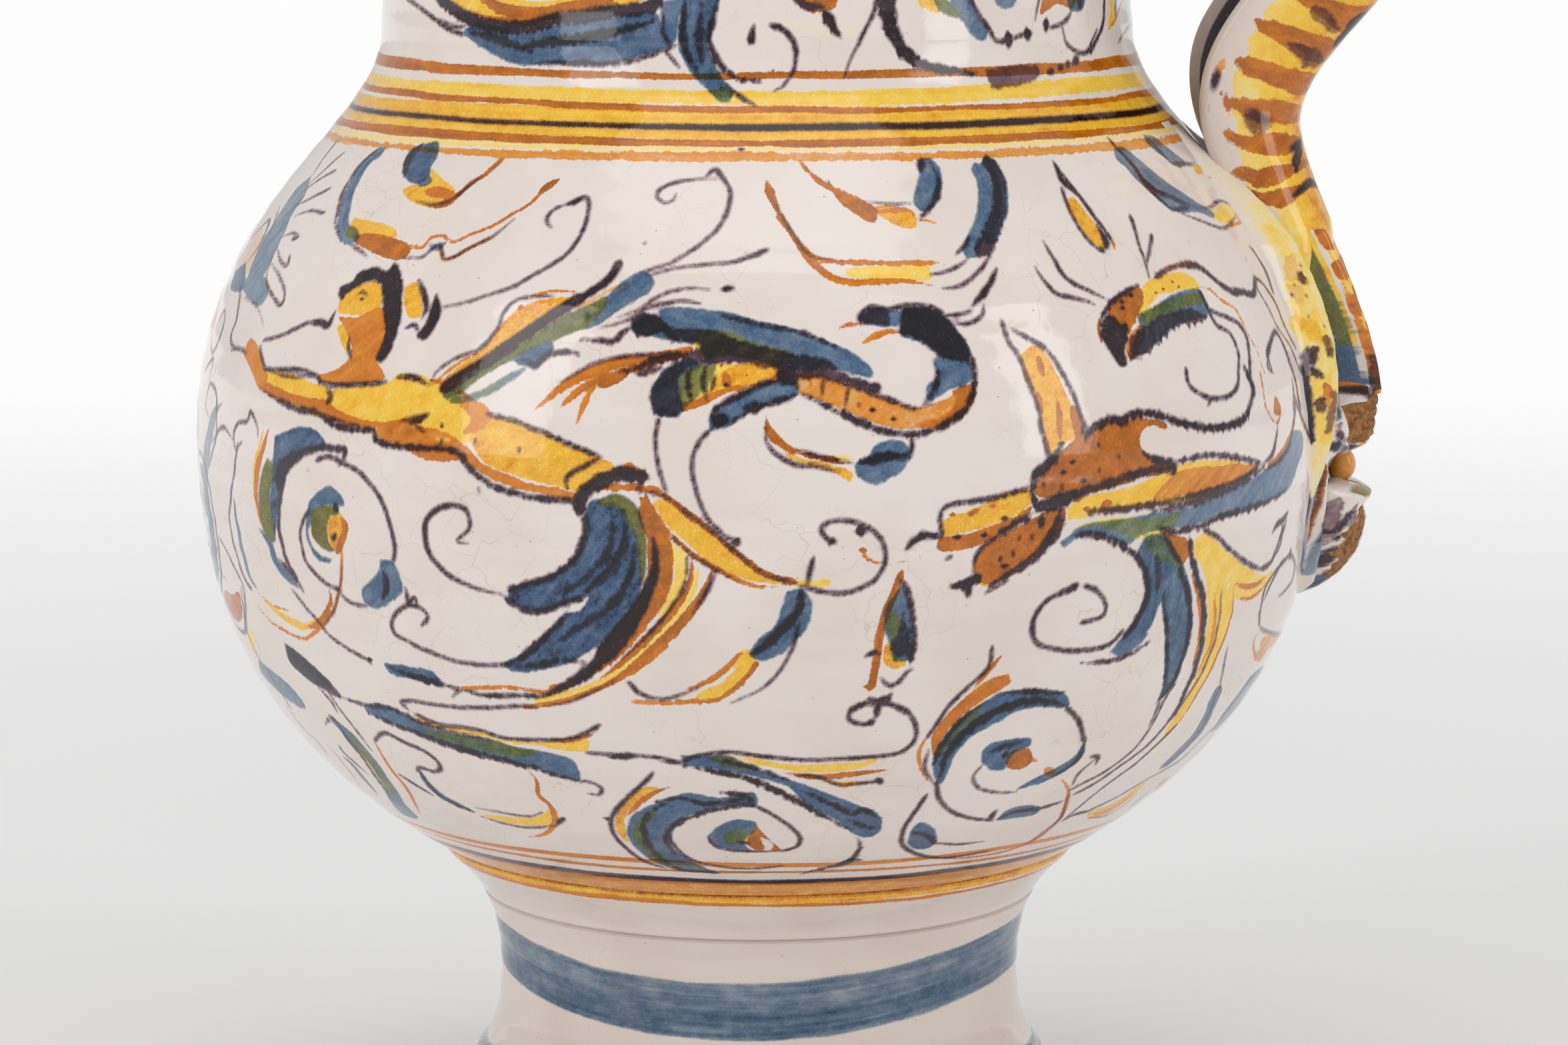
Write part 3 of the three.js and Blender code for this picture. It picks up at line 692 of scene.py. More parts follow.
# Paint. Four colours lie on the white glaze, and a fifth layer is the bare clay of a chip. Each has a
# cover layer, 0.5 at a stroke's edge and rising inwards, and a tone layer, how thickly the colour lies.
pigments = {"blue": 0, "manganese": 1, "orange": 2, "yellow": 3, "clay": 4}
softness = 1.6
rollRadius = 90
brushMargin = 2.4
thinnest, thickest = 0.05, 1.3
tiny = 1e-9


def newCanvas(points, stride=4):
    shape = points.shape[:2] + (5,)
    flat = points.reshape(-1, 3)
    return {"points": points, "cover": np.zeros(shape), "tone": np.zeros(shape), "stride": stride,
            "coarse": points[::stride, ::stride], "low": flat.min(axis=0), "high": flat.max(axis=0)}


canvases = {name: newCanvas(carried(part["loop"][:part["rows"]], angles, pinched)) for name, part in skin.items()}
lowColumns = makeAngles(330, 210)
for name, (loops, nodes, slotName) in turnings.items():
    canvases[name] = newCanvas(carried(loops[0], lowColumns, thrown), 2)
handleGrid, outerColumns = makeHandleGrid()
tonguePoints = makeTongue()


# A flat sheet (u mm across, v mm up) rolled on a cylinder of the jug's size, so that every brush
# works on it as on the jug
def rolled(u, v):
    angle = u / rollRadius
    return np.stack([rollRadius * np.cos(angle), rollRadius * np.sin(angle), v + 0 * u], -1)


def makeHandleCanvas():
    outer = handleGrid[:, :outerColumns]
    middle = outer[len(outer) // 2]
    u = runOf(middle)
    crest = outer[:, outerColumns // 2]
    v = -runOf(crest)
    u, v = np.broadcast_arrays((u - u[-1] / 2)[None, :], v[:, None])
    return newCanvas(rolled(u, v)), u, v


handleCanvas, handleU, handleV = makeHandleCanvas()
maskCanvases = {name: newCanvas(rolled(part["across"], part["levels"])) for name, (part, node) in reliefs.items()}
tongueCanvas = newCanvas(rolled(tonguePoints[..., 1], tonguePoints[..., 2] - jug["bellyWidest"]), 1)
wholeOutline = np.vstack([turnings["foot_flange"][0][0], turnings["stem_tube"][0][0][1:-4],
                          turnings["collar_moulding"][0][0][3:-8], outline[2:]])


# The blocks of rows and columns that a brush can reach, two where it crosses the seam at the back
def reached(canvas, line, margin):
    low, high = line.min(axis=0) - margin, line.max(axis=0) + margin
    if np.any(low > canvas["high"]) or np.any(high < canvas["low"]):
        return []
    inside = np.all((canvas["coarse"] >= low) & (canvas["coarse"] <= high), axis=2)
    rows, columns = np.nonzero(inside.any(axis=1))[0], np.nonzero(inside.any(axis=0))[0]
    if not len(rows):
        return []
    stride = canvas["stride"]
    block = slice(max(rows[0] * stride - stride, 0), (rows[-1] + 1) * stride + 1)
    breaks = np.nonzero(np.diff(columns) > 3)[0]
    groups = np.split(columns, breaks + 1)
    return [(block, slice(max(g[0] * stride - stride, 0), (g[-1] + 1) * stride + 1)) for g in groups]


# Repeatable uneven noise in two directions, from about -1 to 1: random heights on a lattice, eased
# between, in four sizes
latticeSize = 128
latticeHeights = np.random.default_rng(3).uniform(-1, 1, (latticeSize, latticeSize))
grainScale = 0.42


def grain(u, v, seed):
    value = 0
    for octave in range(4):
        p = u * grainScale * 2.1 ** octave + seed * 5.3
        q = v * grainScale * 2.1 ** octave + seed * 2.9
        i, j = np.floor(p).astype(int), np.floor(q).astype(int)
        a, b = p - i, q - j
        a, b = a * a * (3 - 2 * a), b * b * (3 - 2 * b)
        i, j, k, m = (number % latticeSize for number in (i, j, i + 1, j + 1))
        low = latticeHeights[i, j] * (1 - a) + latticeHeights[k, j] * a
        high = latticeHeights[i, m] * (1 - a) + latticeHeights[k, m] * a
        value = value + (low * (1 - b) + high * b) * 0.62 ** octave
    return value / 1.4


# Distance from each place to a short run of a line, how far along it is nearest, and the signed side
def distanceTo(places, line, runStart):
    flat = places.reshape(-1, 3)
    outward = flat * np.array([1, 1, 0]) / np.hypot(flat[:, 0], flat[:, 1])[:, None]
    best = np.full(len(flat), 1e9)
    along = np.zeros(len(flat))
    across = np.zeros(len(flat))
    below = np.zeros(len(flat))
    run = runStart
    for a, b in zip(line[:-1], line[1:]):
        step = b - a
        length = math.sqrt(step @ step) + tiny
        t = np.clip((flat - a) @ step / length ** 2, 0, 1)
        gap = flat - a - t[:, None] * step
        d = np.sqrt(np.einsum("ij,ij->i", gap, gap))
        closer = d < best
        turn = np.einsum("ij,ij->i", np.cross(step[None], gap), outward)
        best = np.where(closer, d, best)
        along = np.where(closer, run + t * length, along)
        across = np.where(closer, np.sign(turn) * d, across)
        below = np.where(closer, -gap[:, 2], below)
        run += length
    shape = places.shape[:2]
    return best.reshape(shape), along.reshape(shape), across.reshape(shape), below.reshape(shape)


def layOn(canvas, block, pigment, inset, tone):
    if pigment == "none":
        kept = np.clip(0.5 - inset / softness, 0, 1)[..., None]
        canvas["cover"][block] = np.minimum(canvas["cover"][block], kept)
        return
    k = pigments[pigment]
    cover = np.clip(0.5 + inset / softness, 0, 1)
    old = canvas["cover"][block][..., k]
    thick = canvas["tone"][block][..., k]
    share = np.clip((cover - np.minimum(old, 0.75)) * 6 + 0.5, 0, 1)
    canvas["tone"][block + (k,)] = np.where(cover > 0.02, thick + (tone - thick) * share, thick)
    canvas["cover"][block + (k,)] = np.maximum(old, cover)


# Half widths along a stroke by how it starts and ends
def strokeWidth(share, shape):
    if shape == "both":
        return np.clip(np.sin(math.pi * np.clip(share, 0.015, 0.985)), 0, 1) ** 0.6
    if shape == "fade":
        return np.clip(1 - share, 0.02, 1) ** 0.55 * smooth(-0.06, 0.08, share)
    if shape == "swell":
        return np.clip(share, 0.02, 1) ** 0.55 * smooth(1.06, 0.92, share)
    return smooth(-0.02, 0.03, share) * smooth(1.02, 0.97, share)


# Smooth line through its points
def rounded(points, steps=6):
    points = np.asarray(points, float)
    if len(points) == 1:
        return points
    if len(points) < 3:
        return np.array([points[0] + (points[-1] - points[0]) * t for t in np.linspace(0, 1, steps + 1)])
    ends = np.vstack([2 * points[0] - points[1], points, 2 * points[-1] - points[-2]])
    t = np.linspace(0, 1, steps, endpoint=False)[:, None]
    parts = []
    for a, b, c, d in zip(ends[:-3], ends[1:-2], ends[2:-1], ends[3:]):
        curve = 2 * b + (c - a) * t + (2 * a - 5 * b + 4 * c - d) * t ** 2 + (3 * b - a - 3 * c + d) * t ** 3
        parts.append(0.5 * curve)
    return np.vstack(parts + [points[-1:]])


strokeCount = 0


# One brush stroke along a line in space: width in mm, tone from start to end, streaks of thin and
# thick paint, a rough edge, and how far the paint ran down in the kiln
def stroke(targets, line, pigment, width, shape="both", tone=(0.8, 0.7), streaks=0.25, rough=0.12, drip=0.25):
    global strokeCount
    strokeCount += 1
    seed = strokeCount
    runs = runOf(line)
    total = runs[-1]
    for k in range(0, len(line) - 1, 5):
        part = line[k:k + 6]
        for canvas in targets:
            for block in reached(canvas, part, width / 2 + brushMargin):
                places = canvas["points"][block]
                distance, along, across, below = distanceTo(places, part, runs[k])
                share = along / total
                half = width / 2 * strokeWidth(share, shape)
                arc = np.arctan2(places[..., 1], places[..., 0]) * rollRadius
                teeth = np.clip(grain(arc * 4.2, places[..., 2] * 0.25, seed + 7), -0.3, 1)
                inset = half - distance + rough * grain(along * 3.1, across * 2, seed)
                inset += drip * teeth * smooth(0, 0.7, below / np.maximum(distance, 0.05)) * np.minimum(half / 0.6, 1.3)
                lines = grain(across * 4.2, along * 0.3, seed + 3)
                thickness = (tone[0] + (tone[1] - tone[0]) * share) * (1 + 0.7 * streaks * lines)
                layOn(canvas, block, pigment, inset, np.clip(thickness, thinnest, thickest))


# A filled shape inside a closed line of (place) points
def fill(targets, line, pigment, tone=0.7, streaks=0.2, rough=0.15, drip=0.25, angleOfStreaks=0.6):
    global strokeCount
    strokeCount += 1
    seed = strokeCount
    line = np.vstack([line, line[:1]])
    middle = np.arctan2(line[:, 1].mean(), line[:, 0].mean())

    def flatten(p):
        angle = (np.arctan2(p[..., 1], p[..., 0]) - middle + math.pi) % (2 * math.pi) - math.pi
        return angle * rollRadius, p[..., 2]

    cornerX, cornerY = flatten(line)
    for canvas in targets:
        for block in reached(canvas, line, brushMargin):
            places = canvas["points"][block]
            x, y = flatten(places)
            inside = np.zeros(x.shape, bool)
            for k in range(len(line) - 1):
                crosses = (cornerY[k] > y) != (cornerY[k + 1] > y)
                rise = cornerY[k + 1] - cornerY[k]
                rise = rise if abs(rise) > tiny else tiny
                at = cornerX[k] + (y - cornerY[k]) / rise * (cornerX[k + 1] - cornerX[k])
                inside ^= crosses & (x < at)
            distance, along, _, below = distanceTo(places, line, 0)
            inset = np.where(inside, distance, -distance) + rough * grain(along * 2.4, distance, seed)
            teeth = np.clip(grain(x * 4.2, y * 0.25, seed + 7), -0.3, 1)
            inset += drip * teeth * smooth(0, 0.7, below / np.maximum(distance, 0.05)) * ~inside
            u = x * math.cos(angleOfStreaks) + y * math.sin(angleOfStreaks)
            v = y * math.cos(angleOfStreaks) - x * math.sin(angleOfStreaks)
            thickness = tone * (1 + 0.6 * streaks * grain(v * 3.2, u * 0.5, seed + 3))
            layOn(canvas, block, pigment, inset, np.clip(thickness, thinnest, thickest))


def anyRadiusAt(height):
    return np.interp(height, wholeOutline[:, 1], wholeOutline[:, 0])


# Where the photograph's pixels fall on the jug: the first crossing of each camera ray and the skin
def onJug(pixels):
    right = (pixels[:, 0] - view["width"] / 2) / view["focalPixels"]
    up = (view["height"] / 2 - pixels[:, 1]) / view["focalPixels"]
    sine, cosine = math.sin(view["tilt"]), math.cos(view["tilt"])
    ray = np.stack([right, cosine + up * sine, up * cosine - sine], -1)
    eye = np.array([view["aside"], -view["distance"], view["eyeHeight"]])
    reach = np.linspace(view["distance"] - 115, view["distance"] + 30, 600)
    places = eye + reach[None, :, None] * ray[:, None, :]
    gap = np.hypot(places[..., 0], places[..., 1]) - anyRadiusAt(places[..., 2])
    hit = gap < 0
    first = np.where(hit.any(axis=1), hit.argmax(axis=1), gap.argmin(axis=1))
    first = np.maximum(first, 1)
    picks = np.arange(len(pixels))
    g0, g1 = gap[picks, first - 1], gap[picks, first]
    share = np.where(hit.any(axis=1), g0 / (g0 - g1 + tiny), 0)[:, None]
    found = places[picks, first - 1] * (1 - share) + places[picks, first] * share
    x, y = turned(found[:, 0], found[:, 1], view["turn"])
    height = found[:, 2]
    angle = np.arctan2(y, x)
    radius, height = pinched(anyRadiusAt(height), height, angle)
    return roundAxis(radius, angle, height)


# A finder of places on a form: among the points that lie near a photograph's pixel, the one nearest
# the camera, given as its place on the rolled sheet
def finderOn(forms):
    points = np.vstack([form.reshape(-1, 3) for form, u, v in forms])
    flat = np.vstack([rolled(u, v).reshape(-1, 3) for form, u, v in forms])
    pixelsOf = toPixels(points)
    y = turned(points[:, 0], points[:, 1], -view["turn"])[1]
    depth = np.hypot(y + view["distance"], points[:, 2] - view["eyeHeight"])

    def find(pixels):
        found = []
        for pixel in pixels:
            away = np.hypot(*(pixelsOf - pixel).T)
            near = np.nonzero(away < away.min() + 4)[0]
            found.append(flat[near[np.argmin(depth[near] + 0.5 * away[near])]])
        return np.array(found)

    return find


nearSide = slice(0, outerColumns // 2 + 8)
onHandle = finderOn([(handleGrid[:, nearSide], handleU[:, nearSide], handleV[:, nearSide])])
onMask = finderOn([(part["front"], part["across"], part["levels"]) for part, node in reliefs.values()])


# The parts of the photograph that were looked at closely: left and top in its pixels, and the enlargement
crops = {
    "upperLeft": (280, 170, 2.178), "upperMiddle": (900, 170, 2.178), "upperRight": (1400, 170, 2.613),
    "middleLeft": (280, 600, 2.178), "middle": (900, 600, 2.178), "middleRight": (1400, 560, 2.613),
    "lowerLeft": (400, 950, 2.178), "lowerRight": (1000, 950, 2.178), "neckLeft": (560, 0, 2.529),
    "neckRight": (1120, 0, 2.529), "handleRoot": (1840, 0, 5.807), "handleFoot": (1720, 60, 5.6),
    "maskTop": (1780, 380, 4.9), "maskNose": (1860, 560, 6.533), "maskChin": (1860, 740, 6.533),
    "leftHalf": (140, 246.7, 0.9143), "upperHalf": (557, -262.6, 0.8272), "plumes": (1504.8, 953.2, 2.177),
    "plumeTips": (1574.8, 773.2, 2.177), "whole": (0, 0, 1),
}


# A part of the photograph looked at closely: strokes on it are written in its own enlarged places,
# as "x,y x,y", and painted on the near side and, mirrored, on the far side
class Sheet:
    def __init__(self, crop, find=onJug, targets=None):
        left, top, self.zoom = crops[crop]
        self.corner, self.find = np.array([left, top]), find
        self.targets = list(canvases.values()) if targets is None else targets

    def smoothed(self, text, closed):
        points = np.array([[float(v) for v in pair.split(",")] for pair in text.split()])
        return rounded(np.vstack([points, points[:1]]))[:-1] if closed else rounded(points)

    def places(self, text, closed=False):
        return self.find(self.smoothed(text, closed) / self.zoom + self.corner)

    def lay(self, tool, line, *given, **named):
        tool(self.targets, line, *given, **named)
        tool(self.targets, line * np.array([1, -1, 1]), *given, **named)

    def line(self, text, width=0.75, pigment="manganese", shape="both", tone=(0.9, 0.72), **named):
        self.lay(stroke, self.places(text), pigment, 1.1 * width, shape, tone, **named)

    def fill(self, text, pigment, tone=0.7, **named):
        self.lay(fill, self.places(text, True), pigment, tone, **named)

    def dots(self, text, size=0.8, pigment="manganese", tone=0.95):
        for pair in text.split():
            point = self.places(pair)[0]
            self.lay(stroke, np.array([point, point + [0, 0, size * 0.2]]), pigment, size, "plain", (tone, tone))


# A part of a rolled sheet, its places written in its own mm across and up
class Flat(Sheet):
    def __init__(self, *targets):
        super().__init__("whole", targets=list(targets))

    def places(self, text, closed=False):
        u, v = self.smoothed(text, closed).T
        return rolled(u, v)


# A band right round the jug at a height, its edges wavering as the brush did on the wheel
def band(height, width, pigment, tone=0.8, waver=0.25, rough=0.1, streaks=0.15, seed=1, gaps=0, sway=None):
    for canvas in canvases.values():
        if height + width + 3 < canvas["low"][2] or height - width - 3 > canvas["high"][2]:
            continue
        places = canvas["points"]
        rows = np.nonzero(np.abs(places[..., 2].mean(axis=1) - height) < width + 3.5)[0]
        if not len(rows):
            continue
        block = (slice(rows[0], rows[-1] + 1), slice(0, places.shape[1]))
        places = places[block]
        angle = np.arctan2(places[..., 1], places[..., 0])
        radius = np.hypot(places[..., 0], places[..., 1])
        rises = np.maximum(np.abs(np.diff(places[:, 0, 2])), 1e-3)
        steps = np.linalg.norm(np.diff(places[:, 0], axis=0), axis=1) / rises
        slant = np.concatenate([steps[:1], steps])[:, None] + 0 * angle
        rng = np.random.default_rng(seed)
        line = height + 0 * angle
        half = width / 2 + 0 * angle
        for turns in (1, 2, 3, 5, 7, 11, 17, 29):
            line += waver * rng.normal() * np.sin(turns * angle + rng.uniform(0, phaseRange)) / turns ** 0.7 * 0.7
            uneven = 0.16 * min(width, 2) * rng.normal()
            half += uneven * np.sin(turns * angle + rng.uniform(0, phaseRange)) / turns ** 0.5 * 0.5
        if sway is not None:
            line += sway(angle)
        away = (places[..., 2] - line) * np.clip(slant, 1, 2.2)
        inset = half - np.abs(away) + rough * grain(angle * radius * 2.6, away * 1.5, seed)
        inset -= gaps * smooth(0.35, 0.8, grain(angle * radius * 0.9, away * 0.5, seed + 9))
        lines = streaks * grain(away * 5, angle * radius * 0.12, seed + 4)
        thickness = tone * (1 + lines + streaks * 0.7 * grain(angle * radius * 0.5, away, seed + 5))
        layOn(canvas, block, pigment, inset, np.clip(thickness, thinnest, thickest))


# The rows of the photograph between which the painted bands lie, read at the jug's middle
photoRows = {
    "topLine": (105, 122), "upperYellow": (134, 156), "secondLine": (156, 166), "middleYellow": (165, 190),
    "darkLine": (188, 197), "lowerYellow": (195, 210), "thirdLine": (208, 221), "paleYellow": (219, 229),
    "paleLine": (232, 245), "ringTop": (1296, 1301), "ringSecond": (1308, 1312), "ringDark": (1320, 1326),
    "ringYellow": (1325, 1347), "ringUpperEdge": (1325, 1329), "ringStreak": (1334, 1337), "stemYellow": (1346, 1357),
    "ringLowerEdge": (1345, 1348), "stemLine": (1357, 1362), "footBlue": (1478, 1562), "footDark": (1516, 1561),
}


def bandRows(name, pigment, **named):
    top, bottom = photoRows[name]
    ends = onJug(np.array([[view["jugMiddle"], top], [view["jugMiddle"], bottom]]))
    band((ends[0, 2] + ends[1, 2]) / 2, np.linalg.norm(ends[0] - ends[1]), pigment, **named)


print("canvases ready")

bandRows("topLine", "orange", tone=0.85, waver=0.3, seed=11, gaps=0.15)
bandRows("upperYellow", "yellow", tone=0.55, waver=0.3, seed=12, rough=0.3)
bandRows("secondLine", "orange", tone=0.85, waver=0.35, seed=13, gaps=0.1)
bandRows("middleYellow", "yellow", tone=0.74, waver=0.1, seed=14)
bandRows("darkLine", "manganese", tone=0.95, waver=0.22, seed=15)
bandRows("darkLine", "orange", tone=0.5, waver=0.22, seed=15)
bandRows("lowerYellow", "yellow", tone=0.74, waver=0.1, seed=16)
bandRows("thirdLine", "orange", tone=0.85, waver=0.2, seed=17, gaps=0.1)
bandRows("paleYellow", "yellow", tone=0.35, waver=0.2, seed=18, rough=0.25)
bandRows("paleLine", "orange", tone=0.42, waver=0.35, seed=19, rough=0.4, gaps=0.2)

bandRows("ringTop", "orange", tone=0.6, seed=21)
bandRows("ringSecond", "orange", tone=0.7, seed=22)
bandRows("ringDark", "manganese", tone=0.7, seed=23)
bandRows("ringYellow", "yellow", tone=1.0, waver=0.1, seed=24)
bandRows("ringUpperEdge", "orange", tone=0.7, seed=28)
bandRows("ringStreak", "orange", tone=0.4, seed=29, gaps=0.2)
bandRows("stemYellow", "yellow", tone=0.8, waver=0.1, seed=25)
bandRows("ringLowerEdge", "manganese", tone=0.3, seed=30, gaps=0.3)
bandRows("stemLine", "orange", tone=0.6, seed=26)
# The foot's blue band was painted bowed, lowest at the near side
for name, thickness, seed in (("footBlue", 0.46, 27), ("footDark", 0.62, 36)):
    bandRows(name, "blue", tone=thickness, waver=0.16, seed=seed, rough=0.06, streaks=0.35,
             sway=lambda angle: 4.9 * np.cos(angle) ** 2)
print("bands painted")


# Materials. feed gives a socket its value, or joins it to another node's.
def feed(tree, socket, value):
    if isinstance(value, bpy.types.NodeSocket):
        tree.links.new(value, socket)
    else:
        socket.default_value = value


# Makes a node with its settings, and with what its sockets hold or are joined to. A socket is named,
# or i0, i1 and so on by its number.
def addNode(tree, kind, settings=None, **sockets):
    node = tree.nodes.new(kind)
    for key, value in (settings or {}).items():
        setattr(node, key, value)
    for key, value in sockets.items():
        feed(tree, node.inputs[int(key[1:]) if key[1:].isdigit() else key], value)
    return node


def maths(tree, operation, a, b=0.0, clamp=False):
    return addNode(tree, "ShaderNodeMath", {"operation": operation, "use_clamp": clamp}, i0=a, i1=b).outputs[0]


def ramp(tree, value, low, high, out0=0.0, out1=1.0):
    node = addNode(tree, "ShaderNodeMapRange", {"interpolation_type": "SMOOTHSTEP"}, Value=value)
    for key, number in (("From Min", low), ("From Max", high), ("To Min", out0), ("To Max", out1)):
        node.inputs[key].default_value = number
    return node.outputs[0]


def mixColour(tree, amount, first, second, blend="MIX"):
    node = addNode(tree, "ShaderNodeMix", {"data_type": "RGBA", "blend_type": blend}, i0=amount)
    feed(tree, node.inputs[6], first)
    feed(tree, node.inputs[7], second)
    return node.outputs[2]


# Colour by how thickly the paint lies: a ramp through named sRGB stops
def shades(tree, value, stops):
    node = addNode(tree, "ShaderNodeValToRGB", None, Fac=value)
    elements = node.color_ramp.elements
    while len(elements) < len(stops):
        elements.new(0.5)
    for element, (position, hexColour) in zip(elements, stops):
        element.position = position
        element.color = linear(hexColour)
    return node.outputs[0]


# Pattern size in real mm: noise scale is per metre of object space
def noise(tree, millimetres, detail, roughness, place):
    node = addNode(tree, "ShaderNodeTexNoise", None, Vector=place, Scale=1000 / millimetres, Detail=detail,
                   Roughness=roughness)
    return node.outputs[0]


# Sizes of the glaze's patterns in mm
patternSize = {
    "fine": 0.42, "coarse": 2.6, "mottle": 19, "pinhole": 0.62, "warp": 11, "crackCell": 8, "crackFade": 24,
    "speck": 2.3, "dirt": 1.1, "peel": 3.4,
}
glazeColours = {
    "white": "#E5DBD4",
    "warm": "#D7C7BB",
    "crack": "#B79E83",
    "speck": "#5B3B22",
    "yellow": ((0.0, "#F1E7B4"), (0.35, "#F3D668"), (0.65, "#EFBD38"), (0.9, "#E5A01F"), (1.1, "#D48518")),
    "orange": ((0.0, "#EAB87C"), (0.4, "#DD9030"), (0.7, "#CA7211"), (1.0, "#A05708")),
    "blue": ((0.0, "#DDE4EA"), (0.38, "#9AB2C8"), (0.68, "#5F86AD"), (0.92, "#3D618A"), (1.12, "#22314C")),
    "clay": ((0.0, "#3A2415"), (0.35, "#6E4526"), (0.6, "#A4713F"), (1.0, "#C99762")),
    "manganese": ((0.0, "#E3D6D6"), (0.3, "#A08893"), (0.6, "#5A4150"), (1.0, "#2B1B24")),
}


def paintedGlaze(name, cracks=1.0, warmth=0.0):
    material = bpy.data.materials.new(name)
    material.use_nodes = True
    tree = material.node_tree
    shader = tree.nodes["Principled BSDF"]
    place = addNode(tree, "ShaderNodeTexCoord").outputs["Object"]
    cover = addNode(tree, "ShaderNodeAttribute", {"attribute_name": "cover"})
    tone = addNode(tree, "ShaderNodeAttribute", {"attribute_name": "tone"})
    covers = addNode(tree, "ShaderNodeSeparateColor", None, Color=cover.outputs["Color"]).outputs
    tones = addNode(tree, "ShaderNodeSeparateColor", None, Color=tone.outputs["Color"]).outputs
    covers = [covers[0], covers[1], covers[2], cover.outputs["Alpha"]]
    tones = [tones[0], tones[1], tones[2], tone.outputs["Alpha"]]
    fine = noise(tree, patternSize["fine"], 3.0, 0.7, place)
    coarse = noise(tree, patternSize["coarse"], 3.0, 0.6, place)
    pale = noise(tree, patternSize["mottle"], 2.0, 0.5, place)
    pinholes = addNode(tree, "ShaderNodeTexVoronoi", None, Vector=place, Scale=1000 / patternSize["pinhole"])
    dots = ramp(tree, pinholes.outputs["Distance"], 0.16, 0.3)

    # The white glaze: slightly mottled, with fine cracks and brown specks
    mottled = ramp(tree, pale, 0.35, 0.7, warmth, min(warmth + 0.35, 1))
    base = mixColour(tree, mottled, linear(glazeColours["white"]), linear(glazeColours["warm"]))
    warped = addNode(tree, "ShaderNodeVectorMath", {"operation": "MULTIPLY_ADD"}, i1=(0.012, 0.012, 0.012), i2=place)
    wobble = addNode(tree, "ShaderNodeTexNoise", None, Vector=place, Scale=1000 / patternSize["warp"], Detail=3.0)
    tree.links.new(wobble.outputs["Color"], warped.inputs[0])
    cells = addNode(tree, "ShaderNodeTexVoronoi", {"feature": "DISTANCE_TO_EDGE"}, Vector=warped.outputs[0],
                    Scale=1000 / patternSize["crackCell"])
    web = ramp(tree, cells.outputs["Distance"], 0.003, 0.011, 1.0, 0.0)
    fading = noise(tree, patternSize["crackFade"], 2.0, 0.5, place)
    crack = maths(tree, "MULTIPLY", web, ramp(tree, fading, 0.47, 0.66, 0.0, 0.4 * cracks))
    base = mixColour(tree, crack, base, linear(glazeColours["crack"]))
    spots = addNode(tree, "ShaderNodeTexVoronoi", None, Vector=place, Scale=1000 / patternSize["speck"])
    chosen = addNode(tree, "ShaderNodeSeparateColor", None, Color=spots.outputs["Color"]).outputs
    near = ramp(tree, spots.outputs["Distance"], 0.035, 0.075, 1.0, 0.0)
    speck = maths(tree, "MULTIPLY", near, ramp(tree, chosen[0], 0.62, 0.66, 0.0, 0.8))
    speckColour = mixColour(tree, chosen[1], linear(glazeColours["speck"]), linear(glazeColours["crack"]))
    base = mixColour(tree, speck, base, speckColour)

    # Each colour's own edge, grain and shade
    def layer(pigment, soft, jitter, grainAmount, holes):
        k = pigments[pigment]
        shaken = maths(tree, "ADD", covers[k], maths(tree, "MULTIPLY", maths(tree, "SUBTRACT", fine, 0.5), jitter))
        edge = ramp(tree, shaken, 0.5 - soft, 0.5 + soft)
        grains = maths(tree, "MULTIPLY", maths(tree, "ADD", fine, coarse), grainAmount)
        thick = maths(tree, "MULTIPLY", tones[k], maths(tree, "ADD", 1 - grainAmount, grains))
        if holes:
            gaps = maths(tree, "ADD", dots, ramp(tree, coarse, 0.48, 0.68), True)
            thick = maths(tree, "MULTIPLY", thick, maths(tree, "ADD", 1 - holes, maths(tree, "MULTIPLY", gaps, holes)))
        return edge, thick

    edge, thick = layer("yellow", 0.09, 0.3, 0.7, 0.38)
    base = mixColour(tree, maths(tree, "MULTIPLY", edge, ramp(tree, thick, 0.05, 0.5, 0.15, 1.0)), base,
                     shades(tree, thick, glazeColours["yellow"]))
    edge, thick = layer("orange", 0.08, 0.32, 0.6, 0.22)
    base = mixColour(tree, maths(tree, "MULTIPLY", edge, ramp(tree, thick, 0.05, 0.45, 0.2, 1.0)), base,
                     shades(tree, thick, glazeColours["orange"]))
    # Blue and manganese bleed a little way into the wet glaze
    for pigment, tint, reach in (("blue", "#CBD6E2", 0.3), ("manganese", "#CDBFCA", 0.2)):
        k = pigments[pigment]
        bleed = maths(tree, "MULTIPLY", ramp(tree, covers[k], reach, 0.5), ramp(tree, tones[k], 0.1, 0.6))
        base = mixColour(tree, bleed, base, linear(tint), "MULTIPLY")
    edge, thick = layer("blue", 0.16, 0.32, 0.95, 0.18)
    base = mixColour(tree, edge, base, shades(tree, thick, glazeColours["blue"]), "MULTIPLY")
    edge, thick = layer("manganese", 0.17, 0.36, 0.55, 0.5)
    base = mixColour(tree, edge, base, shades(tree, thick, glazeColours["manganese"]), "MULTIPLY")

    # Bare clay where the glaze is knocked off: rough, ochre-brown, dirty in its hollows
    clay = addNode(tree, "ShaderNodeAttribute", {"attribute_name": "clay"})
    bare = addNode(tree, "ShaderNodeSeparateColor", None, Color=clay.outputs["Color"]).outputs
    ragged = maths(tree, "MULTIPLY", maths(tree, "SUBTRACT", coarse, 0.5), 0.3)
    broken = ramp(tree, maths(tree, "ADD", bare[0], ragged), 0.44, 0.54)
    dirt = noise(tree, patternSize["dirt"], 4.0, 0.7, place)
    earth = shades(tree, maths(tree, "ADD", maths(tree, "MULTIPLY", dirt, 1.3), -0.15), glazeColours["clay"])
    base = mixColour(tree, broken, base, earth)

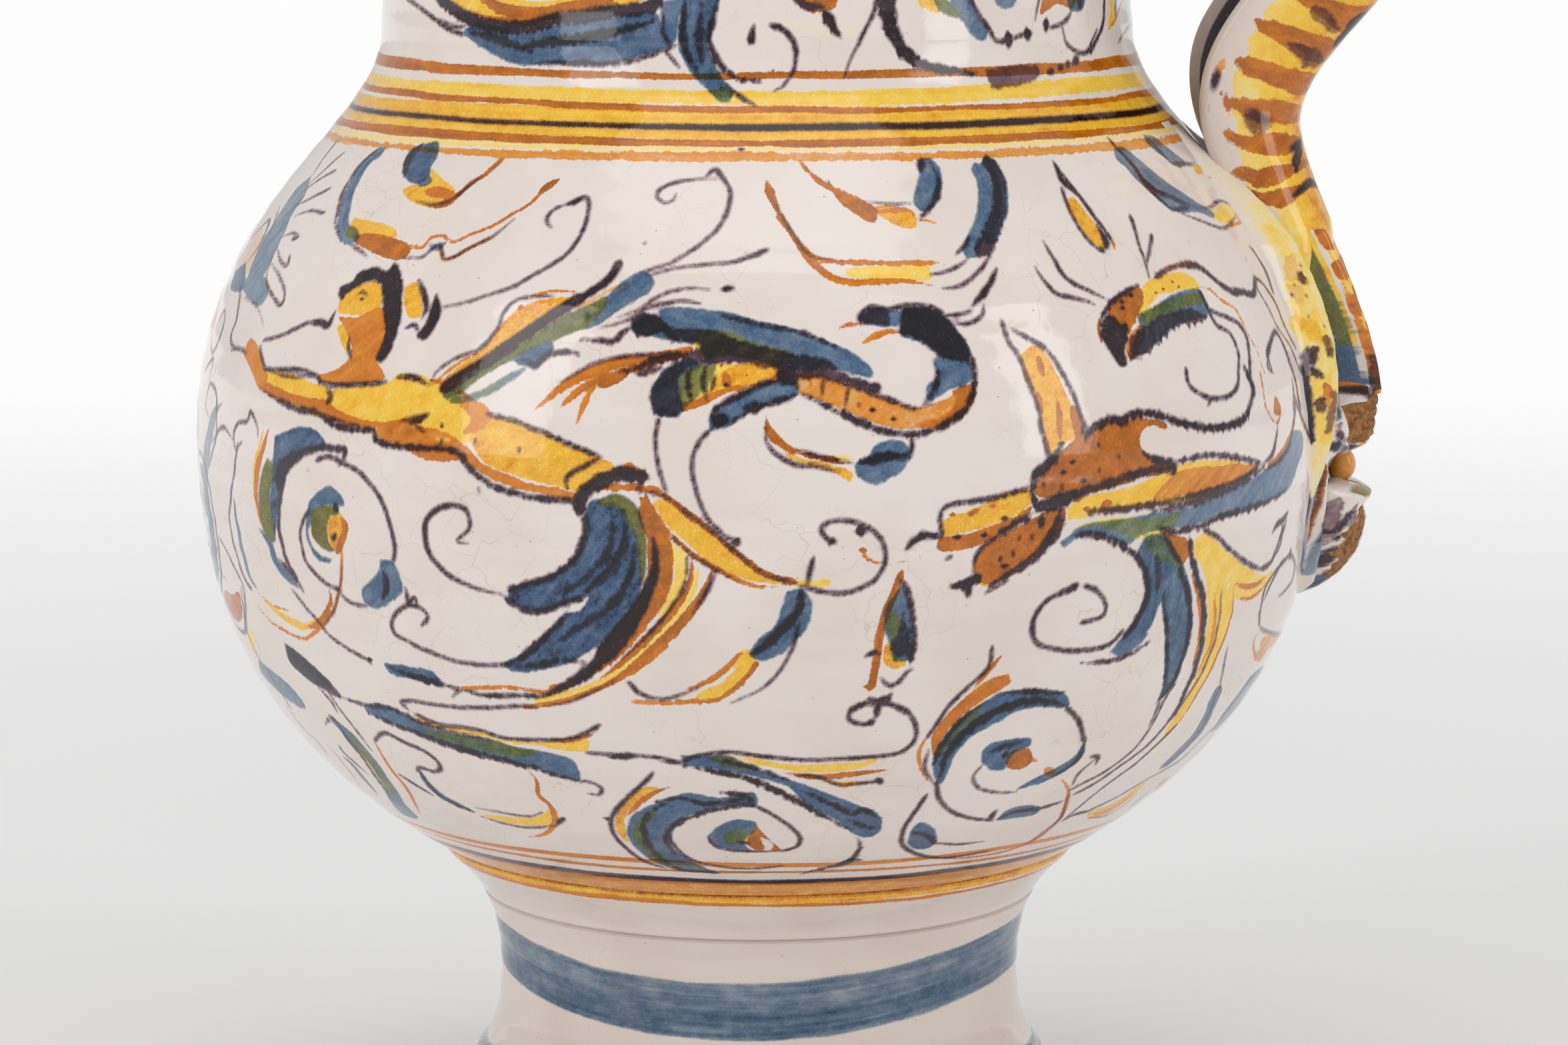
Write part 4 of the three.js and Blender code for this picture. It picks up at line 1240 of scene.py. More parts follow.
    tree.links.new(base, shader.inputs["Base Color"])
    tree.links.new(ramp(tree, broken, 0.0, 1.0, 0.09, 0.85), shader.inputs["Roughness"])
    shader.inputs["IOR"].default_value = 1.5
    peel = noise(tree, patternSize["peel"], 2.0, 0.5, place)
    heights = maths(tree, "ADD", maths(tree, "MULTIPLY", peel, 0.00016), maths(tree, "MULTIPLY", speck, -0.00006))
    heights = maths(tree, "ADD", heights, maths(tree, "MULTIPLY", broken, maths(tree, "MULTIPLY", dirt, 0.0012)))
    relief = addNode(tree, "ShaderNodeBump", None, Height=heights, Strength=0.35, Distance=1.0)
    tree.links.new(relief.outputs[0], shader.inputs["Normal"])
    return material


# The winged half-figure on the left, with the scrolls over its head
def paintWingedFigure():
    s = Sheet("upperLeft")
    # Feather at the left edge
    s.fill("400,205 385,260 340,330 300,420 262,500 215,585 190,570 205,500 240,420 290,340 345,255", "blue", 0.42,
           streaks=0.5, angleOfStreaks=1.0)
    s.fill("180,545 215,530 255,540 262,585 235,628 200,610 178,575", "blue", 0.4)
    s.fill("242,362 205,420 178,480 182,535 212,490 240,430", "orange", 0.2)
    for ray in ("395,215 440,150 485,90", "385,240 450,180 512,126", "368,262 430,215 482,186",
                "345,305 405,275 465,246",
                "350,335 400,318 445,326", "312,402 340,392 358,405 338,412", "292,440 300,480 322,500 332,465"):
        s.line(ray, 0.5, tone=(0.5, 0.8), shape="swell")
    s.line("275,470 258,520 262,570 300,628 316,585 298,530 272,492", 0.5, tone=(0.6, 0.4))
    s.line("165,545 168,600 158,670 140,725 150,765 185,770", 0.55, tone=(0.4, 0.6))
    s.line("175,600 215,620 235,650 248,700", 0.35, tone=(0.35, 0.3))
    s.line("300,300 270,380 225,460", 0.5, tone=(0.4, 0.3))
    # C-scroll, blue above and ochre below
    s.line("640,118 590,155 548,215 520,290 508,360 520,412", 2.3, "blue", "plain", (0.62, 0.5), streaks=0.35)
    s.line("618,118 562,170 517,240 493,310 487,370 502,412", 0.8, tone=(0.5, 0.45), streaks=0.6, rough=0.3)
    s.fill("545,338 600,352 660,366 690,395 650,412 570,410 520,402", "yellow", 0.75)
    s.fill("545,400 600,392 660,402 722,428 728,458 690,480 635,468 590,446 550,425", "orange", 0.85)
    s.fill("500,378 545,370 562,410 512,425", "blue", 0.45)
    s.line("722,432 770,438 798,408 838,400 872,420 925,398 1000,368 1060,332 1120,298 1168,252 1222,214", 0.55,
           "orange", "plain", (0.6, 0.9))
    s.line("1150,262 1180,240 1220,214", 1.3, "orange", "both", (0.9, 0.9))
    s.line("700,472 768,470 798,446 828,430 840,474 872,470 925,440 1000,403 1072,345", 0.5, tone=(0.5, 0.55))
    s.line("828,430 840,474 872,470 925,440 1000,403", 0.6, "orange", "plain", (0.4, 0.4))
    s.line("790,428 820,440 850,420", 0.9, "blue", tone=(0.4, 0.4))
    s.line("525,425 560,445 592,470", 0.5, tone=(0.3, 0.45))
    # Second scroll
    s.fill("772,100 822,95 818,140 795,185 800,225 762,236 718,215 706,170 730,120", "blue", 0.68, streaks=0.4)
    s.line("768,102 726,145 712,205", 1.4, tone=(0.35, 0.4), streaks=0.7, rough=0.3)
    s.fill("735,236 788,230 800,182 835,212 878,250 886,275 868,297 822,312 760,300 715,272 705,250", "yellow", 0.8)
    s.fill("770,252 820,238 868,255 884,276 852,302 806,308 845,282 800,274", "orange", 0.75)
    s.line("806,306 862,288 930,228 970,205 1010,170 1036,147", 0.95, "orange", "plain", (0.9, 0.9))
    s.line("745,283 800,298 862,284 925,236 968,205", 0.6, tone=(0.35, 0.55))
    # Spiral
    s.line("1192,374 1178,348 1200,315 1240,298", 0.5, tone=(0.5, 0.7))
    s.line("1240,300 1270,288 1306,268", 0.9, tone=(0.8, 0.8))
    s.line("1306,268 1316,305 1300,372 1268,432 1210,485 1132,530 1060,570 990,592 920,616 832,635", 0.5,
           tone=(0.7, 0.25), shape="plain")
    # Hair, head and neck
    s.fill("490,652 508,592 560,562 622,548 642,600 622,642 560,660", "yellow", 0.8)
    s.fill("492,664 560,664 640,632 656,700 640,760 622,800 645,850 640,872 560,884 450,882 425,858 498,832 536,790 "
           "530,740 512,700", "orange", 0.62, streaks=0.4)
    s.fill("490,690 515,698 532,742 522,784 500,735", "yellow", 0.8)
    s.fill("498,568 540,548 560,522 610,506 652,516 682,490 702,540 704,620 692,700 672,760 642,812 620,800 640,750 "
           "650,700 641,640 638,580 618,545 568,560 522,592 505,606", "manganese", 0.95, rough=0.3)
    s.line("505,575 500,598", 0.9, tone=(0.95, 0.95))
    s.line("560,590 575,583 592,596", 0.4, tone=(0.7, 0.7))
    s.dots("572,608", 1.0)
    s.line("530,735 528,770 538,805", 0.6, tone=(0.8, 0.8))
    s.fill("712,568 748,552 770,590 768,660 725,666 710,620", "yellow", 0.85)
    s.line("758,545 775,585 784,632 770,668", 1.0, tone=(0.75, 0.9))
    s.fill("818,588 832,640 812,700 780,738 754,722 780,690 796,640", "manganese", 0.95)
    s.line("716,702 745,692 762,716", 0.5, tone=(0.6, 0.8))
    # Arm on the left, and the hand
    s.line("245,742 300,728 350,706 400,682", 0.5, tone=(0.45, 0.6), shape="plain")
    s.line("395,684 440,684 462,692 484,645", 1.1, tone=(0.75, 0.85))
    s.line("140,775 165,768 195,786", 0.5, tone=(0.7, 0.6))
    s.fill("184,790 198,742 218,742 240,790 246,830 262,862 240,905 214,860", "orange", 0.55)
    s.fill("240,850 300,840 360,860 420,885 475,905 470,962 430,990 360,962 290,932 245,902", "yellow", 0.68)
    s.fill("236,872 290,892 350,918 420,932 470,942 465,985 400,970 320,942 260,918", "orange", 0.75)
    s.line("236,762 246,812 262,838 360,838 420,858 442,882 520,888 600,884 652,877", 0.65, tone=(0.7, 0.85),
           shape="plain")
    s.line("238,900 300,940 362,966 440,986 500,1006 560,1018", 0.6, tone=(0.7, 0.8))
    s.line("262,840 330,860 410,862", 0.5, tone=(0.5, 0.5))
    # Torso
    s.fill("478,902 560,890 640,884 700,862 760,880 800,920 812,950 782,982 700,1002 600,1012 500,988 470,950",
           "yellow", 0.66, streaks=0.35)
    s.fill("440,930 482,962 560,998 640,1008 720,998 785,988 742,1018 600,1030 500,1014 430,984", "orange", 0.72)
    s.line("690,862 740,862 790,888", 0.9, tone=(0.7, 0.8))
    s.line("455,905 470,925 455,950", 1.0, tone=(0.4, 0.5))
    s.line("700,1004 760,996 792,980", 0.9, "manganese", tone=(0.3, 0.7))
    # Wing
    s.fill("818,885 900,820 970,762 1020,702 1080,642 1150,612 1230,600 1262,604 1200,650 1100,730 1000,800 900,852 "
           "850,892", "yellow", 0.88)
    s.line("798,882 820,842 880,800 960,768 1018,702 1036,652 1090,606 1200,596", 0.5, tone=(0.55, 0.6))
    s.line("1090,610 1180,584 1285,584", 0.6, "orange", tone=(0.6, 0.7))
    s.line("800,890 850,846 900,810 960,780", 0.6, "orange", tone=(0.5, 0.6))
    s.line("1085,640 1100,630", 0.9, "orange", tone=(0.8, 0.8))
    shape = "1122,738 1200,680 1300,632 1380,600 1332,682 1250,722 1150,762 1050,812 950,872 870,932 838,915 950,842"
    s.fill(shape, "yellow", 0.62)
    s.fill(shape, "blue", 0.55, streaks=0.3)
    s.fill("1300,652 1380,592 1440,540 1492,515 1527,545 1512,582 1450,622 1400,652 1340,692 1300,702", "blue", 0.62,
           streaks=0.35)
    s.line("1500,540 1400,570 1290,632 1180,700", 0.6, "orange", tone=(0.35, 0.3))
    s.line("1418,482 1382,540 1312,590 1245,630", 1.2, tone=(0.95, 0.9), shape="plain")
    s.line("1300,596 1240,632 1150,692 1050,762 960,822 880,872 832,905", 1.8, tone=(0.8, 0.75), shape="plain",
           streaks=0.4)
    s.line("1240,632 1150,692 1050,762 960,822 880,872 832,905", 1.6, "orange", "plain", (0.6, 0.6))
    s.fill("1112,762 1182,742 1200,770 1150,822 1092,822 1068,792", "blue", 0.68)
    s.line("1075,800 1110,812 1142,826 1182,792 1230,778 1280,786", 0.9, tone=(0.7, 0.75), rough=0.35)
    s.fill("848,932 950,910 1060,850 1108,832 1080,862 1000,912 920,942 870,950", "blue", 0.45)
    s.fill("848,932 950,910 1060,850 1000,912 920,942 870,950", "yellow", 0.3)
    s.line("1568,500 1520,510 1480,522", 0.5, tone=(0.4, 0.5))
    s.line("1580,615 1540,632 1510,632 1460,668 1400,690 1350,700", 0.45, tone=(0.5, 0.35))
    s.line("1290,738 1350,742 1400,742 1430,712 1470,690", 0.8, tone=(0.5, 0.75), rough=0.3)


paintWingedFigure()


# The long-necked bird in the middle, under its C-scrolls
def paintBird():
    s = Sheet("upperMiddle")
    # Spiral and feather lines over the bird
    s.line("250,262 238,285 212,291 188,272 200,246 250,225 320,215 378,214", 0.55, tone=(0.9, 0.55))
    s.line("345,208 376,184 398,205 415,232", 0.8, tone=(0.7, 0.9))
    s.line("378,182 412,225 426,262 416,320 390,370 345,415 290,455 230,490 180,505 150,522", 0.5, tone=(0.7, 0.35),
           shape="plain")
    s.line("165,527 250,506 340,494 420,488 475,474 548,444", 0.5, tone=(0.4, 0.7), shape="plain")
    s.line("485,472 520,458 550,443", 0.8, tone=(0.75, 0.75))
    s.line("60,665 130,640 180,605 240,580 300,572 358,576", 0.45, tone=(0.4, 0.7))
    s.line("398,575 438,572", 1.0, tone=(0.85, 0.85))
    s.line("100,672 150,636 220,620 270,612 328,622", 0.55, tone=(0.5, 0.9))
    s.line("0,742 40,746 70,722 112,700", 0.6, tone=(0.5, 0.6), rough=0.3)
    # Back and upper wing
    s.fill("190,640 240,632 330,640 420,650 520,680 620,700 700,730 780,760 850,800 886,835 882,862 800,842 740,830 "
           "650,792 560,762 470,734 400,722 330,742 250,742 205,700", "blue", 0.62, streaks=0.35, angleOfStreaks=-0.35)
    s.fill("104,682 128,655 170,655 196,668 235,702 262,742 232,742 200,715 172,728 130,726 104,706", "manganese", 0.72,
           rough=0.3, drip=0.5)
    s.fill("110,680 170,660 240,700 262,742 172,728 110,706", "blue", 0.6)
    s.fill("232,702 330,704 400,716 450,742 560,766 640,786 730,802 800,850 880,880 906,900 890,916 820,900 740,872 "
           "640,862 560,832 440,812 340,822 262,816 330,762 280,746", "manganese", 0.55, rough=0.3, streaks=0.5,
           drip=0.5)
    s.fill("318,712 420,712 500,745 640,790 560,800 440,792 350,802 308,762", "yellow", 0.5)
    s.fill("318,712 420,712 560,760 640,790 740,830 640,840 440,792 350,802", "blue", 0.5)
    s.line("400,660 520,690 640,712 702,732 790,775", 0.6, tone=(0.55, 0.5), rough=0.3)
    # Breast and lower wing, striped
    s.fill("168,902 200,850 240,820 300,802 340,850 300,900 262,982 222,992 186,982 165,940", "blue", 0.62, rough=0.3)
    s.fill("168,902 200,850 240,820 290,812 250,880 262,982 222,992 186,982 165,940", "manganese", 0.5, rough=0.4,
           streaks=0.6)
    s.fill("262,850 330,822 440,822 430,890 340,942 262,962", "yellow", 0.5)
    s.fill("262,850 330,822 380,822 350,890 300,942 262,962", "blue", 0.4)
    s.fill("398,832 460,815 530,804 588,808 602,850 540,872 470,892 400,902 340,942 300,950 360,890", "yellow", 0.85)
    s.fill("330,930 400,900 480,886 560,866 602,830 596,870 520,892 420,914 330,958 268,974 264,945", "orange", 0.75)
    for stripe in ("302,828 288,870 298,942", "346,824 338,880 350,942", "256,850 246,900 262,962", "378,850 366,900"):
        s.line(stripe, 0.7, tone=(0.5, 0.6), rough=0.25)
    s.line("410,845 418,895", 1.2, "orange", tone=(0.8, 0.8))
    s.dots("480,856 545,832", 1.0, "orange", 0.85)
    s.dots("412,890", 0.9)
    s.fill("578,835 620,824 652,850 640,886 600,886 572,860", "manganese", 0.98)
    # Tail feathers on the left
    s.line("0,832 60,820 150,795 240,780 305,768", 0.8, "orange", "plain", (0.8, 0.7))
    s.fill("0,850 60,845 96,850 60,882 0,896", "orange", 0.88)
    s.line("60,842 120,832 200,802 280,790 335,770", 1.5, tone=(0.5, 0.7), rough=0.4, streaks=0.6, drip=0.5)
    s.line("60,842 120,832 200,802 280,790", 1.4, "orange", tone=(0.5, 0.5))
    s.line("118,840 125,852 150,845 200,832", 0.7, tone=(0.6, 0.5), rough=0.35)
    # Lower blue wing
    s.fill("358,1002 380,970 440,930 520,890 600,870 652,890 622,930 540,952 470,982 424,1022 362,1032", "blue", 0.6,
           streaks=0.4)
    s.line("356,1010 380,965 450,925 530,886 602,872", 0.9, tone=(0.8, 0.75), rough=0.3)
    s.line("645,918 560,950 480,976 430,1012", 0.8, tone=(0.8, 0.75), rough=0.35)
    s.fill("362,990 400,978 424,1008 372,1026", "manganese", 0.8)
    s.line("470,965 500,955 530,945", 0.9, tone=(0.5, 0.6), rough=0.4)
    # Neck
    s.fill("640,850 700,845 760,870 820,890 900,920 960,945 1030,960 1090,950 1150,920 1190,890 1226,900 1212,950 "
           "1160,992 1100,1022 1000,1032 900,1012 800,972 740,946 680,922 640,902", "orange", 0.42, streaks=0.35)
    s.fill("700,862 760,880 880,920 960,955 900,960 800,930 720,900", "yellow", 0.35)
    s.fill("1150,905 1200,885 1228,905 1216,950 1160,1002 1080,1030 1000,1012 1100,990 1150,950", "orange", 0.85)
    for stripe in ("692,850 684,915", "732,860 720,935", "772,875 758,958", "815,890 800,965"):
        s.line(stripe, 0.8, "orange", tone=(0.85, 0.85))
    s.line("730,870 724,925", 0.35, tone=(0.5, 0.5))
    s.line("812,892 800,960", 0.4, tone=(0.6, 0.6))
    s.dots("846,955 890,970 956,1000", 0.9)
    s.line("640,852 720,850 800,872 880,908 960,942 1030,962 1090,946", 0.6, tone=(0.6, 0.6), rough=0.3)
    s.line("640,905 720,946 800,986 900,1018", 0.7, tone=(0.7, 0.8), rough=0.3)
    s.line("870,905 905,895 912,890", 1.6, tone=(0.9, 0.9))
    s.fill("1090,802 1150,782 1200,800 1216,860 1190,890 1150,900 1110,922 1072,942 1068,892 1100,860", "blue", 0.6,
           streaks=0.4)
    s.fill("988,640 1060,634 1130,670 1180,730 1212,790 1190,812 1150,802 1100,792 1060,752 1020,732 984,722 980,682",
           "manganese", 0.8, rough=0.3, drip=0.5)
    s.fill("988,640 1060,634 1130,670 1180,730 1212,790 1150,802 1060,752 984,722", "blue", 0.6)
    s.line("1212,790 1223,860 1216,925 1180,985 1148,1012", 0.8, tone=(0.85, 0.8), shape="plain", rough=0.3)
    s.line("1060,952 1090,905 1102,850 1088,805", 0.8, tone=(0.85, 0.7), rough=0.3)
    s.fill("850,668 880,636 930,640 990,650 985,690 930,696 890,690 860,688", "blue", 0.55)
    s.fill("850,668 880,636 930,640 942,690 890,690 860,688", "manganese", 0.5)
    s.line("852,690 850,660 885,632 940,640 1000,628 1070,630 1122,656", 0.65, tone=(0.85, 0.85), shape="plain")
    s.line("772,706 812,690 852,690", 0.7, "orange", tone=(0.85, 0.7))
    s.line("852,754 900,726 950,712 992,716", 0.9, "orange", tone=(0.5, 0.8))
    s.line("1120,662 1180,656 1216,642", 0.45, tone=(0.5, 0.7))
    s.line("1150,682 1200,688 1246,662 1252,624", 0.6, tone=(0.6, 0.9))
    s.line("1214,628 1250,590 1276,552 1294,506", 0.95, tone=(0.8, 0.9))
    # C-scroll in ochre with a blue tail
    s.line("546,224 560,270 590,340 640,410 690,465 760,485 860,487 960,490 1106,488", 0.85, "orange", "plain",
           (0.95, 0.6), rough=0.25)
    s.line("544,222 556,262 570,300", 1.4, "orange", tone=(0.95, 0.9))
    s.line("560,280 600,350 650,430 700,492 762,538 830,552 900,550 1000,548 1080,562 1106,576", 1.15, "orange", "both",
           (0.9, 0.6))
    s.line("562,280 602,350 650,425 700,470 790,482", 0.45, tone=(0.4, 0.4))
    s.fill("800,510 860,500 960,498 1060,490 1078,520 1070,546 960,546 860,540 812,530", "yellow", 0.5)
    s.line("1080,526 1130,516 1180,492 1202,474", 0.45, tone=(0.6, 0.5))
    s.line("1118,573 1180,562 1240,512 1284,446", 0.55, tone=(0.4, 0.8))
    s.line("1228,168 1252,220 1260,280 1250,350 1225,410 1202,466", 2.3, "blue", "plain", (0.62, 0.6), streaks=0.4)
    s.line("1262,146 1296,210 1306,280 1292,350 1262,420 1236,462", 2.2, tone=(0.55, 0.6), shape="plain", streaks=0.6,
           rough=0.4)
    s.line("1262,150 1296,210 1306,280 1292,350 1262,420", 2.4, "blue", "plain", (0.6, 0.6))
    s.line("1256,140 1275,170", 1.2, tone=(0.95, 0.9))
    s.line("1160,462 1190,432 1204,400", 0.5, tone=(0.6, 0.6))
    # Small scroll between
    s.line("648,152 690,200 740,238 800,262 862,284", 0.9, "orange", "both", (0.9, 0.8), rough=0.3)
    s.fill("732,206 790,260 870,290 902,312 902,352 870,352 810,312 770,276", "orange", 0.88)
    s.line("862,286 940,296 1012,294", 0.5, tone=(0.4, 0.6))
    s.fill("880,310 940,300 1020,320 1032,370 990,374 930,346", "yellow", 0.88)
    s.line("900,322 1000,316 1034,346", 0.9, "orange", tone=(0.8, 0.7))
    s.line("1040,345 1098,358", 0.45, "orange", tone=(0.5, 0.4))
    s.fill("1040,150 1080,150 1110,186 1112,250 1090,300 1050,320 1024,290 1035,230 1042,190", "blue", 0.62,
           streaks=0.4)
    s.line("1050,148 1044,190", 1.2, tone=(0.95, 0.8))
    s.line("1082,165 1104,220 1095,280 1064,320 1044,348", 0.9, tone=(0.6, 0.8), rough=0.3, streaks=0.5)


paintBird()


# Feather, half wings and the spotted curl at the upper right
def paintUpperRight():
    s = Sheet("upperRight")
    s.line("470,188 486,218 505,262 545,300 582,338", 1.0, tone=(0.98, 0.8), shape="both")
    s.line("494,225 540,282 600,362 652,432 700,500", 0.65, tone=(0.8, 0.75), shape="plain")
    s.line("500,236 545,290 600,360", 0.5, "orange", tone=(0.7, 0.6))
    s.line("504,288 522,350 560,430 602,490 662,546", 0.5, tone=(0.75, 0.85), shape="plain")
    s.fill("520,338 552,332 602,392 660,466 673,512 652,532 602,482 560,420 530,372", "yellow", 0.88)
    s.fill("640,436 682,490 692,516 676,536 662,500", "manganese", 0.75)
    s.line("688,488 706,508 712,536", 0.6, "orange", tone=(0.8, 0.7))
    s.line("655,540 668,528", 1.0, tone=(0.9, 0.9))
    # Half wing
    s.fill("712,142 748,134 802,175 862,226 922,272 982,312 1042,352 1094,382 1096,408 1042,388 960,386 900,352 "
           "850,306 800,262 760,216 722,182", "blue", 0.5, streaks=0.4, angleOfStreaks=-0.7)
    s.line("688,98 716,130 746,160 792,212 842,292 902,346 942,376 1002,370", 0.65, tone=(0.8, 0.6), shape="plain")
    s.line("745,152 805,232 872,300 942,332 1052,376", 1.1, tone=(0.4, 0.4), streaks=0.7, rough=0.35)
    s.line("940,376 1000,402 1062,426 1130,450 1162,438 1190,402", 0.45, tone=(0.55, 0.5))
    s.line("1050,376 1092,366 1122,345 1152,350 1202,380 1232,420", 0.45, tone=(0.5, 0.5))
    s.fill("1100,382 1140,356 1182,374 1194,402 1170,430 1122,426 1100,402", "yellow", 0.42)
    s.line("1145,462 1170,442 1202,430 1236,432", 0.55, "orange", tone=(0.5, 0.6))
    s.fill("1180,384 1230,410 1252,450 1205,425", "orange", 0.4)
    s.fill("828,86 872,95 932,142 982,182 1004,202 960,192 910,172 870,142 840,112", "blue", 0.5, streaks=0.4)
    s.line("826,84 862,112 902,160 942,195 1002,200 1030,195", 0.8, tone=(0.7, 0.5), rough=0.3, streaks=0.5)
    s.fill("1018,202 1046,204 1064,232 1040,238", "yellow", 0.8)
    s.line("990,64 1032,122 1070,172 1092,226 1085,258", 0.9, "orange", tone=(0.55, 0.7))
    s.line("990,64 1032,122 1070,172 1092,226", 0.6, tone=(0.5, 0.35))
    s.line("1150,228 1202,302 1240,392 1256,456", 1.0, tone=(0.5, 0.5))
    s.line("1190,290 1240,392 1258,458", 0.9, "orange", tone=(0.4, 0.6))
    # Plume lines
    s.line("430,503 465,560 500,622 542,662 602,692 672,726", 0.65, tone=(0.85, 0.45))
    s.line("398,603 430,652 480,706 530,720 600,736 634,752", 0.65, tone=(0.8, 0.5))
    s.line("774,398 792,462 816,542 848,642", 0.7, tone=(0.9, 0.65), shape="fade")
    s.line("858,478 850,530 836,592 846,645", 0.65, tone=(0.75, 0.6), shape="fade")
    # Spotted curl
    s.fill("688,742 720,710 782,680 816,690 822,740 802,790 780,832 762,872 740,852 720,830 690,802", "orange", 0.88)
    s.fill("816,682 850,650 902,635 962,620 1012,640 1042,672 1030,692 980,692 930,702 880,716 832,772 802,792 816,740",
           "yellow", 0.62)
    s.fill("800,792 862,762 922,720 982,695 1042,690 1062,722 1080,782 1050,802 1000,792 950,802 900,822 870,842 "
           "832,852 810,832", "blue", 0.62, streaks=0.5, angleOfStreaks=1.2)
    s.fill("800,792 880,750 960,716 1042,702 1062,742 982,762 902,792 832,832", "yellow", 0.55)
    s.fill("828,832 900,792 960,772 1000,762 1042,782 1076,802 1040,822 960,832 900,872 860,922 800,962 770,972 "
           "790,922", "manganese", 0.5, streaks=0.7, rough=0.45, drip=0.9, angleOfStreaks=1.4)
    s.fill("800,852 900,802 960,792 1042,792 960,832 900,872 860,912 800,952 780,930", "blue", 0.45, rough=0.4)
    s.line("1040,692 1062,730 1080,772 1092,802", 0.7, tone=(0.7, 0.8))
    s.fill("655,822 682,792 712,802 742,842 762,882 750,932 757,988 726,988 700,942 670,902 655,872", "manganese", 0.97,
           rough=0.3)
    s.line("652,800 648,852 662,905", 0.7, "orange", tone=(0.8, 0.8))
    s.fill("760,882 802,832 832,852 802,932 770,962 755,932", "orange", 0.6)
    s.fill("775,882 812,842 826,862 796,925 765,945", "manganese", 0.5, streaks=0.6, rough=0.4)
    s.line("656,832 662,792 700,740 752,700 802,675", 0.9, tone=(0.75, 0.8), rough=0.3)
    s.dots("740,742 742,766 775,716", 1.1)
    s.line("752,825 745,860", 1.5, tone=(0.95, 0.95))
    s.dots("940,664 986,664 900,692 962,682 872,706 930,655", 0.9, "orange", 0.85)
    s.line("870,642 920,611 970,596 1022,590 1062,612 1102,652 1152,686 1202,696 1256,706 1262,668", 0.75,
           tone=(0.5, 0.7), shape="plain", rough=0.25)
    s.line("870,642 920,611 970,596 1022,590 1062,612", 0.8, "orange", tone=(0.4, 0.3))
    s.line("1030,682 1082,690 1130,732 1182,766 1222,832", 0.6, "orange", tone=(0.6, 0.5))
    s.line("1080,772 1142,796 1192,822 1226,872 1236,942 1242,1024", 0.7, tone=(0.75, 0.8), shape="plain", rough=0.2)
    s.line("1084,790 1112,832 1162,862 1190,922 1196,982 1192,1024", 0.6, tone=(0.75, 0.8), shape="plain", rough=0.2)
    s.line("1182,766 1222,842 1262,922 1292,1004 1300,1024", 0.4, "orange", "plain", (0.45, 0.6))
    # Thin lines beside the mask
    s.line("1238,520 1272,562 1302,622 1332,702", 0.6, tone=(0.7, 0.8))
    s.line("1256,660 1302,742 1352,842 1402,922 1442,1024", 0.4, tone=(0.6, 0.5), shape="plain")
    s.line("1334,1019 1310,990 1320,902 1342,858 1382,932 1412,1010", 0.6, tone=(0.7, 0.8))
    s.dots("1229,573 1251,973", 0.55)


paintUpperRight()


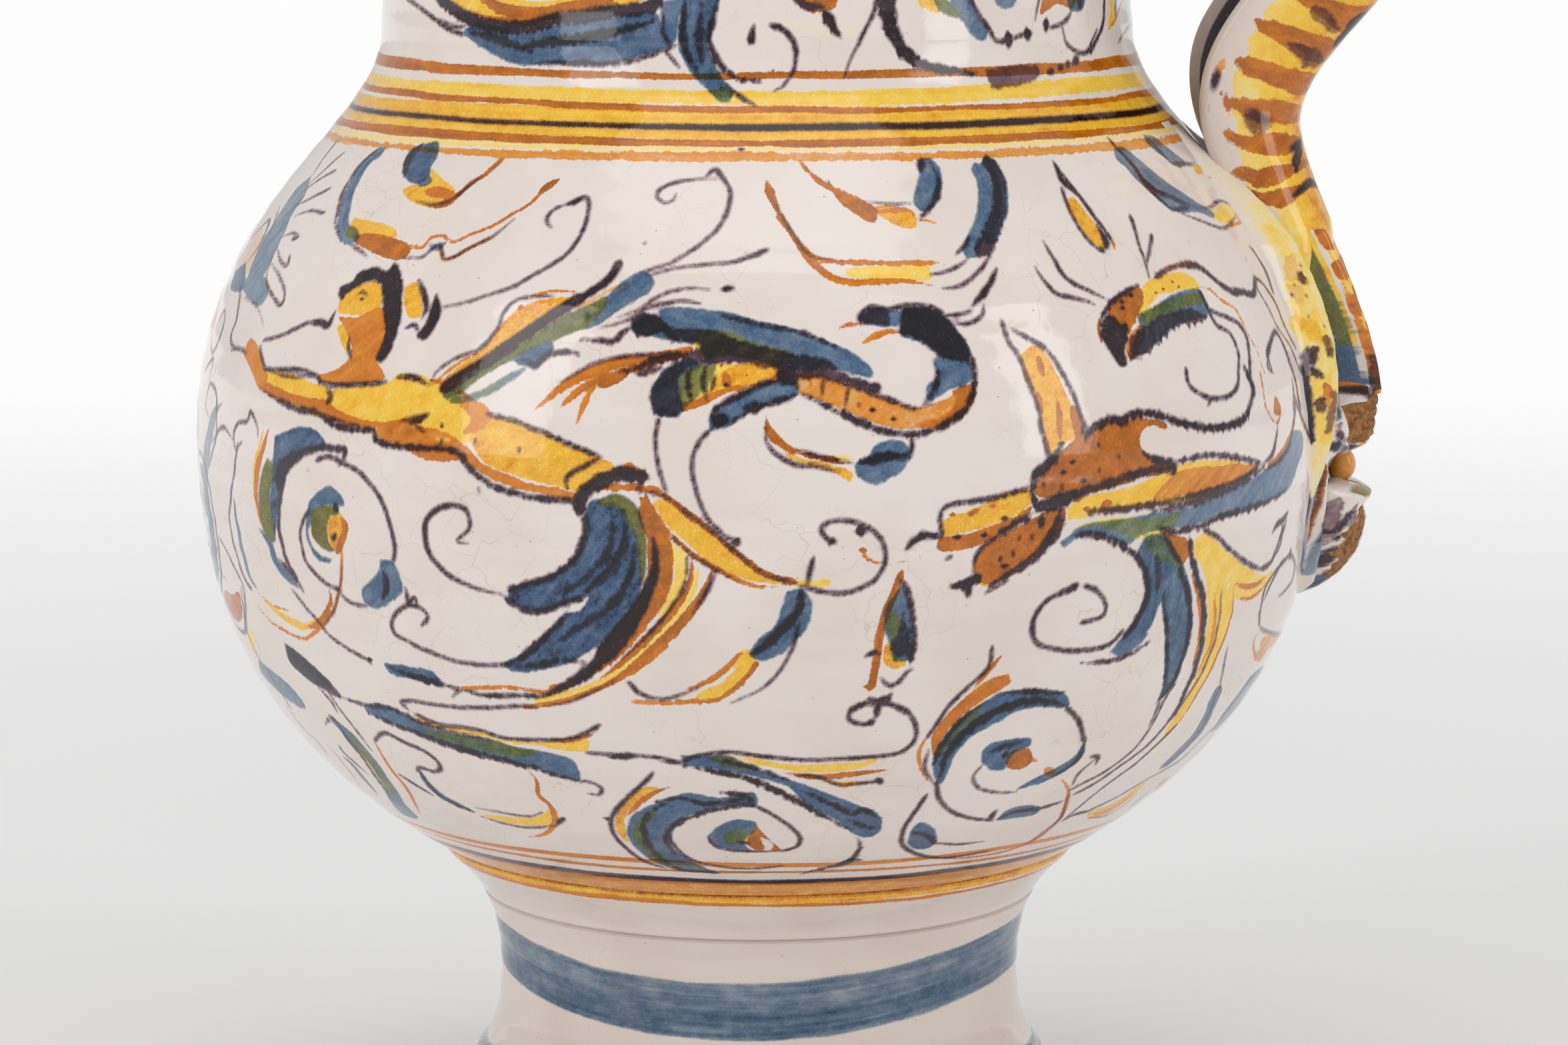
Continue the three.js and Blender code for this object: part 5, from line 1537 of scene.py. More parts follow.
# The half-figure's body and its great leafy tail, and the scroll at the far left
def paintTailSweep():
    s = Sheet("middleLeft")
    s.fill("112,10 92,60 74,160 66,260 66,380 54,340 48,220 60,110 84,30", "blue", 0.36, streaks=0.4,
           angleOfStreaks=1.3)
    s.line("230,122 228,86 205,38 196,70 166,76 150,112 156,160 176,138", 0.5, tone=(0.6, 0.5))
    s.line("164,142 150,250 140,330 138,400 152,470 172,540 192,592 212,622", 0.5, tone=(0.55, 0.5), shape="plain")
    s.line("150,320 162,402 182,500 206,580 230,622", 1.3, "blue", tone=(0.45, 0.4), streaks=0.4)
    s.line("104,448 132,502 162,562 186,622 192,702 196,762", 0.45, tone=(0.5, 0.4), shape="plain")
    s.line("102,460 96,520 114,570 132,592", 0.35, tone=(0.4, 0.35))
    # Scroll: ochre outside, olive and dark blue inside
    s.line("266,96 246,160 228,230 224,300 232,362 246,422", 1.5, "orange", "both", (0.8, 0.7))
    s.line("250,96 236,150 222,212 217,282 224,350", 1.0, "yellow", "both", (0.8, 0.6))
    shape = "262,190 242,240 234,300 238,380 260,450 286,462 276,380 270,300 286,222"
    s.fill(shape, "yellow", 0.62)
    s.fill(shape, "blue", 0.5)
    s.fill("285,120 330,100 375,88 420,100 450,140 446,165 400,165 360,190 325,235 305,290 298,340 290,400 286,452 "
           "270,352 275,262 280,182", "blue", 0.8, streaks=0.35)
    s.fill("300,192 380,160 440,160 360,192 320,242 296,302 286,250", "manganese", 0.5, streaks=0.5, rough=0.3)
    s.line("452,150 402,166 356,196 320,246 305,312 298,402 310,472 332,542 362,592", 0.85, tone=(0.9, 0.6),
           shape="plain", rough=0.2)
    s.line("236,422 270,472 292,532 322,572 352,602 366,612", 1.6, "blue", "both", (0.6, 0.55), streaks=0.4)
    s.line("300,520 342,572 366,602 382,630", 0.8, tone=(0.7, 0.7))
    s.line("440,150 482,160 516,164 506,200 494,216", 1.0, tone=(0.8, 0.95), rough=0.25)
    s.line("420,198 462,186 506,206 562,236 612,292 646,352 666,422 679,482 672,536", 0.65, tone=(0.6, 0.8),
           shape="plain")
    s.fill("630,524 670,530 696,580 702,622 670,656 620,682 580,662 572,622 600,592 626,560", "blue", 0.62, streaks=0.5)
    s.line("640,560 650,600 640,650", 1.2, tone=(0.5, 0.5), streaks=0.6, rough=0.4)
    s.line("592,676 542,666 510,642 494,616", 0.5, tone=(0.6, 0.5))
    s.line("402,358 378,396 370,452 386,522 422,572 462,606 502,622", 0.55, tone=(0.7, 0.6), shape="plain")
    s.line("504,500 506,560 496,622 480,682 446,736 404,772", 0.6, "orange", "plain", (0.4, 0.6))
    s.line("504,520 500,600 478,690 440,742", 0.4, tone=(0.45, 0.45))
    # The scroll's eye
    s.fill("400,330 436,294 466,284 500,310 512,346 480,340 440,350 406,390 396,432 410,482 440,512 472,522 454,532 "
           "420,512 394,462 388,402", "blue", 0.65)
    shape = "400,372 440,346 482,350 496,372 466,382 456,422 466,472 480,496 440,482 410,442"
    s.fill(shape, "yellow", 0.75)
    s.fill(shape, "blue", 0.5)
    s.fill("464,382 500,370 516,402 510,442 500,492 480,492 462,452 458,412", "yellow", 0.9)
    s.fill("500,376 524,402 522,442 502,496 484,500 496,452 506,422", "orange", 0.88)
    s.line("470,440 478,452 486,436", 0.8, tone=(0.9, 0.9))
    s.line("482,338 494,362", 1.2, tone=(0.8, 0.8), rough=0.3)
    # Ochre hook below
    s.line("240,638 300,698 372,738 412,732 446,700", 1.3, "yellow", "both", (0.65, 0.6))
    s.line("230,630 282,672 352,696", 0.45, "orange", tone=(0.5, 0.45))
    s.line("224,664 270,722 322,756 372,779 402,772 446,726", 0.65, "orange", tone=(0.55, 0.7))
    s.line("458,612 470,646 452,702 420,736 382,742", 1.1, "orange", "both", (0.85, 0.7))
    s.line("345,622 382,672 422,716 462,768 522,812 582,846 600,862", 0.5, tone=(0.5, 0.6), shape="plain")
    s.dots("597,852", 1.2)
    # Blue dash and small spiral
    s.fill("645,860 700,870 790,886 826,916 820,936 770,921 700,906 655,886", "blue", 0.72, rough=0.3)
    s.line("650,870 720,900 800,920 862,940 892,946", 1.0, tone=(0.8, 0.75), rough=0.4, streaks=0.5)
    s.line("712,614 724,664 742,648 756,680", 0.8, tone=(0.7, 0.9))
    s.line("765,738 786,710 762,680 726,672 690,690 668,726 680,766 722,790 762,812 822,836 882,856 962,866 1042,868",
           0.55, tone=(0.85, 0.4), shape="plain")
    # Dark blade and leaf at the lower left
    s.fill("320,798 352,820 422,880 472,930 502,972 480,966 420,930 360,882 330,842", "manganese", 0.55, streaks=0.5)
    s.fill("320,798 352,820 422,880 472,930 420,930 360,882 330,842", "blue", 0.5)
    s.line("500,970 542,986 592,1000 644,1012", 0.55, tone=(0.8, 0.7))
    s.line("430,942 470,986 492,1022", 0.5, tone=(0.7, 0.6))
    s.fill("234,850 270,880 320,920 360,960 386,1000 370,1006 320,970 270,922 240,884", "blue", 0.5, streaks=0.4)
    s.fill("195,740 215,760 226,800 210,822 200,782", "yellow", 0.4)
    s.line("196,760 240,850 300,940 340,1010", 0.45, tone=(0.5, 0.5), shape="plain")
    s.fill("576,998 640,1004 700,1024 640,1036 590,1020", "blue", 0.5)
    # Torso and belt
    s.fill("842,60 902,30 982,45 1062,60 1142,92 1222,140 1292,166 1352,190 1392,210 1402,236 1352,262 1292,302 "
           "1240,292 1162,272 1082,252 1002,222 952,182 920,132 872,132 842,100", "yellow", 0.78, streaks=0.3)
    s.fill("700,90 762,85 832,100 902,142 962,202 1042,242 1122,272 1222,292 1284,312 1262,332 1182,312 1082,292 "
           "1002,262 932,222 890,172 822,152 702,142 632,132 620,96", "orange", 0.6, streaks=0.35, rough=0.3)
    s.fill("870,0 960,10 1000,60 950,100 905,110 930,60", "orange", 0.5, rough=0.3)
    s.line("300,0 360,30 420,40 470,76 530,95 612,100", 0.8, tone=(0.8, 0.85), shape="plain", rough=0.25)
    s.line("610,98 622,135 682,150 762,158 842,160 892,176 932,232 1002,282 1062,302 1152,322 1232,327 1284,332", 0.85,
           tone=(0.9, 0.85), shape="plain", rough=0.25)
    s.line("982,46 1062,66 1142,96 1222,132 1292,162 1354,188", 0.65, tone=(0.6, 0.85), shape="plain", rough=0.2)
    s.line("1354,184 1312,210 1262,236 1238,262 1246,296", 0.65, tone=(0.9, 0.75))
    s.line("730,76 762,62 792,45", 0.9, tone=(0.7, 0.8))
    s.line("745,80 776,106", 0.6, tone=(0.6, 0.7))
    s.dots("1086,166", 1.5)
    s.dots("942,137 834,86 461,6", 1.0)
    s.fill("1390,242 1428,212 1462,212 1502,242 1440,250", "orange", 0.65, rough=0.3)
    s.line("1282,372 1286,330 1312,290 1362,262 1422,242 1502,252", 1.9, tone=(0.9, 0.9), shape="plain", rough=0.4)
    # The great tail: dark blue, olive and ochre feathers
    s.fill("1302,372 1312,420 1292,480 1252,530 1202,566 1142,590 1082,606 1050,626 1062,660 1102,680 1152,690 "
           "1222,670 1302,642 1310,652 1282,690 1232,702 1192,742 1152,790 1102,830 1052,850 1036,870 1082,890 "
           "1162,880 1242,862 1312,822 1372,780 1432,722 1472,652 1492,572 1486,482 1470,402 1440,342 1382,322 "
           "1322,332", "blue", 0.8, streaks=0.35, angleOfStreaks=0.9)
    s.line("1304,374 1302,432 1282,492 1242,546 1182,582 1112,602 1050,622", 0.9, tone=(0.85, 0.7), shape="plain",
           rough=0.3)
    s.line("1040,650 1092,682 1152,693 1222,669 1294,646", 0.9, tone=(0.8, 0.9), shape="plain", rough=0.3)
    s.line("1424,362 1432,452 1402,532 1342,592 1290,642", 1.3, tone=(0.55, 0.5), rough=0.4, streaks=0.5)
    s.line("1382,342 1392,422 1372,502 1322,562 1262,612 1180,640", 0.9, tone=(0.45, 0.4), rough=0.4)
    s.line("1462,472 1452,562 1412,642 1352,702 1282,742 1200,800", 1.1, tone=(0.55, 0.5), rough=0.4)
    s.line("1030,868 1082,850 1142,800 1192,752 1242,702", 0.9, tone=(0.85, 0.7), rough=0.35)
    s.line("1300,862 1232,852 1122,870 1050,872", 0.8, tone=(0.6, 0.6), rough=0.4)
    shape = "1332,330 1402,308 1462,340 1492,402 1502,472 1496,562 1482,602 1472,482 1442,402 1402,352 1352,346"
    s.fill(shape, "yellow", 0.65)
    s.fill(shape, "blue", 0.5)
    s.fill("1470,300 1532,360 1572,430 1590,520 1572,640 1502,742 1422,832 1342,892 1252,942 1162,972 1252,932 "
           "1342,852 1432,772 1502,652 1536,542 1530,452 1502,382", "orange", 0.88)
    s.line("1524,456 1532,532 1512,612 1472,692 1422,772 1362,842 1292,902 1232,937 1162,966", 2.1, tone=(0.97, 0.9),
           rough=0.2)
    s.line("892,945 962,942 1042,940 1122,950 1182,956 1242,936 1300,905", 0.7, "orange", "plain", (0.6, 0.8))
    s.line("865,969 902,950 962,966 1042,968 1102,966 1162,969 1232,946", 0.65, tone=(0.85, 0.8), rough=0.25)
    s.line("720,1012 697,988 742,985 802,996 902,1006 1002,1006 1082,1001 1142,1005", 0.55, tone=(0.7, 0.5),
           shape="plain")
    s.line("1140,986 1242,966 1342,931 1422,881 1502,821 1572,760", 1.4, "yellow", "plain", (0.5, 0.6))
    s.line("1100,1006 1202,991 1302,961 1402,916 1482,871 1572,800", 0.8, "orange", "plain", (0.6, 0.8))
    s.line("1160,1001 1252,986 1342,946 1402,916", 0.4, tone=(0.5, 0.6))
    s.line("1186,940 1262,925 1340,880 1420,815 1500,740", 0.8, "orange", "plain", (0.7, 0.7))


paintTailSweep()


# The tail's far feathers, the drop, the small scroll and the beast's legs
def paintMiddle():
    s = Sheet("middle")
    s.line("192,58 181,130 190,212 216,302", 0.5, tone=(0.6, 0.55), shape="plain")
    s.line("356,100 322,140 301,202 310,282 342,372 392,432 442,466", 0.55, tone=(0.8, 0.6), shape="plain")
    s.line("438,455 452,470", 1.4, tone=(0.9, 0.9))
    s.line("780,36 852,76 922,100 1002,112 1082,100 1142,70 1202,20", 0.8, tone=(0.8, 0.85), shape="plain", rough=0.25)
    # Small C-scroll under the bird
    s.fill("543,44 562,90 622,150 692,175 762,186 802,206 762,206 692,191 622,171 570,146 540,102", "orange", 0.9)
    s.fill("590,160 662,190 742,206 824,236 812,264 762,236 682,212 622,192", "yellow", 0.82)
    s.line("740,186 832,192", 0.9, "yellow", tone=(0.4, 0.4))
    s.line("540,92 546,142 582,182 642,212 702,216 782,236", 0.6, tone=(0.7, 0.5))
    s.line("640,160 720,186 820,206", 0.6, tone=(0.5, 0.8))
    s.fill("834,212 870,190 902,150 942,132 990,140 1012,170 1002,212 962,246 902,273 860,262 840,242", "blue", 0.62,
           streaks=0.45)
    s.line("838,206 902,190 962,180 1014,185", 1.3, tone=(0.7, 0.8), rough=0.4, streaks=0.5)
    s.line("1015,108 1019,150 1012,192", 0.7, tone=(0.85, 0.85))
    # Thigh and the long line to the spiral
    s.fill("170,332 222,320 292,380 372,440 452,510 532,570 622,600 562,600 482,590 402,560 332,510 262,450 210,400",
           "yellow", 0.75)
    s.line("0,286 62,286 152,288 212,316 292,376 372,436 452,506 542,571 642,597", 0.95, "orange", "plain", (0.8, 0.8),
           rough=0.25)
    s.line("120,290 212,316 292,376 372,436 452,506 542,571 642,600", 0.45, tone=(0.5, 0.55), shape="plain", rough=0.25)
    s.line("182,372 242,452 312,512 382,552 452,590 522,611 602,613", 0.85, "orange", "both", (0.8, 0.7))
    s.line("240,452 312,514 382,556 452,594", 0.5, tone=(0.6, 0.5), rough=0.25)
    s.fill("600,586 692,590 748,588 742,610 642,607", "yellow", 0.5)
    s.line("650,606 722,626 792,632 852,615 906,580 933,520 921,460 890,426 850,404 800,395 746,400 722,422 742,454 "
           "768,466", 0.6, tone=(0.75, 0.8), shape="plain")
    s.line("836,430 862,424", 1.6, tone=(0.9, 0.9), rough=0.3)
    s.line("748,455 770,466", 1.1, tone=(0.9, 0.9))
    s.line("858,492 876,520 932,536 1016,525", 0.55, "orange", "fade", (0.8, 0.5))
    s.dots("858,492", 1.3, "orange", 0.85)
    s.line("697,514 686,560 677,604", 0.8, tone=(0.8, 0.9))
    # Far side of the tail
    s.fill("150,300 192,380 217,440 212,522 192,602 150,682 90,762 20,824 -20,850 0,800 62,740 122,652 152,562 "
           "152,452 122,382", "orange", 0.88)
    s.line("176,456 182,532 156,612 110,692 50,772 -10,846", 2.0, tone=(0.97, 0.95), shape="swell", rough=0.2)
    s.fill("225,468 272,490 287,560 262,642 216,704 188,706 222,642 242,562", "yellow", 0.45)
    s.line("216,440 226,520 222,600 180,690", 0.6, "orange", tone=(0.8, 0.8))
    s.line("302,512 292,602 242,682 172,762 80,850 0,912", 1.2, "orange", "both", (0.85, 0.8))
    s.line("285,510 276,602 222,692 152,772 70,850", 0.5, tone=(0.75, 0.6), rough=0.25)
    s.line("322,540 302,622 242,712 162,802 80,872 0,927", 1.5, "yellow", "both", (0.42, 0.4))
    s.line("366,550 342,622 272,722 192,802 100,882 0,947", 1.6, "orange", "both", (0.88, 0.85))
    s.line("378,556 352,622 300,700", 0.6, tone=(0.6, 0.4))
    # Leaf under the tail
    s.line("94,924 130,960 200,979 272,961 342,930", 0.65, tone=(0.85, 0.6), shape="fade")
    s.line("100,986 200,991 302,986 382,980 432,950 482,902 514,858", 0.8, "orange", "plain", (0.5, 0.8), rough=0.25)
    s.fill("385,900 432,842 482,814 502,830 512,860 482,902 432,950 372,982 310,976 332,951 402,921 452,871 420,882",
           "yellow", 0.68, rough=0.3)
    s.line("272,950 342,926 402,886 452,836 480,826", 0.95, "orange", "both", (0.7, 0.8))
    s.fill("610,630 662,620 692,670 682,730 642,782 592,830 532,852 490,832 520,782 570,742 592,690", "blue", 0.66,
           streaks=0.45)
    s.line("656,612 652,682 612,732 562,782 500,832", 1.5, tone=(0.85, 0.75), rough=0.4, streaks=0.5)
    s.line("650,730 632,802 592,880 532,942 472,972 424,993", 0.55, tone=(0.8, 0.5), shape="fade")
    # Drop
    s.line("986,562 962,632 932,702 911,782 904,852 890,922 880,946", 1.2, "orange", "plain", (0.9, 0.9))
    s.dots("880,942", 2.1, "orange", 0.9)
    s.dots("986,566", 1.4, "orange", 0.9)
    s.fill("985,612 1010,650 1021,720 1023,800 1015,842 985,856 960,851 950,802 935,762 930,702 950,652", "blue", 0.62,
           streaks=0.4)
    s.fill("990,700 1012,760 1010,830 970,840 950,800 980,760", "manganese", 0.55, rough=0.4, streaks=0.6, drip=0.5)
    s.fill("934,702 962,690 990,742 962,782 940,762", "yellow", 0.5)
    s.fill("928,802 962,795 972,842 1002,850 990,872 950,877 924,852", "yellow", 0.9)
    s.line("984,588 1010,642 1021,722 1025,792 1014,856", 0.75, tone=(0.6, 0.9), shape="plain", rough=0.25)
    s.line("914,905 940,931 970,926 1002,890 1022,880", 0.6, tone=(0.6, 0.7))
    s.line("868,838 896,825 912,832", 0.7, tone=(0.8, 0.7))
    # The beast's legs
    s.fill("1115,402 1150,380 1222,356 1302,312 1372,290 1412,300 1402,342 1372,370 1302,402 1232,422 1162,441 "
           "1120,442", "yellow", 0.82)
    s.fill("1110,446 1202,436 1292,406 1372,370 1412,346 1392,382 1322,430 1252,470 1182,490 1122,496 1098,482",
           "orange", 0.86)
    s.line("1116,442 1112,372 1150,341 1222,331 1292,320 1352,301 1402,290", 0.65, tone=(0.85, 0.7), shape="plain",
           rough=0.25)
    s.line("1000,488 1042,450 1092,444 1114,456", 1.1, tone=(0.85, 0.95), rough=0.35)
    s.dots("1150,378 1214,374 1230,366 1281,349", 1.3, "orange", 0.85)
    s.dots("1166,452 1255,444 1322,390", 1.3)
    s.line("1128,522 1150,510", 0.6, tone=(0.5, 0.5))
    s.fill("1220,560 1230,502 1282,460 1352,420 1422,382 1482,350 1522,360 1502,422 1452,482 1382,532 1322,582 "
           "1272,602 1230,592", "orange", 0.88)
    s.line("1522,350 1502,422 1452,482 1392,532 1322,577 1272,607", 1.3, tone=(0.75, 0.6), rough=0.4, streaks=0.4)
    s.dots("1370,455 1410,450 1305,522 1350,505 1390,398 1444,396 1320,546", 1.4)
    s.line("1150,612 1202,600 1242,574", 1.6, tone=(0.85, 0.95), rough=0.4)
    s.line("1200,605 1202,645", 1.1, tone=(0.9, 0.9))
    s.line("1218,566 1226,512 1262,470 1302,446", 0.6, tone=(0.6, 0.7), rough=0.25)
    s.fill("1240,594 1275,588 1270,604 1250,608", "yellow", 0.9)
    s.line("1258,632 1300,606 1332,586", 0.5, tone=(0.5, 0.6))
    # Spirals at the right and below
    s.line("1556,604 1530,626 1482,641 1432,682 1408,742 1430,796 1502,816 1572,822", 0.55, tone=(0.8, 0.55),
           shape="plain")
    s.line("1540,618 1556,604", 1.2, tone=(0.9, 0.9))
    s.line("815,1016 852,995 906,985 962,1000 1004,1026", 0.7, tone=(0.75, 0.75), shape="plain")
    s.line("952,960 930,990 880,974", 0.9, tone=(0.85, 0.8))
    s.line("905,985 911,1024", 0.6, tone=(0.75, 0.75))


paintMiddle()


# The beast: feathered wing, spotted body, long leafy tail, and the curls round it
def paintBeast():
    s = Sheet("middleRight")
    # Wing
    s.fill("337,-71 397,-113 445,-71 493,25 541,121 580,190 560,250 500,280 450,330 440,260 421,209 397,109 361,13",
           "yellow", 0.85, streaks=0.25)
    s.line("409,-71 427,13", 1.2, "orange", tone=(0.85, 0.8))
    s.line("352,-30 366,20 396,70", 0.9, "orange", tone=(0.8, 0.85))
    s.line("405,70 412,110 424,160", 1.3, "orange", tone=(0.9, 0.85))
    s.line("430,240 446,300 462,330", 0.9, "orange", tone=(0.8, 0.85))
    s.line("484,96 492,180 496,270", 1.1, "orange", "both", (0.88, 0.8))
    s.fill("530,124 560,130 584,180 588,240 560,262 548,220 536,170", "orange", 0.9)
    s.line("265,-213 289,-131 337,-59 373,37 409,133 421,210 435,262 448,330", 0.6, tone=(0.7, 0.75), shape="plain",
           rough=0.2)
    s.line("307,-173 373,-137 445,-89 505,1 553,97 575,169 590,200 582,245", 0.6, tone=(0.75, 0.7), shape="plain",
           rough=0.2)
    # Body
    s.fill("392,470 400,410 440,372 476,330 516,290 566,250 612,220 652,206 690,182 742,196 792,166 832,182 882,182 "
           "914,202 908,220 862,204 822,222 806,262 816,300 852,328 902,346 936,362 920,388 872,402 822,402 762,430 "
           "702,444 652,458 602,472 562,480 522,472 470,492 420,484", "orange", 0.9, streaks=0.15)
    s.fill("520,470 500,420 560,380 640,350 700,330 640,400 580,450", "yellow", 0.35, streaks=0.4)
    s.line("560,470 640,448 720,420 800,392 880,376 930,368", 1.2, "manganese", "plain", (0.45, 0.7), streaks=0.5,
           rough=0.35)
    s.line("386,470 396,402 436,366 470,330 500,286", 1.5, tone=(0.95, 0.9), rough=0.35)
    s.line("592,262 612,226 652,200 692,180 740,186 780,158 840,156 900,172 962,192 1030,208 1100,214 1160,204 "
           "1216,178 1242,122 1250,62 1236,20 1218,-30", 1.1, tone=(0.85, 0.95), shape="plain", rough=0.35, drip=0.5)
    s.line("808,300 832,322 882,342 936,352 938,388 912,392", 1.0, tone=(0.9, 0.95), rough=0.3)
    s.dots("604,250 655,215 645,285 725,327 650,385 588,422 545,352 503,447 510,392", 1.25)
    s.dots("430,440 450,380 480,350 500,280 430,405", 1.3)
    # Knot at the waist
    s.line("380,462 402,520 440,520 500,500 540,480 600,468", 1.9, tone=(0.95, 0.85), rough=0.4)
    s.line("505,510 490,570 462,630 430,680 400,720", 1.3, tone=(0.75, 0.7), rough=0.4, streaks=0.4)
    s.line("400,536 350,570 300,600 240,636", 1.1, tone=(0.8, 0.6), rough=0.4, streaks=0.4)
    s.line("425,560 420,602", 1.2, tone=(0.9, 0.9))
    # Yellow leaf of the tail
    s.fill("524,578 532,522 602,482 702,462 802,432 902,392 962,360 1052,342 1152,342 1262,360 1272,376 1202,420 "
           "1132,452 1062,480 962,508 852,524 752,532 652,548 582,566", "yellow", 0.62, streaks=0.3)
    s.fill("890,450 930,400 1000,372 1100,362 1200,357 1264,362 1232,400 1132,440 1032,468 932,486 862,492", "orange",
           0.55, streaks=0.65, rough=0.3)
    s.line("940,352 1002,334 1082,322 1162,326 1232,340 1276,350", 0.75, tone=(0.6, 0.75), shape="plain", rough=0.35)
    s.line("600,548 700,536 820,520 950,498 1062,468 1152,438 1222,404 1272,366", 0.9, tone=(0.55, 0.9), shape="plain",
           rough=0.35, streaks=0.4)
    s.dots("600,538", 1.7, "orange", 0.85)
    s.line("655,520 696,508", 1.5, "orange", tone=(0.85, 0.85))
    s.line("548,500 572,482", 1.2, "orange", tone=(0.85, 0.85))
    # Blue leaf of the tail and the trunk under it
    s.fill("494,662 530,640 566,604 642,584 742,572 800,562 902,542 1002,524 1062,502 1152,462 1232,424 1302,376 "
           "1352,332 1392,272 1402,228 1440,232 1446,282 1432,342 1402,422 1368,472 1282,512 1182,552 1082,572 "
           "1002,600 902,612 842,622 800,640 760,672 702,652 622,626 566,640 512,680", "blue", 0.5, streaks=0.35)
    s.fill("540,600 642,572 742,562 822,570 902,560 962,540 942,600 880,632 790,652 702,612 602,602", "yellow", 0.4,
           rough=0.3)
    s.line("1290,370 1240,410 1140,458 1040,498 940,526 840,548", 1.1, tone=(0.7, 0.5), rough=0.4, streaks=0.5)
    s.line("536,636 602,630 680,646 742,676 792,716", 1.1, tone=(0.9, 0.85), rough=0.4, drip=0.5)
    s.line("870,600 942,622 1002,608 1062,592 1112,566 1180,546 1262,520 1342,482 1384,446", 1.0, tone=(0.9, 0.5),
           rough=0.4, drip=0.45)
    s.line("1402,226 1392,282 1352,342 1292,382", 0.7, tone=(0.6, 0.6))
    s.fill("792,702 832,640 902,640 962,722 980,790 940,850 890,890 862,962 838,1004 800,1044 760,1076 730,1060 "
           "772,992 812,922 832,852 824,782", "blue", 0.72, streaks=0.5, angleOfStreaks=1.5)
    s.fill("890,812 960,752 992,800 1006,880 1008,977 997,1037 980,1104 956,1176 932,1224 903,1262 876,1284 893,1229 "
           "901,1157 903,1073 901,989 893,915", "blue", 0.66, streaks=0.5, angleOfStreaks=1.5)
    s.fill("812,620 872,612 932,652 972,722 962,772 902,742 842,702", "yellow", 0.4, rough=0.3)
    s.line("792,716 826,782 834,862 812,932 776,992 736,1040", 1.1, tone=(0.85, 0.8), shape="plain", rough=0.3)
    s.line("960,770 984,830 998,900 1002,980 992,1040 974,1104 950,1170 926,1220 894,1264", 1.0, tone=(0.75, 0.8),
           shape="plain", rough=0.35, streaks=0.4)
    s.line("900,840 899,915 908,989 910,1073 906,1157 897,1229 872,1292", 0.8, tone=(0.6, 0.8), rough=0.35, streaks=0.5)
    s.line("870,700 880,780 872,860", 1.2, tone=(0.4, 0.4), streaks=0.7, rough=0.4)
    # Ochre bands beside the trunk
    s.fill("890,612 942,632 992,652 1002,702 972,748 936,712 912,672", "orange", 0.85)
    s.line("882,606 912,656 942,712 966,752", 0.7, tone=(0.6, 0.6))
    s.line("1000,640 1004,702 1022,782 1046,862 1054,942 1046,1050 1033,1109 1015,1169 985,1241 949,1316 910,1373", 1.1,
           tone=(0.85, 0.75), shape="plain", rough=0.3)
    s.line("996,766 1016,812 1034,882 1042,962 1036,1040 1020,1110 1000,1180", 0.9, "orange", "both", (0.8, 0.6))
    s.fill("1016,652 1066,626 1122,676 1182,730 1242,772 1292,792 1324,770 1312,822 1272,852 1232,882 1182,880 "
           "1162,836 1132,822 1072,812 1042,752 1016,702", "yellow", 0.52, streaks=0.35)
    s.fill("1064,816 1130,826 1172,857 1165,929 1147,1001 1119,1073 1083,1157 1035,1244 985,1325 942,1385 898,1426 "
           "919,1376 955,1319 994,1247 1027,1175 1051,1097 1066,1013 1072,929 1066,870", "yellow", 0.55, streaks=0.5,
           angleOfStreaks=1.5)
    s.line("1162,816 1172,857 1165,929 1147,1001 1119,1073 1083,1157 1035,1244 985,1325 942,1385 890,1440", 0.6,
           "orange", "both", (0.8, 0.7))
    s.line("1123,845 1117,941 1099,1037 1069,1121 1021,1217 973,1289 930,1352", 0.5, tone=(0.5, 0.6), streaks=0.5)
    s.line("1096,850 1098,950 1086,1040 1060,1110 1014,1200", 0.9, "orange", tone=(0.5, 0.45), streaks=0.6)
    s.line("1172,820 1212,836 1262,826 1300,792", 1.0, "orange", tone=(0.6, 0.7))
    s.line("1182,878 1232,882 1282,846 1316,800", 0.7, "orange", tone=(0.7, 0.7))
    s.line("1050,610 1112,646 1162,696 1222,742 1282,766 1322,736 1332,702 1352,650 1372,600 1378,560", 0.6,
           tone=(0.75, 0.75), shape="plain", rough=0.2)
    s.line("1324,622 1348,592 1378,566", 0.7, tone=(0.8, 0.7))
    s.line("1062,660 1082,720 1112,776 1142,800", 1.4, "yellow", tone=(0.4, 0.4))
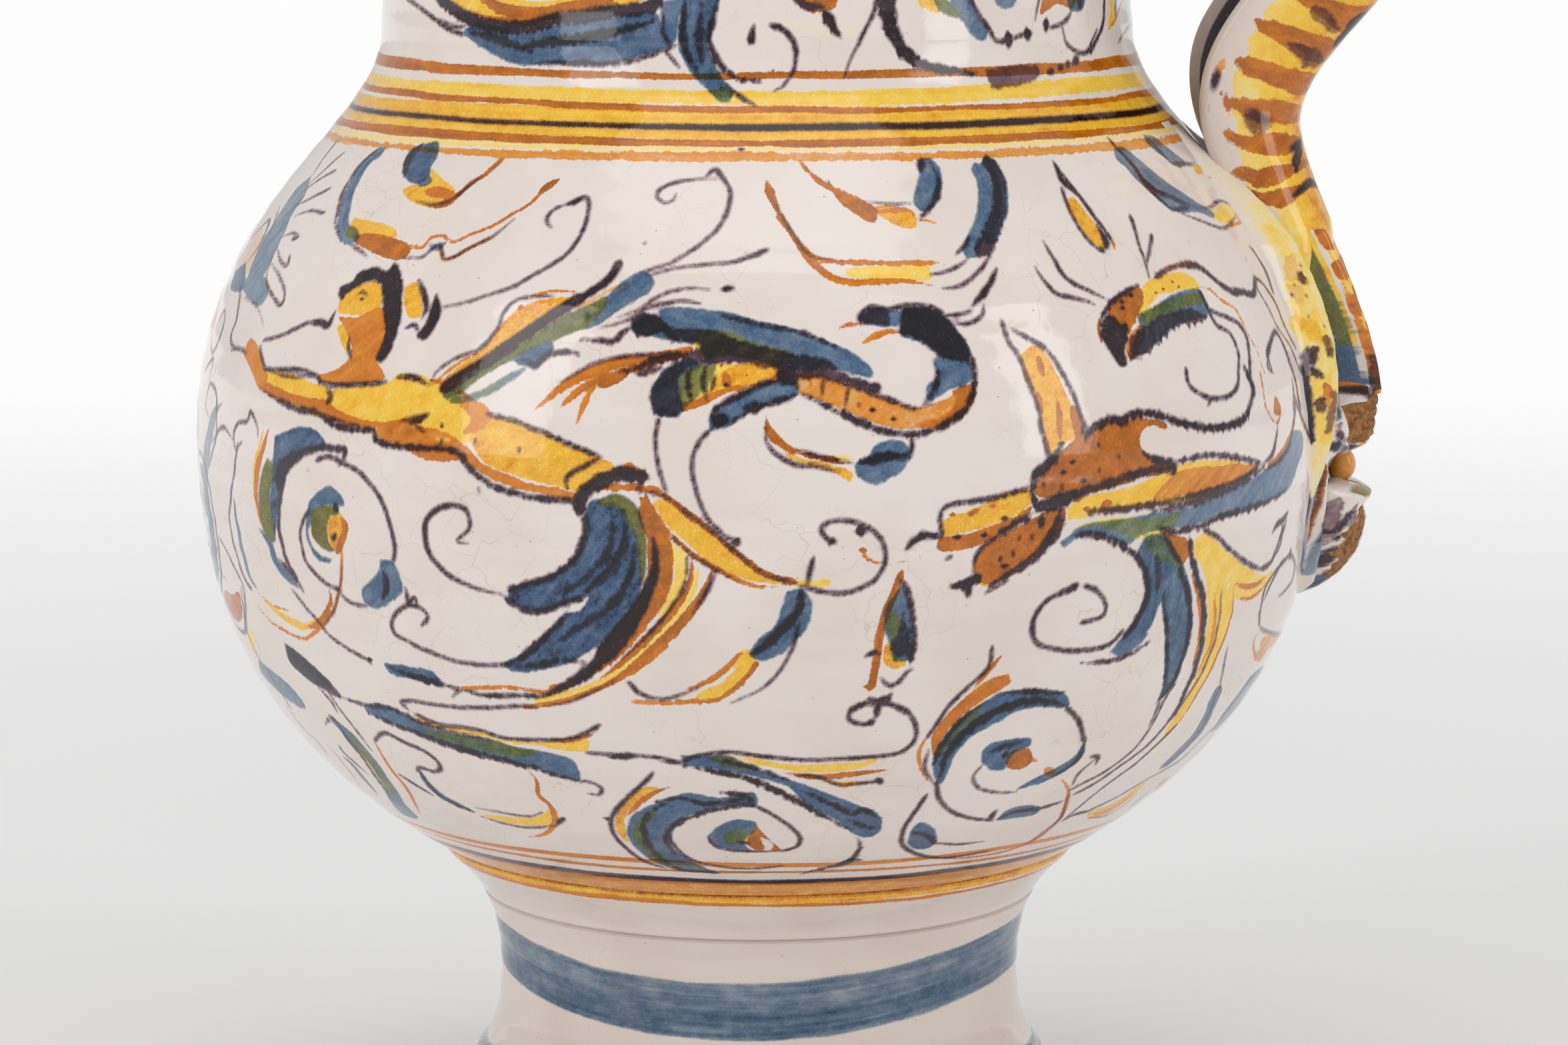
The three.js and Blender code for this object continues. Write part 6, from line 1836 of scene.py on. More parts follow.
    # Curls
    s.line("988,-20 1000,40 1032,74 1082,96 1132,96 1172,76 1192,42 1196,-10", 0.62, tone=(0.85, 0.8), shape="plain")
    s.line("1088,98 1072,128", 0.5, tone=(0.7, 0.6))
    s.line("1270,992 1276,922 1292,852 1322,792 1372,732 1396,710 1410,752 1402,812 1354,872", 0.5, tone=(0.75, 0.6),
           shape="plain")
    s.line("1280,-10 1290,62 1302,132 1332,190 1352,182 1356,132 1338,92", 0.55, "orange", "plain", (0.7, 0.8))
    s.line("1340,100 1352,130 1350,170", 1.0, "orange", tone=(0.85, 0.8))
    s.line("1346,196 1340,262 1322,322 1284,356", 0.75, tone=(0.85, 0.85))
    s.line("1412,180 1402,232 1376,290 1342,336 1306,366", 1.1, "orange", "plain", (0.75, 0.75))
    s.line("1406,52 1416,122 1408,192 1400,232", 0.6, tone=(0.7, 0.65))
    s.line("1408,62 1432,152 1460,222 1482,272", 0.7, tone=(0.7, 0.75))
    s.line("1458,-10 1464,82 1472,182 1482,272", 0.8, tone=(0.75, 0.8), shape="plain")
    s.line("1496,380 1478,462 1462,562 1456,662 1462,742", 1.5, "blue", "both", (0.4, 0.35), streaks=0.6)
    s.line("390,1040 394,962 432,902 492,862 542,836 556,832", 0.62, tone=(0.8, 0.85), shape="plain")
    s.line("588,832 640,852 672,906 660,952 622,966 574,980", 0.6, tone=(0.85, 0.65), shape="plain")


paintBeast()


# Slanting blades and the first C-scroll along the belly's lower left
def paintLowerLeft():
    s = Sheet("lowerLeft")
    s.fill("315,242 360,230 420,255 490,288 560,318 640,334 720,345 800,370 880,385 940,398 1000,420 1022,482 960,466 "
           "900,450 860,436 760,412 660,386 560,352 480,322 400,292 340,266", "blue", 0.66)
    s.fill("470,300 560,322 640,336 720,348 800,372 880,388 840,408 760,398 640,366 540,336", "yellow", 0.5, rough=0.3)
    s.line("330,262 400,294 480,324 560,354 660,388 760,414 860,438 920,458 1022,486", 1.1, tone=(0.85, 0.9), rough=0.4,
           drip=0.3)
    s.line("320,234 380,240 440,262 500,292 600,322 700,344", 0.7, tone=(0.7, 0.5), rough=0.3)
    s.fill("480,266 560,300 680,320 780,348 900,356 1040,346 1046,386 980,386 900,372 800,360 700,338 560,312 500,290",
           "yellow", 0.6)
    s.line("480,264 560,298 680,315 780,344 900,350 990,346 1050,322 1086,300", 0.6, tone=(0.5, 0.9), shape="plain")
    s.line("900,354 990,350 1046,338 1074,324", 0.9, "orange", tone=(0.5, 0.9))
    s.line("1042,392 1120,398 1216,402 1290,410 1352,426", 0.6, tone=(0.8, 0.8), shape="plain")
    s.line("1114,406 1216,400", 1.2, tone=(0.9, 0.9))
    s.line("1022,482 1060,490 1092,508 1082,530 1046,524", 0.6, tone=(0.85, 0.7))
    s.fill("200,280 230,290 290,340 340,400 400,480 450,556 492,604 440,590 400,540 370,480 320,410 270,360 240,320",
           "blue", 0.55)
    s.fill("262,322 312,372 372,450 422,520 400,520 352,452 292,382", "yellow", 0.5)
    s.line("190,296 214,278 262,342 322,422 372,492 412,552", 0.8, tone=(0.8, 0.6), rough=0.3)
    s.line("346,346 400,440 452,502 502,592", 0.9, "orange", tone=(0.85, 0.6))
    s.line("246,402 282,432 322,482 362,526", 1.5, "blue", tone=(0.55, 0.5))
    s.line("172,342 232,402 302,492 342,522", 0.6, "orange", tone=(0.6, 0.6))
    s.line("236,366 252,392 332,462", 0.6, tone=(0.7, 0.6))
    s.line("190,180 262,282 342,384", 0.45, tone=(0.7, 0.5))
    s.line("60,232 122,312 172,362 202,402", 0.4, tone=(0.5, 0.5))
    s.line("350,352 382,326 440,354 500,380 546,410 565,440 545,454 500,440 488,452", 0.62, tone=(0.85, 0.7),
           shape="plain")
    s.line("430,462 482,494 540,530", 0.75, tone=(0.75, 0.85))
    s.line("496,448 520,488 580,540 670,582", 1.6, "blue", tone=(0.7, 0.6))
    s.line("498,456 552,522 612,560 672,584", 0.7, tone=(0.85, 0.7), rough=0.3)
    s.fill("700,592 780,600 850,604 900,594 926,570 938,600 940,626 900,630 820,625 740,610", "yellow", 0.6)
    s.line("680,572 760,586 850,600 900,586", 0.4, tone=(0.5, 0.5))
    s.line("700,600 780,624 860,636 946,630", 0.45, tone=(0.5, 0.7))
    s.line("846,446 878,482 886,530 920,560 940,602 932,636 900,660 850,668", 1.0, "orange", tone=(0.95, 0.5))
    s.line("946,626 970,604", 0.9, tone=(0.9, 0.9))
    # C-scroll
    s.fill("1242,500 1280,510 1240,540 1190,570 1166,620 1182,680 1150,660 1136,610 1160,560 1200,520", "yellow", 0.85)
    s.line("1322,502 1270,520 1222,552 1172,602", 0.9, "orange", tone=(0.9, 0.6))
    s.line("1262,458 1220,500 1166,550 1126,602 1130,652 1170,700 1232,745 1302,768", 0.65, tone=(0.85, 0.5),
           shape="plain")
    s.line("1100,606 1128,610", 0.7, tone=(0.8, 0.8))
    s.fill("1300,545 1380,524 1480,540 1590,522 1592,570 1520,562 1440,582 1370,602 1330,640 1322,690 1362,730 "
           "1442,772 1480,786 1400,782 1340,775 1262,745 1202,700 1176,650 1192,600 1240,570", "blue", 0.66)
    s.fill("1232,590 1272,590 1240,640 1262,700 1332,752 1292,752 1222,702 1194,650", "yellow", 0.5)
    s.line("1300,556 1236,606 1240,680 1300,748 1382,780", 0.9, tone=(0.8, 0.7), rough=0.35)
    s.line("1272,552 1352,540 1432,560 1500,552 1568,540", 0.8, tone=(0.8, 0.8), rough=0.35)
    s.line("1592,566 1500,572 1420,590 1342,622 1302,672 1330,722", 0.9, tone=(0.85, 0.6), rough=0.3, drip=0.3)


paintLowerLeft()


# The scrolls along the belly's lower right
def paintLowerRight():
    s = Sheet("lowerRight")
    s.line("180,570 240,562 288,566 342,592 402,632 436,670 420,700 370,714", 0.6, tone=(0.9, 0.7), shape="plain")
    s.line("180,522 255,532 288,562", 1.2, tone=(0.9, 0.8), rough=0.3)
    s.line("0,640 22,692 80,740 180,764 280,770 380,760", 0.5, tone=(0.7, 0.5), shape="plain")
    s.fill("135,666 170,632 230,610 290,620 284,650 250,680 272,714 200,706 150,690", "blue", 0.66)
    s.fill("180,662 250,640 262,680 200,690", "yellow", 0.5)
    s.fill("296,634 342,680 376,708 340,712 346,690 304,666 320,702 300,712 264,690 270,660", "orange", 0.92)
    s.fill("258,676 296,656 316,700 290,704", "yellow", 0.85)
    s.line("135,666 152,692 202,710 300,714 372,712", 0.55, tone=(0.85, 0.6))
    s.line("232,680 270,690", 0.9, tone=(0.85, 0.8))
    # Blade with its feathers and the curl above
    s.fill("50,402 120,400 200,402 260,430 330,460 400,480 460,500 540,530 620,560 672,580 702,610 692,652 642,666 "
           "590,642 560,612 500,582 440,542 400,502 340,482 260,462 180,450 120,440 60,430", "blue", 0.7)
    s.fill("140,402 202,402 262,428 302,440 240,446 172,430", "yellow", 0.5)
    s.line("60,434 150,452 262,476 350,512 440,556 520,602 602,642", 1.1, tone=(0.9, 0.85), rough=0.4, drip=0.35)
    s.line("130,410 212,424 302,446 402,482", 0.7, tone=(0.75, 0.6), rough=0.35)
    s.line("452,522 540,560 600,590 640,580 700,604", 0.9, tone=(0.85, 0.8), rough=0.4)
    s.line("600,612 642,632 692,640", 0.8, tone=(0.8, 0.8), rough=0.4)
    s.fill("220,402 300,412 400,430 500,430 620,422 694,410 642,440 560,452 460,456 380,446 300,430", "yellow", 0.55)
    s.fill("500,476 560,486 642,482 600,502 560,502", "yellow", 0.8)
    s.line("380,456 480,470 600,462 726,446", 1.1, "orange", tone=(0.6, 0.95))
    s.line("420,462 500,472 570,496 690,484", 0.55, tone=(0.6, 0.9), shape="plain")
    s.line("684,474 704,490", 1.1, tone=(0.9, 0.9))
    s.line("-20,420 40,424 100,402 202,390 320,404 452,415 560,412 700,402 762,390 802,360 816,320 800,272 762,242 "
           "700,230 642,236 602,256 598,284 640,298 672,290", 0.62, tone=(0.7, 0.9), shape="plain")
    s.line("650,304 676,284", 1.1, tone=(0.9, 0.9))
    s.line("692,218 684,276", 1.1, tone=(0.9, 0.9))
    s.line("684,226 732,206", 0.9, tone=(0.9, 0.9))
    s.line("622,668 632,702 602,740 540,762 440,786", 0.9, tone=(0.9, 0.6), rough=0.3)
    s.line("542,768 602,744 640,742", 1.4, "blue", tone=(0.6, 0.5))
    # Second C-scroll
    s.line("1062,44 1050,112 980,180 920,240 880,300 850,342", 0.55, tone=(0.8, 0.6), shape="plain")
    s.line("1092,74 1042,130 1002,182", 0.9, "orange", tone=(0.9, 0.6))
    s.fill("1116,134 1060,148 1000,190 940,240 890,300 862,352 878,412 902,340 960,276 1020,226 1090,186 1122,160",
           "orange", 0.75)
    s.fill("1100,136 1050,162 980,222 920,290 900,320 930,260 990,196 1060,148", "yellow", 0.8)
    s.fill("1092,192 1180,184 1280,190 1310,214 1300,242 1200,240 1130,262 1060,300 990,342 940,402 912,462 890,492 "
           "870,440 880,380 920,322 980,262 1040,222", "blue", 0.68)
    s.fill("1030,226 980,264 930,322 890,380 880,420 912,380 962,312 1022,262", "yellow", 0.45)
    s.line("1302,236 1200,222 1112,240 1032,282 962,336 912,402 892,470", 1.5, tone=(0.85, 0.8), rough=0.4, streaks=0.4,
           drip=0.3)
    s.line("1092,200 1180,192 1292,196", 0.9, tone=(0.85, 0.8), rough=0.35)
    s.line("1040,226 962,284 902,360 872,430", 0.9, tone=(0.8, 0.6), rough=0.3)
    s.line("862,322 826,382 830,442 860,492", 0.6, "orange", tone=(0.5, 0.6))
    s.line("856,380 842,442 872,492", 0.5, tone=(0.6, 0.7))
    s.line("882,482 890,540 930,582 990,604 1062,612", 0.62, tone=(0.85, 0.8), shape="plain")
    s.line("1300,240 1340,282 1362,352", 0.7, tone=(0.75, 0.85), shape="plain")
    s.line("1362,356 1342,402 1290,442 1230,472 1146,508", 2.1, "blue", tone=(0.66, 0.6))
    s.line("1364,352 1338,412 1280,456 1222,486", 0.7, tone=(0.7, 0.5), rough=0.35)
    s.fill("1030,422 1030,390 1060,360 1130,345 1182,342 1186,366 1140,386 1112,420 1100,446 1060,446", "blue", 0.68)
    s.line("1046,392 1100,372 1162,352", 1.1, tone=(0.6, 0.6), rough=0.35)
    s.fill("1104,424 1130,384 1180,376 1194,410 1162,442 1116,442", "orange", 0.9)
    s.fill("1116,412 1142,396 1152,420 1130,432", "yellow", 0.9)
    s.line("1094,398 1112,396", 1.3, tone=(0.95, 0.9))
    s.line("1180,410 1214,420", 0.6, "orange", tone=(0.7, 0.5))
    s.line("1030,430 1000,470 1020,506 1080,520 1142,518", 0.5, tone=(0.7, 0.5))
    s.line("1232,440 1262,462", 1.6, "orange", tone=(0.5, 0.5))
    s.line("1262,478 1292,482 1310,522 1290,592 1240,642 1162,692 1062,722 940,736 890,730", 0.95, "orange", "both",
           (0.6, 0.8))
    s.line("1310,522 1284,602 1222,662 1142,702", 0.4, tone=(0.6, 0.5))
    s.fill("1076,612 1106,582 1160,564 1212,566 1206,590 1150,602", "blue", 0.62)
    s.line("1052,612 1074,578", 1.0, tone=(0.9, 0.9))
    s.line("1082,606 1142,582 1212,574 1292,550", 0.8, tone=(0.8, 0.6), rough=0.3)
    s.line("1286,616 1330,592 1384,580", 0.75, tone=(0.85, 0.5))
    s.line("1320,500 1342,460 1392,414", 0.5, tone=(0.6, 0.8))
    s.line("1378,402 1404,404 1398,430", 0.7, tone=(0.8, 0.8))
    # Loop at the left of it
    s.line("850,526 820,570 780,630 766,680 792,710 850,730 930,732 1052,712", 0.65, tone=(0.85, 0.6), shape="plain")
    s.line("860,684 950,690 1042,680", 0.5, tone=(0.8, 0.4))
    s.fill("800,640 830,618 872,640 876,688 830,706 790,690", "blue", 0.66)
    s.line("800,650 852,662 880,690", 0.8, tone=(0.6, 0.5), rough=0.4)
    # Tips of the spiral and the leaf above
    s.line("1186,-20 1210,34 1300,56 1400,50 1452,30 1486,-10", 0.62, tone=(0.75, 0.7), shape="plain")
    s.fill("1446,62 1502,0 1566,-4 1530,46 1480,76", "blue", 0.6)
    s.line("1352,100 1412,94 1480,82 1540,50 1580,24", 0.6, tone=(0.85, 0.6), rough=0.3)


paintLowerRight()


# The neck: a looped ribbon with a blue stem, drops on a thread, and the curls between
def paintNeck():
    s = Sheet("neckLeft")
    s.fill("250,-60 300,0 340,32 400,62 470,78 560,88 640,78 760,56 860,40 960,20 1030,-8 960,-50 860,-40 740,-10 "
           "640,6 560,0 470,-30 400,-70", "yellow", 0.66, streaks=0.3)
    s.line("390,-50 440,0 480,30 560,46 640,50 740,30 830,10 920,-20", 1.8, "orange", "plain", (0.85, 0.8))
    s.line("360,50 470,72 580,82 680,62 800,46 900,30", 1.0, "orange", tone=(0.7, 0.7))
    s.line("200,-70 266,0 320,42 380,76 452,96 540,104 612,96 700,72 800,60 900,46 1000,34 1062,20 1096,-20", 1.9,
           tone=(0.9, 0.75), shape="plain", rough=0.3, streaks=0.5)
    s.fill("350,112 400,90 470,100 540,120 600,124 680,100 800,76 900,66 1000,50 1060,44 1088,72 1112,170 1062,196 "
           "1002,216 900,240 800,246 700,240 600,246 520,236 450,202 390,162 350,132", "blue", 0.66, streaks=0.4,
           angleOfStreaks=0.2)
    s.line("540,184 640,162 760,150 860,134 960,112 1062,80", 1.5, tone=(0.75, 0.8), rough=0.35, streaks=0.5)
    s.line("366,122 450,142 540,170 600,196", 1.1, tone=(0.75, 0.5), rough=0.35)
    s.line("600,240 700,238 860,242 960,234 1062,206 1146,172", 0.75, tone=(0.45, 0.9), rough=0.3)
    s.line("126,-10 180,30 240,76 290,110 346,132", 0.62, tone=(0.7, 0.8), shape="plain")
    s.line("240,70 300,96 352,104", 0.5, tone=(0.6, 0.5))
    s.fill("1092,10 1182,-6 1162,62 1150,150 1110,172 1096,100", "blue", 0.6)
    s.fill("1172,-40 1312,-40 1292,62 1280,132 1272,182 1292,242 1322,292 1362,342 1350,386 1310,380 1270,340 "
           "1220,290 1182,232 1160,172 1164,82", "blue", 0.72, streaks=0.4, angleOfStreaks=1.5)
    s.line("1186,0 1176,120 1190,200 1232,272", 1.0, tone=(0.6, 0.7), rough=0.35)
    s.line("1246,20 1240,120 1246,240", 1.3, tone=(0.5, 0.5), rough=0.4, streaks=0.5)
    s.line("1314,-30 1286,80 1276,150 1300,222 1340,270 1390,300 1470,308", 0.95, tone=(0.9, 0.6), rough=0.3)
    s.line("1104,50 1100,120 1130,178 1112,192 1162,256", 0.55, tone=(0.7, 0.6))
    s.line("1340,326 1400,372 1452,402", 0.65, tone=(0.8, 0.7))
    s.fill("1300,330 1340,330 1358,372 1322,376", "yellow", 0.6)
    s.line("1446,94 1430,162", 1.2, tone=(0.85, 0.95), shape="swell")
    s = Sheet("neckRight")
    s.line("92,96 130,108 172,150 186,200 176,268 140,322 105,346", 0.85, tone=(0.9, 0.6), shape="fade")
    s.fill("140,-60 200,20 252,46 302,42 332,32 346,-20 300,-70", "orange", 0.9)
    s.line("170,-20 232,24 292,24", 1.3, tone=(0.6, 0.7), rough=0.35)
    s.line("280,30 306,72 352,144", 1.5, tone=(0.9, 0.8), rough=0.35, streaks=0.5)
    s.fill("100,50 200,80 300,106 430,104 420,130 300,142 190,110", "yellow", 0.12)
    s.line("502,-30 480,50 450,110 420,172 390,232 370,292", 0.7, tone=(0.8, 0.7), shape="fade")
    s.line("532,-60 536,0 542,80 562,142 602,202 662,242 742,262 872,282", 2.5, tone=(0.98, 0.9), shape="fade",
           rough=0.35)
    s.line("486,-20 520,30 530,120", 1.8, tone=(0.85, 0.8), rough=0.4, streaks=0.6)
    s.line("640,-40 680,10 740,44", 1.6, "yellow", tone=(0.7, 0.6))
    shape = "700,-30 760,30 822,62"
    s.line(shape, 1.8, "yellow", tone=(0.6, 0.5))
    s.line(shape, 1.8, "blue", tone=(0.5, 0.6))
    s.fill("780,-40 850,-20 882,62 914,112 902,152 860,136 820,80 776,36", "blue", 0.62, streaks=0.4)
    s.line("820,-60 852,0 882,52 922,112 950,156 986,156", 0.65, tone=(0.7, 0.75), shape="plain", rough=0.2)
    s.line("994,124 1000,178", 1.7, tone=(0.95, 0.95), rough=0.25)
    s.line("1068,108 1074,148", 1.8, tone=(0.95, 0.95), rough=0.25)
    s.line("1146,68 1140,118", 1.4, tone=(0.95, 0.95), rough=0.25)
    s.line("1010,150 1040,136 1066,130", 0.5, tone=(0.7, 0.7))
    s.line("1148,108 1202,90 1236,56 1242,20", 0.55, tone=(0.7, 0.7))
    s.fill("940,-40 1026,-40 1016,24 980,32 950,10", "blue", 0.5)
    s.fill("1222,-30 1290,-40 1288,32 1250,44 1230,20", "blue", 0.7)
    s.line("1272,-20 1276,28", 1.2, tone=(0.85, 0.8), rough=0.3)
    s.line("1372,-40 1366,70 1346,132 1310,202", 0.65, tone=(0.8, 0.7), shape="plain")
    s.line("1384,-40 1404,30 1396,70 1382,112", 2.0, "yellow", tone=(0.6, 0.6))
    s.line("1416,-40 1414,20 1412,70", 1.2, "blue", tone=(0.5, 0.5))
    s.line("1444,-10 1412,70 1380,116", 0.55, "orange", tone=(0.6, 0.6))
    s.line("1470,90 1446,120 1420,162", 0.5, tone=(0.5, 0.4))
    s.fill("905,266 1000,252 1100,250 1100,300 960,336 922,312", "manganese", 0.4, rough=0.3)
    for places in (
        "1146,280 1168,264",
        "1186,268 1204,248",
        "1216,252 1232,238",
    ):
        s.line(places, 1.0, tone=(0.9, 0.9))
    s.line("1240,246 1268,214", 1.1, tone=(0.9, 0.9))


paintNeck()


# The handle: yellow with brush stripes across it, white left bare beside its root
def paintHandle():
    u, v = handleU, handleV
    inset = 20.8 + 2 * grain(v * 0.5, u * 0.2, 3) - np.abs(u)
    yellow = pigments["yellow"]
    handleCanvas["cover"][..., yellow] = np.clip(0.5 + inset / 3, 0, 1)
    handleCanvas["tone"][..., yellow] = (0.86 - 0.4 * smooth(10, 20, np.abs(u))) * (1 + 0.3 * grain(u * 0.8,
                                                                                                    v * 0.8, 4))
    orange = dict(streaks=0.3, angleOfStreaks=0.3, rough=0.2, drip=0.1)
    # Above what the photograph shows the stripes go on in the same step
    for k in range(11):
        top = -4 - 7.7 * k
        wave = 0.8 * math.sin(k * 2.4)
        s = Flat(handleCanvas)
        s.fill(f"{-18 + wave},{top + 3} -12,{top + 2.2 + wave} -6,{top + 0.6} 0.5,{top - 1} 0.5,{top - 4.6} "
               f"-5,{top - 5.2 + wave} -10,{top - 3.8} -15,{top - 0.4}", "orange", 0.8, **orange)
    for k, place in enumerate((-2.5, -1.6, -3.4)):
        top = -10 - 23 * k
        s.fill(f"{place - 2},{top} {place + 0.6},{top + 1.4} {place + 2},{top - 1.6} {place + 0.4},{top - 4}",
               "manganese", 0.8)
    s = Sheet("handleRoot", onHandle, [handleCanvas])
    s.fill("520,-80 620,10 700,60 780,120 860,180 930,215 1010,225 1100,195 1200,140 1300,84 1390,26 1420,-30",
           "orange", 0.85, **orange)
    s.line("1180,10 1240,44 1310,22", 1.2, "yellow", tone=(0.8, 0.7))
    s.line("920,226 960,170 1010,130 1080,92 1140,64", 3.0, tone=(0.75, 0.7), rough=0.3)
    s.line("690,20 760,90 850,160", 2.2, tone=(0.3, 0.35), streaks=0.7, rough=0.5)
    s.fill("218,180 250,160 330,175 420,180 520,195 640,210 740,225 850,265 940,310 1020,315 1100,290 1190,240 "
           "1180,268 1080,345 980,410 880,460 800,490 720,490 640,470 560,440 480,400 400,350 320,300 260,240",
           "orange", 0.85, **orange)
    s.line("480,330 560,400 640,430 720,450", 2.6, tone=(0.3, 0.3), streaks=0.8, rough=0.5)
    s.line("850,310 900,266 950,226", 3.0, tone=(0.75, 0.75), rough=0.3)
    s.line("930,300 910,370 852,462", 2.0, tone=(0.75, 0.8), rough=0.3)
    s.fill("62,520 80,485 140,490 240,505 340,520 460,535 560,550 660,575 740,600 800,610 870,570 850,610 780,690 "
           "700,760 620,790 540,795 460,780 380,750 300,710 220,660 140,630 100,570", "orange", 0.82, **orange)
    s.fill("590,750 640,680 700,620 760,590 740,660 700,740 645,765", "manganese", 0.85)
    s.line("690,760 650,830 620,892", 0.6, tone=(0.6, 0.5))
    s = Sheet("handleFoot", onHandle, [handleCanvas])
    s.fill("630,460 660,445 700,480 780,490 880,490 960,485 1060,505 1160,525 1240,555 1262,590 1240,650 1210,700 "
           "1150,735 1060,735 960,720 880,690 820,640 740,600 680,580 650,530", "orange", 0.85, **orange)
    s.line("800,640 860,690 940,712", 1.8, tone=(0.4, 0.3), streaks=0.8, rough=0.5)
    s.fill("625,780 660,755 700,770 780,790 860,800 940,790 1020,810 1100,835 1190,850 1230,810 1255,780 1250,840 "
           "1210,930 1150,980 1060,1005 980,990 880,960 780,910 700,860 650,810", "orange", 0.82, **orange)
    s.fill("1090,960 1130,910 1200,880 1222,900 1180,960 1110,985", "manganese", 0.85)
    s.line("1206,900 1180,1000 1150,1090", 1.8, tone=(0.75, 0.75), shape="plain")
    s.line("1136,1098 1170,1096", 2.2, tone=(0.85, 0.85))
    s.fill("695,1100 760,1075 840,1080 940,1090 1060,1080 1180,1075 1260,1045 1295,1055 1260,1110 1180,1160 1100,1215 "
           "1000,1245 920,1230 840,1190 780,1160 730,1130", "orange", 0.88, **orange)
    s.fill("790,1215 860,1260 960,1280 1060,1275 1160,1265 1260,1300 1200,1370 1130,1415 1040,1410 960,1390 940,1350 "
           "860,1290", "orange", 0.85, **orange)
    s.fill("1160,1350 1200,1270 1260,1220 1320,1205 1370,1230 1380,1270 1300,1290 1220,1340", "manganese", 0.8)
    s.line("1370,1230 1430,1300 1440,1400", 0.9, tone=(0.5, 0.5))
    s.line("780,1240 860,1320 940,1370", 1.4, tone=(0.7, 0.6), rough=0.3)
    # White left bare, with thin ochre beside the edge
    s.fill("400,600 450,560 520,600 560,560 610,590 650,640 700,650 760,680 740,735 680,735 620,770 640,830 700,900 "
           "760,970 700,960 600,880 480,800 400,700", "none")
    s.fill("560,190 660,170 640,262 600,302 520,292 500,250", "orange", 0.4, streaks=0.5, rough=0.4)
    s.fill("462,480 520,500 500,572 456,540", "orange", 0.4, rough=0.4)
    s.fill("600,500 640,540 680,620 700,670 650,640 610,570", "yellow", 0.6, rough=0.4)
    s.line("552,350 572,326 620,326", 1.2, tone=(0.95, 0.95))


# Seen from the side the roll's crown is foreshortened, so the strokes there are drawn in towards the crown
def drawIn():
    u = handleU[0]
    source = np.sign(u) * (np.abs(u) + 4.6 * smooth(21, 6, np.abs(u)))
    column = np.clip(np.interp(source, u, np.arange(len(u))), 0, len(u) - 1.001)
    low = column.astype(int)
    share = (column - low)[None, :, None]
    for key in ("cover", "tone"):
        values = handleCanvas[key]
        handleCanvas[key][:] = values[:, low] * (1 - share) + values[:, low + 1] * share


paintHandle()
drawIn()


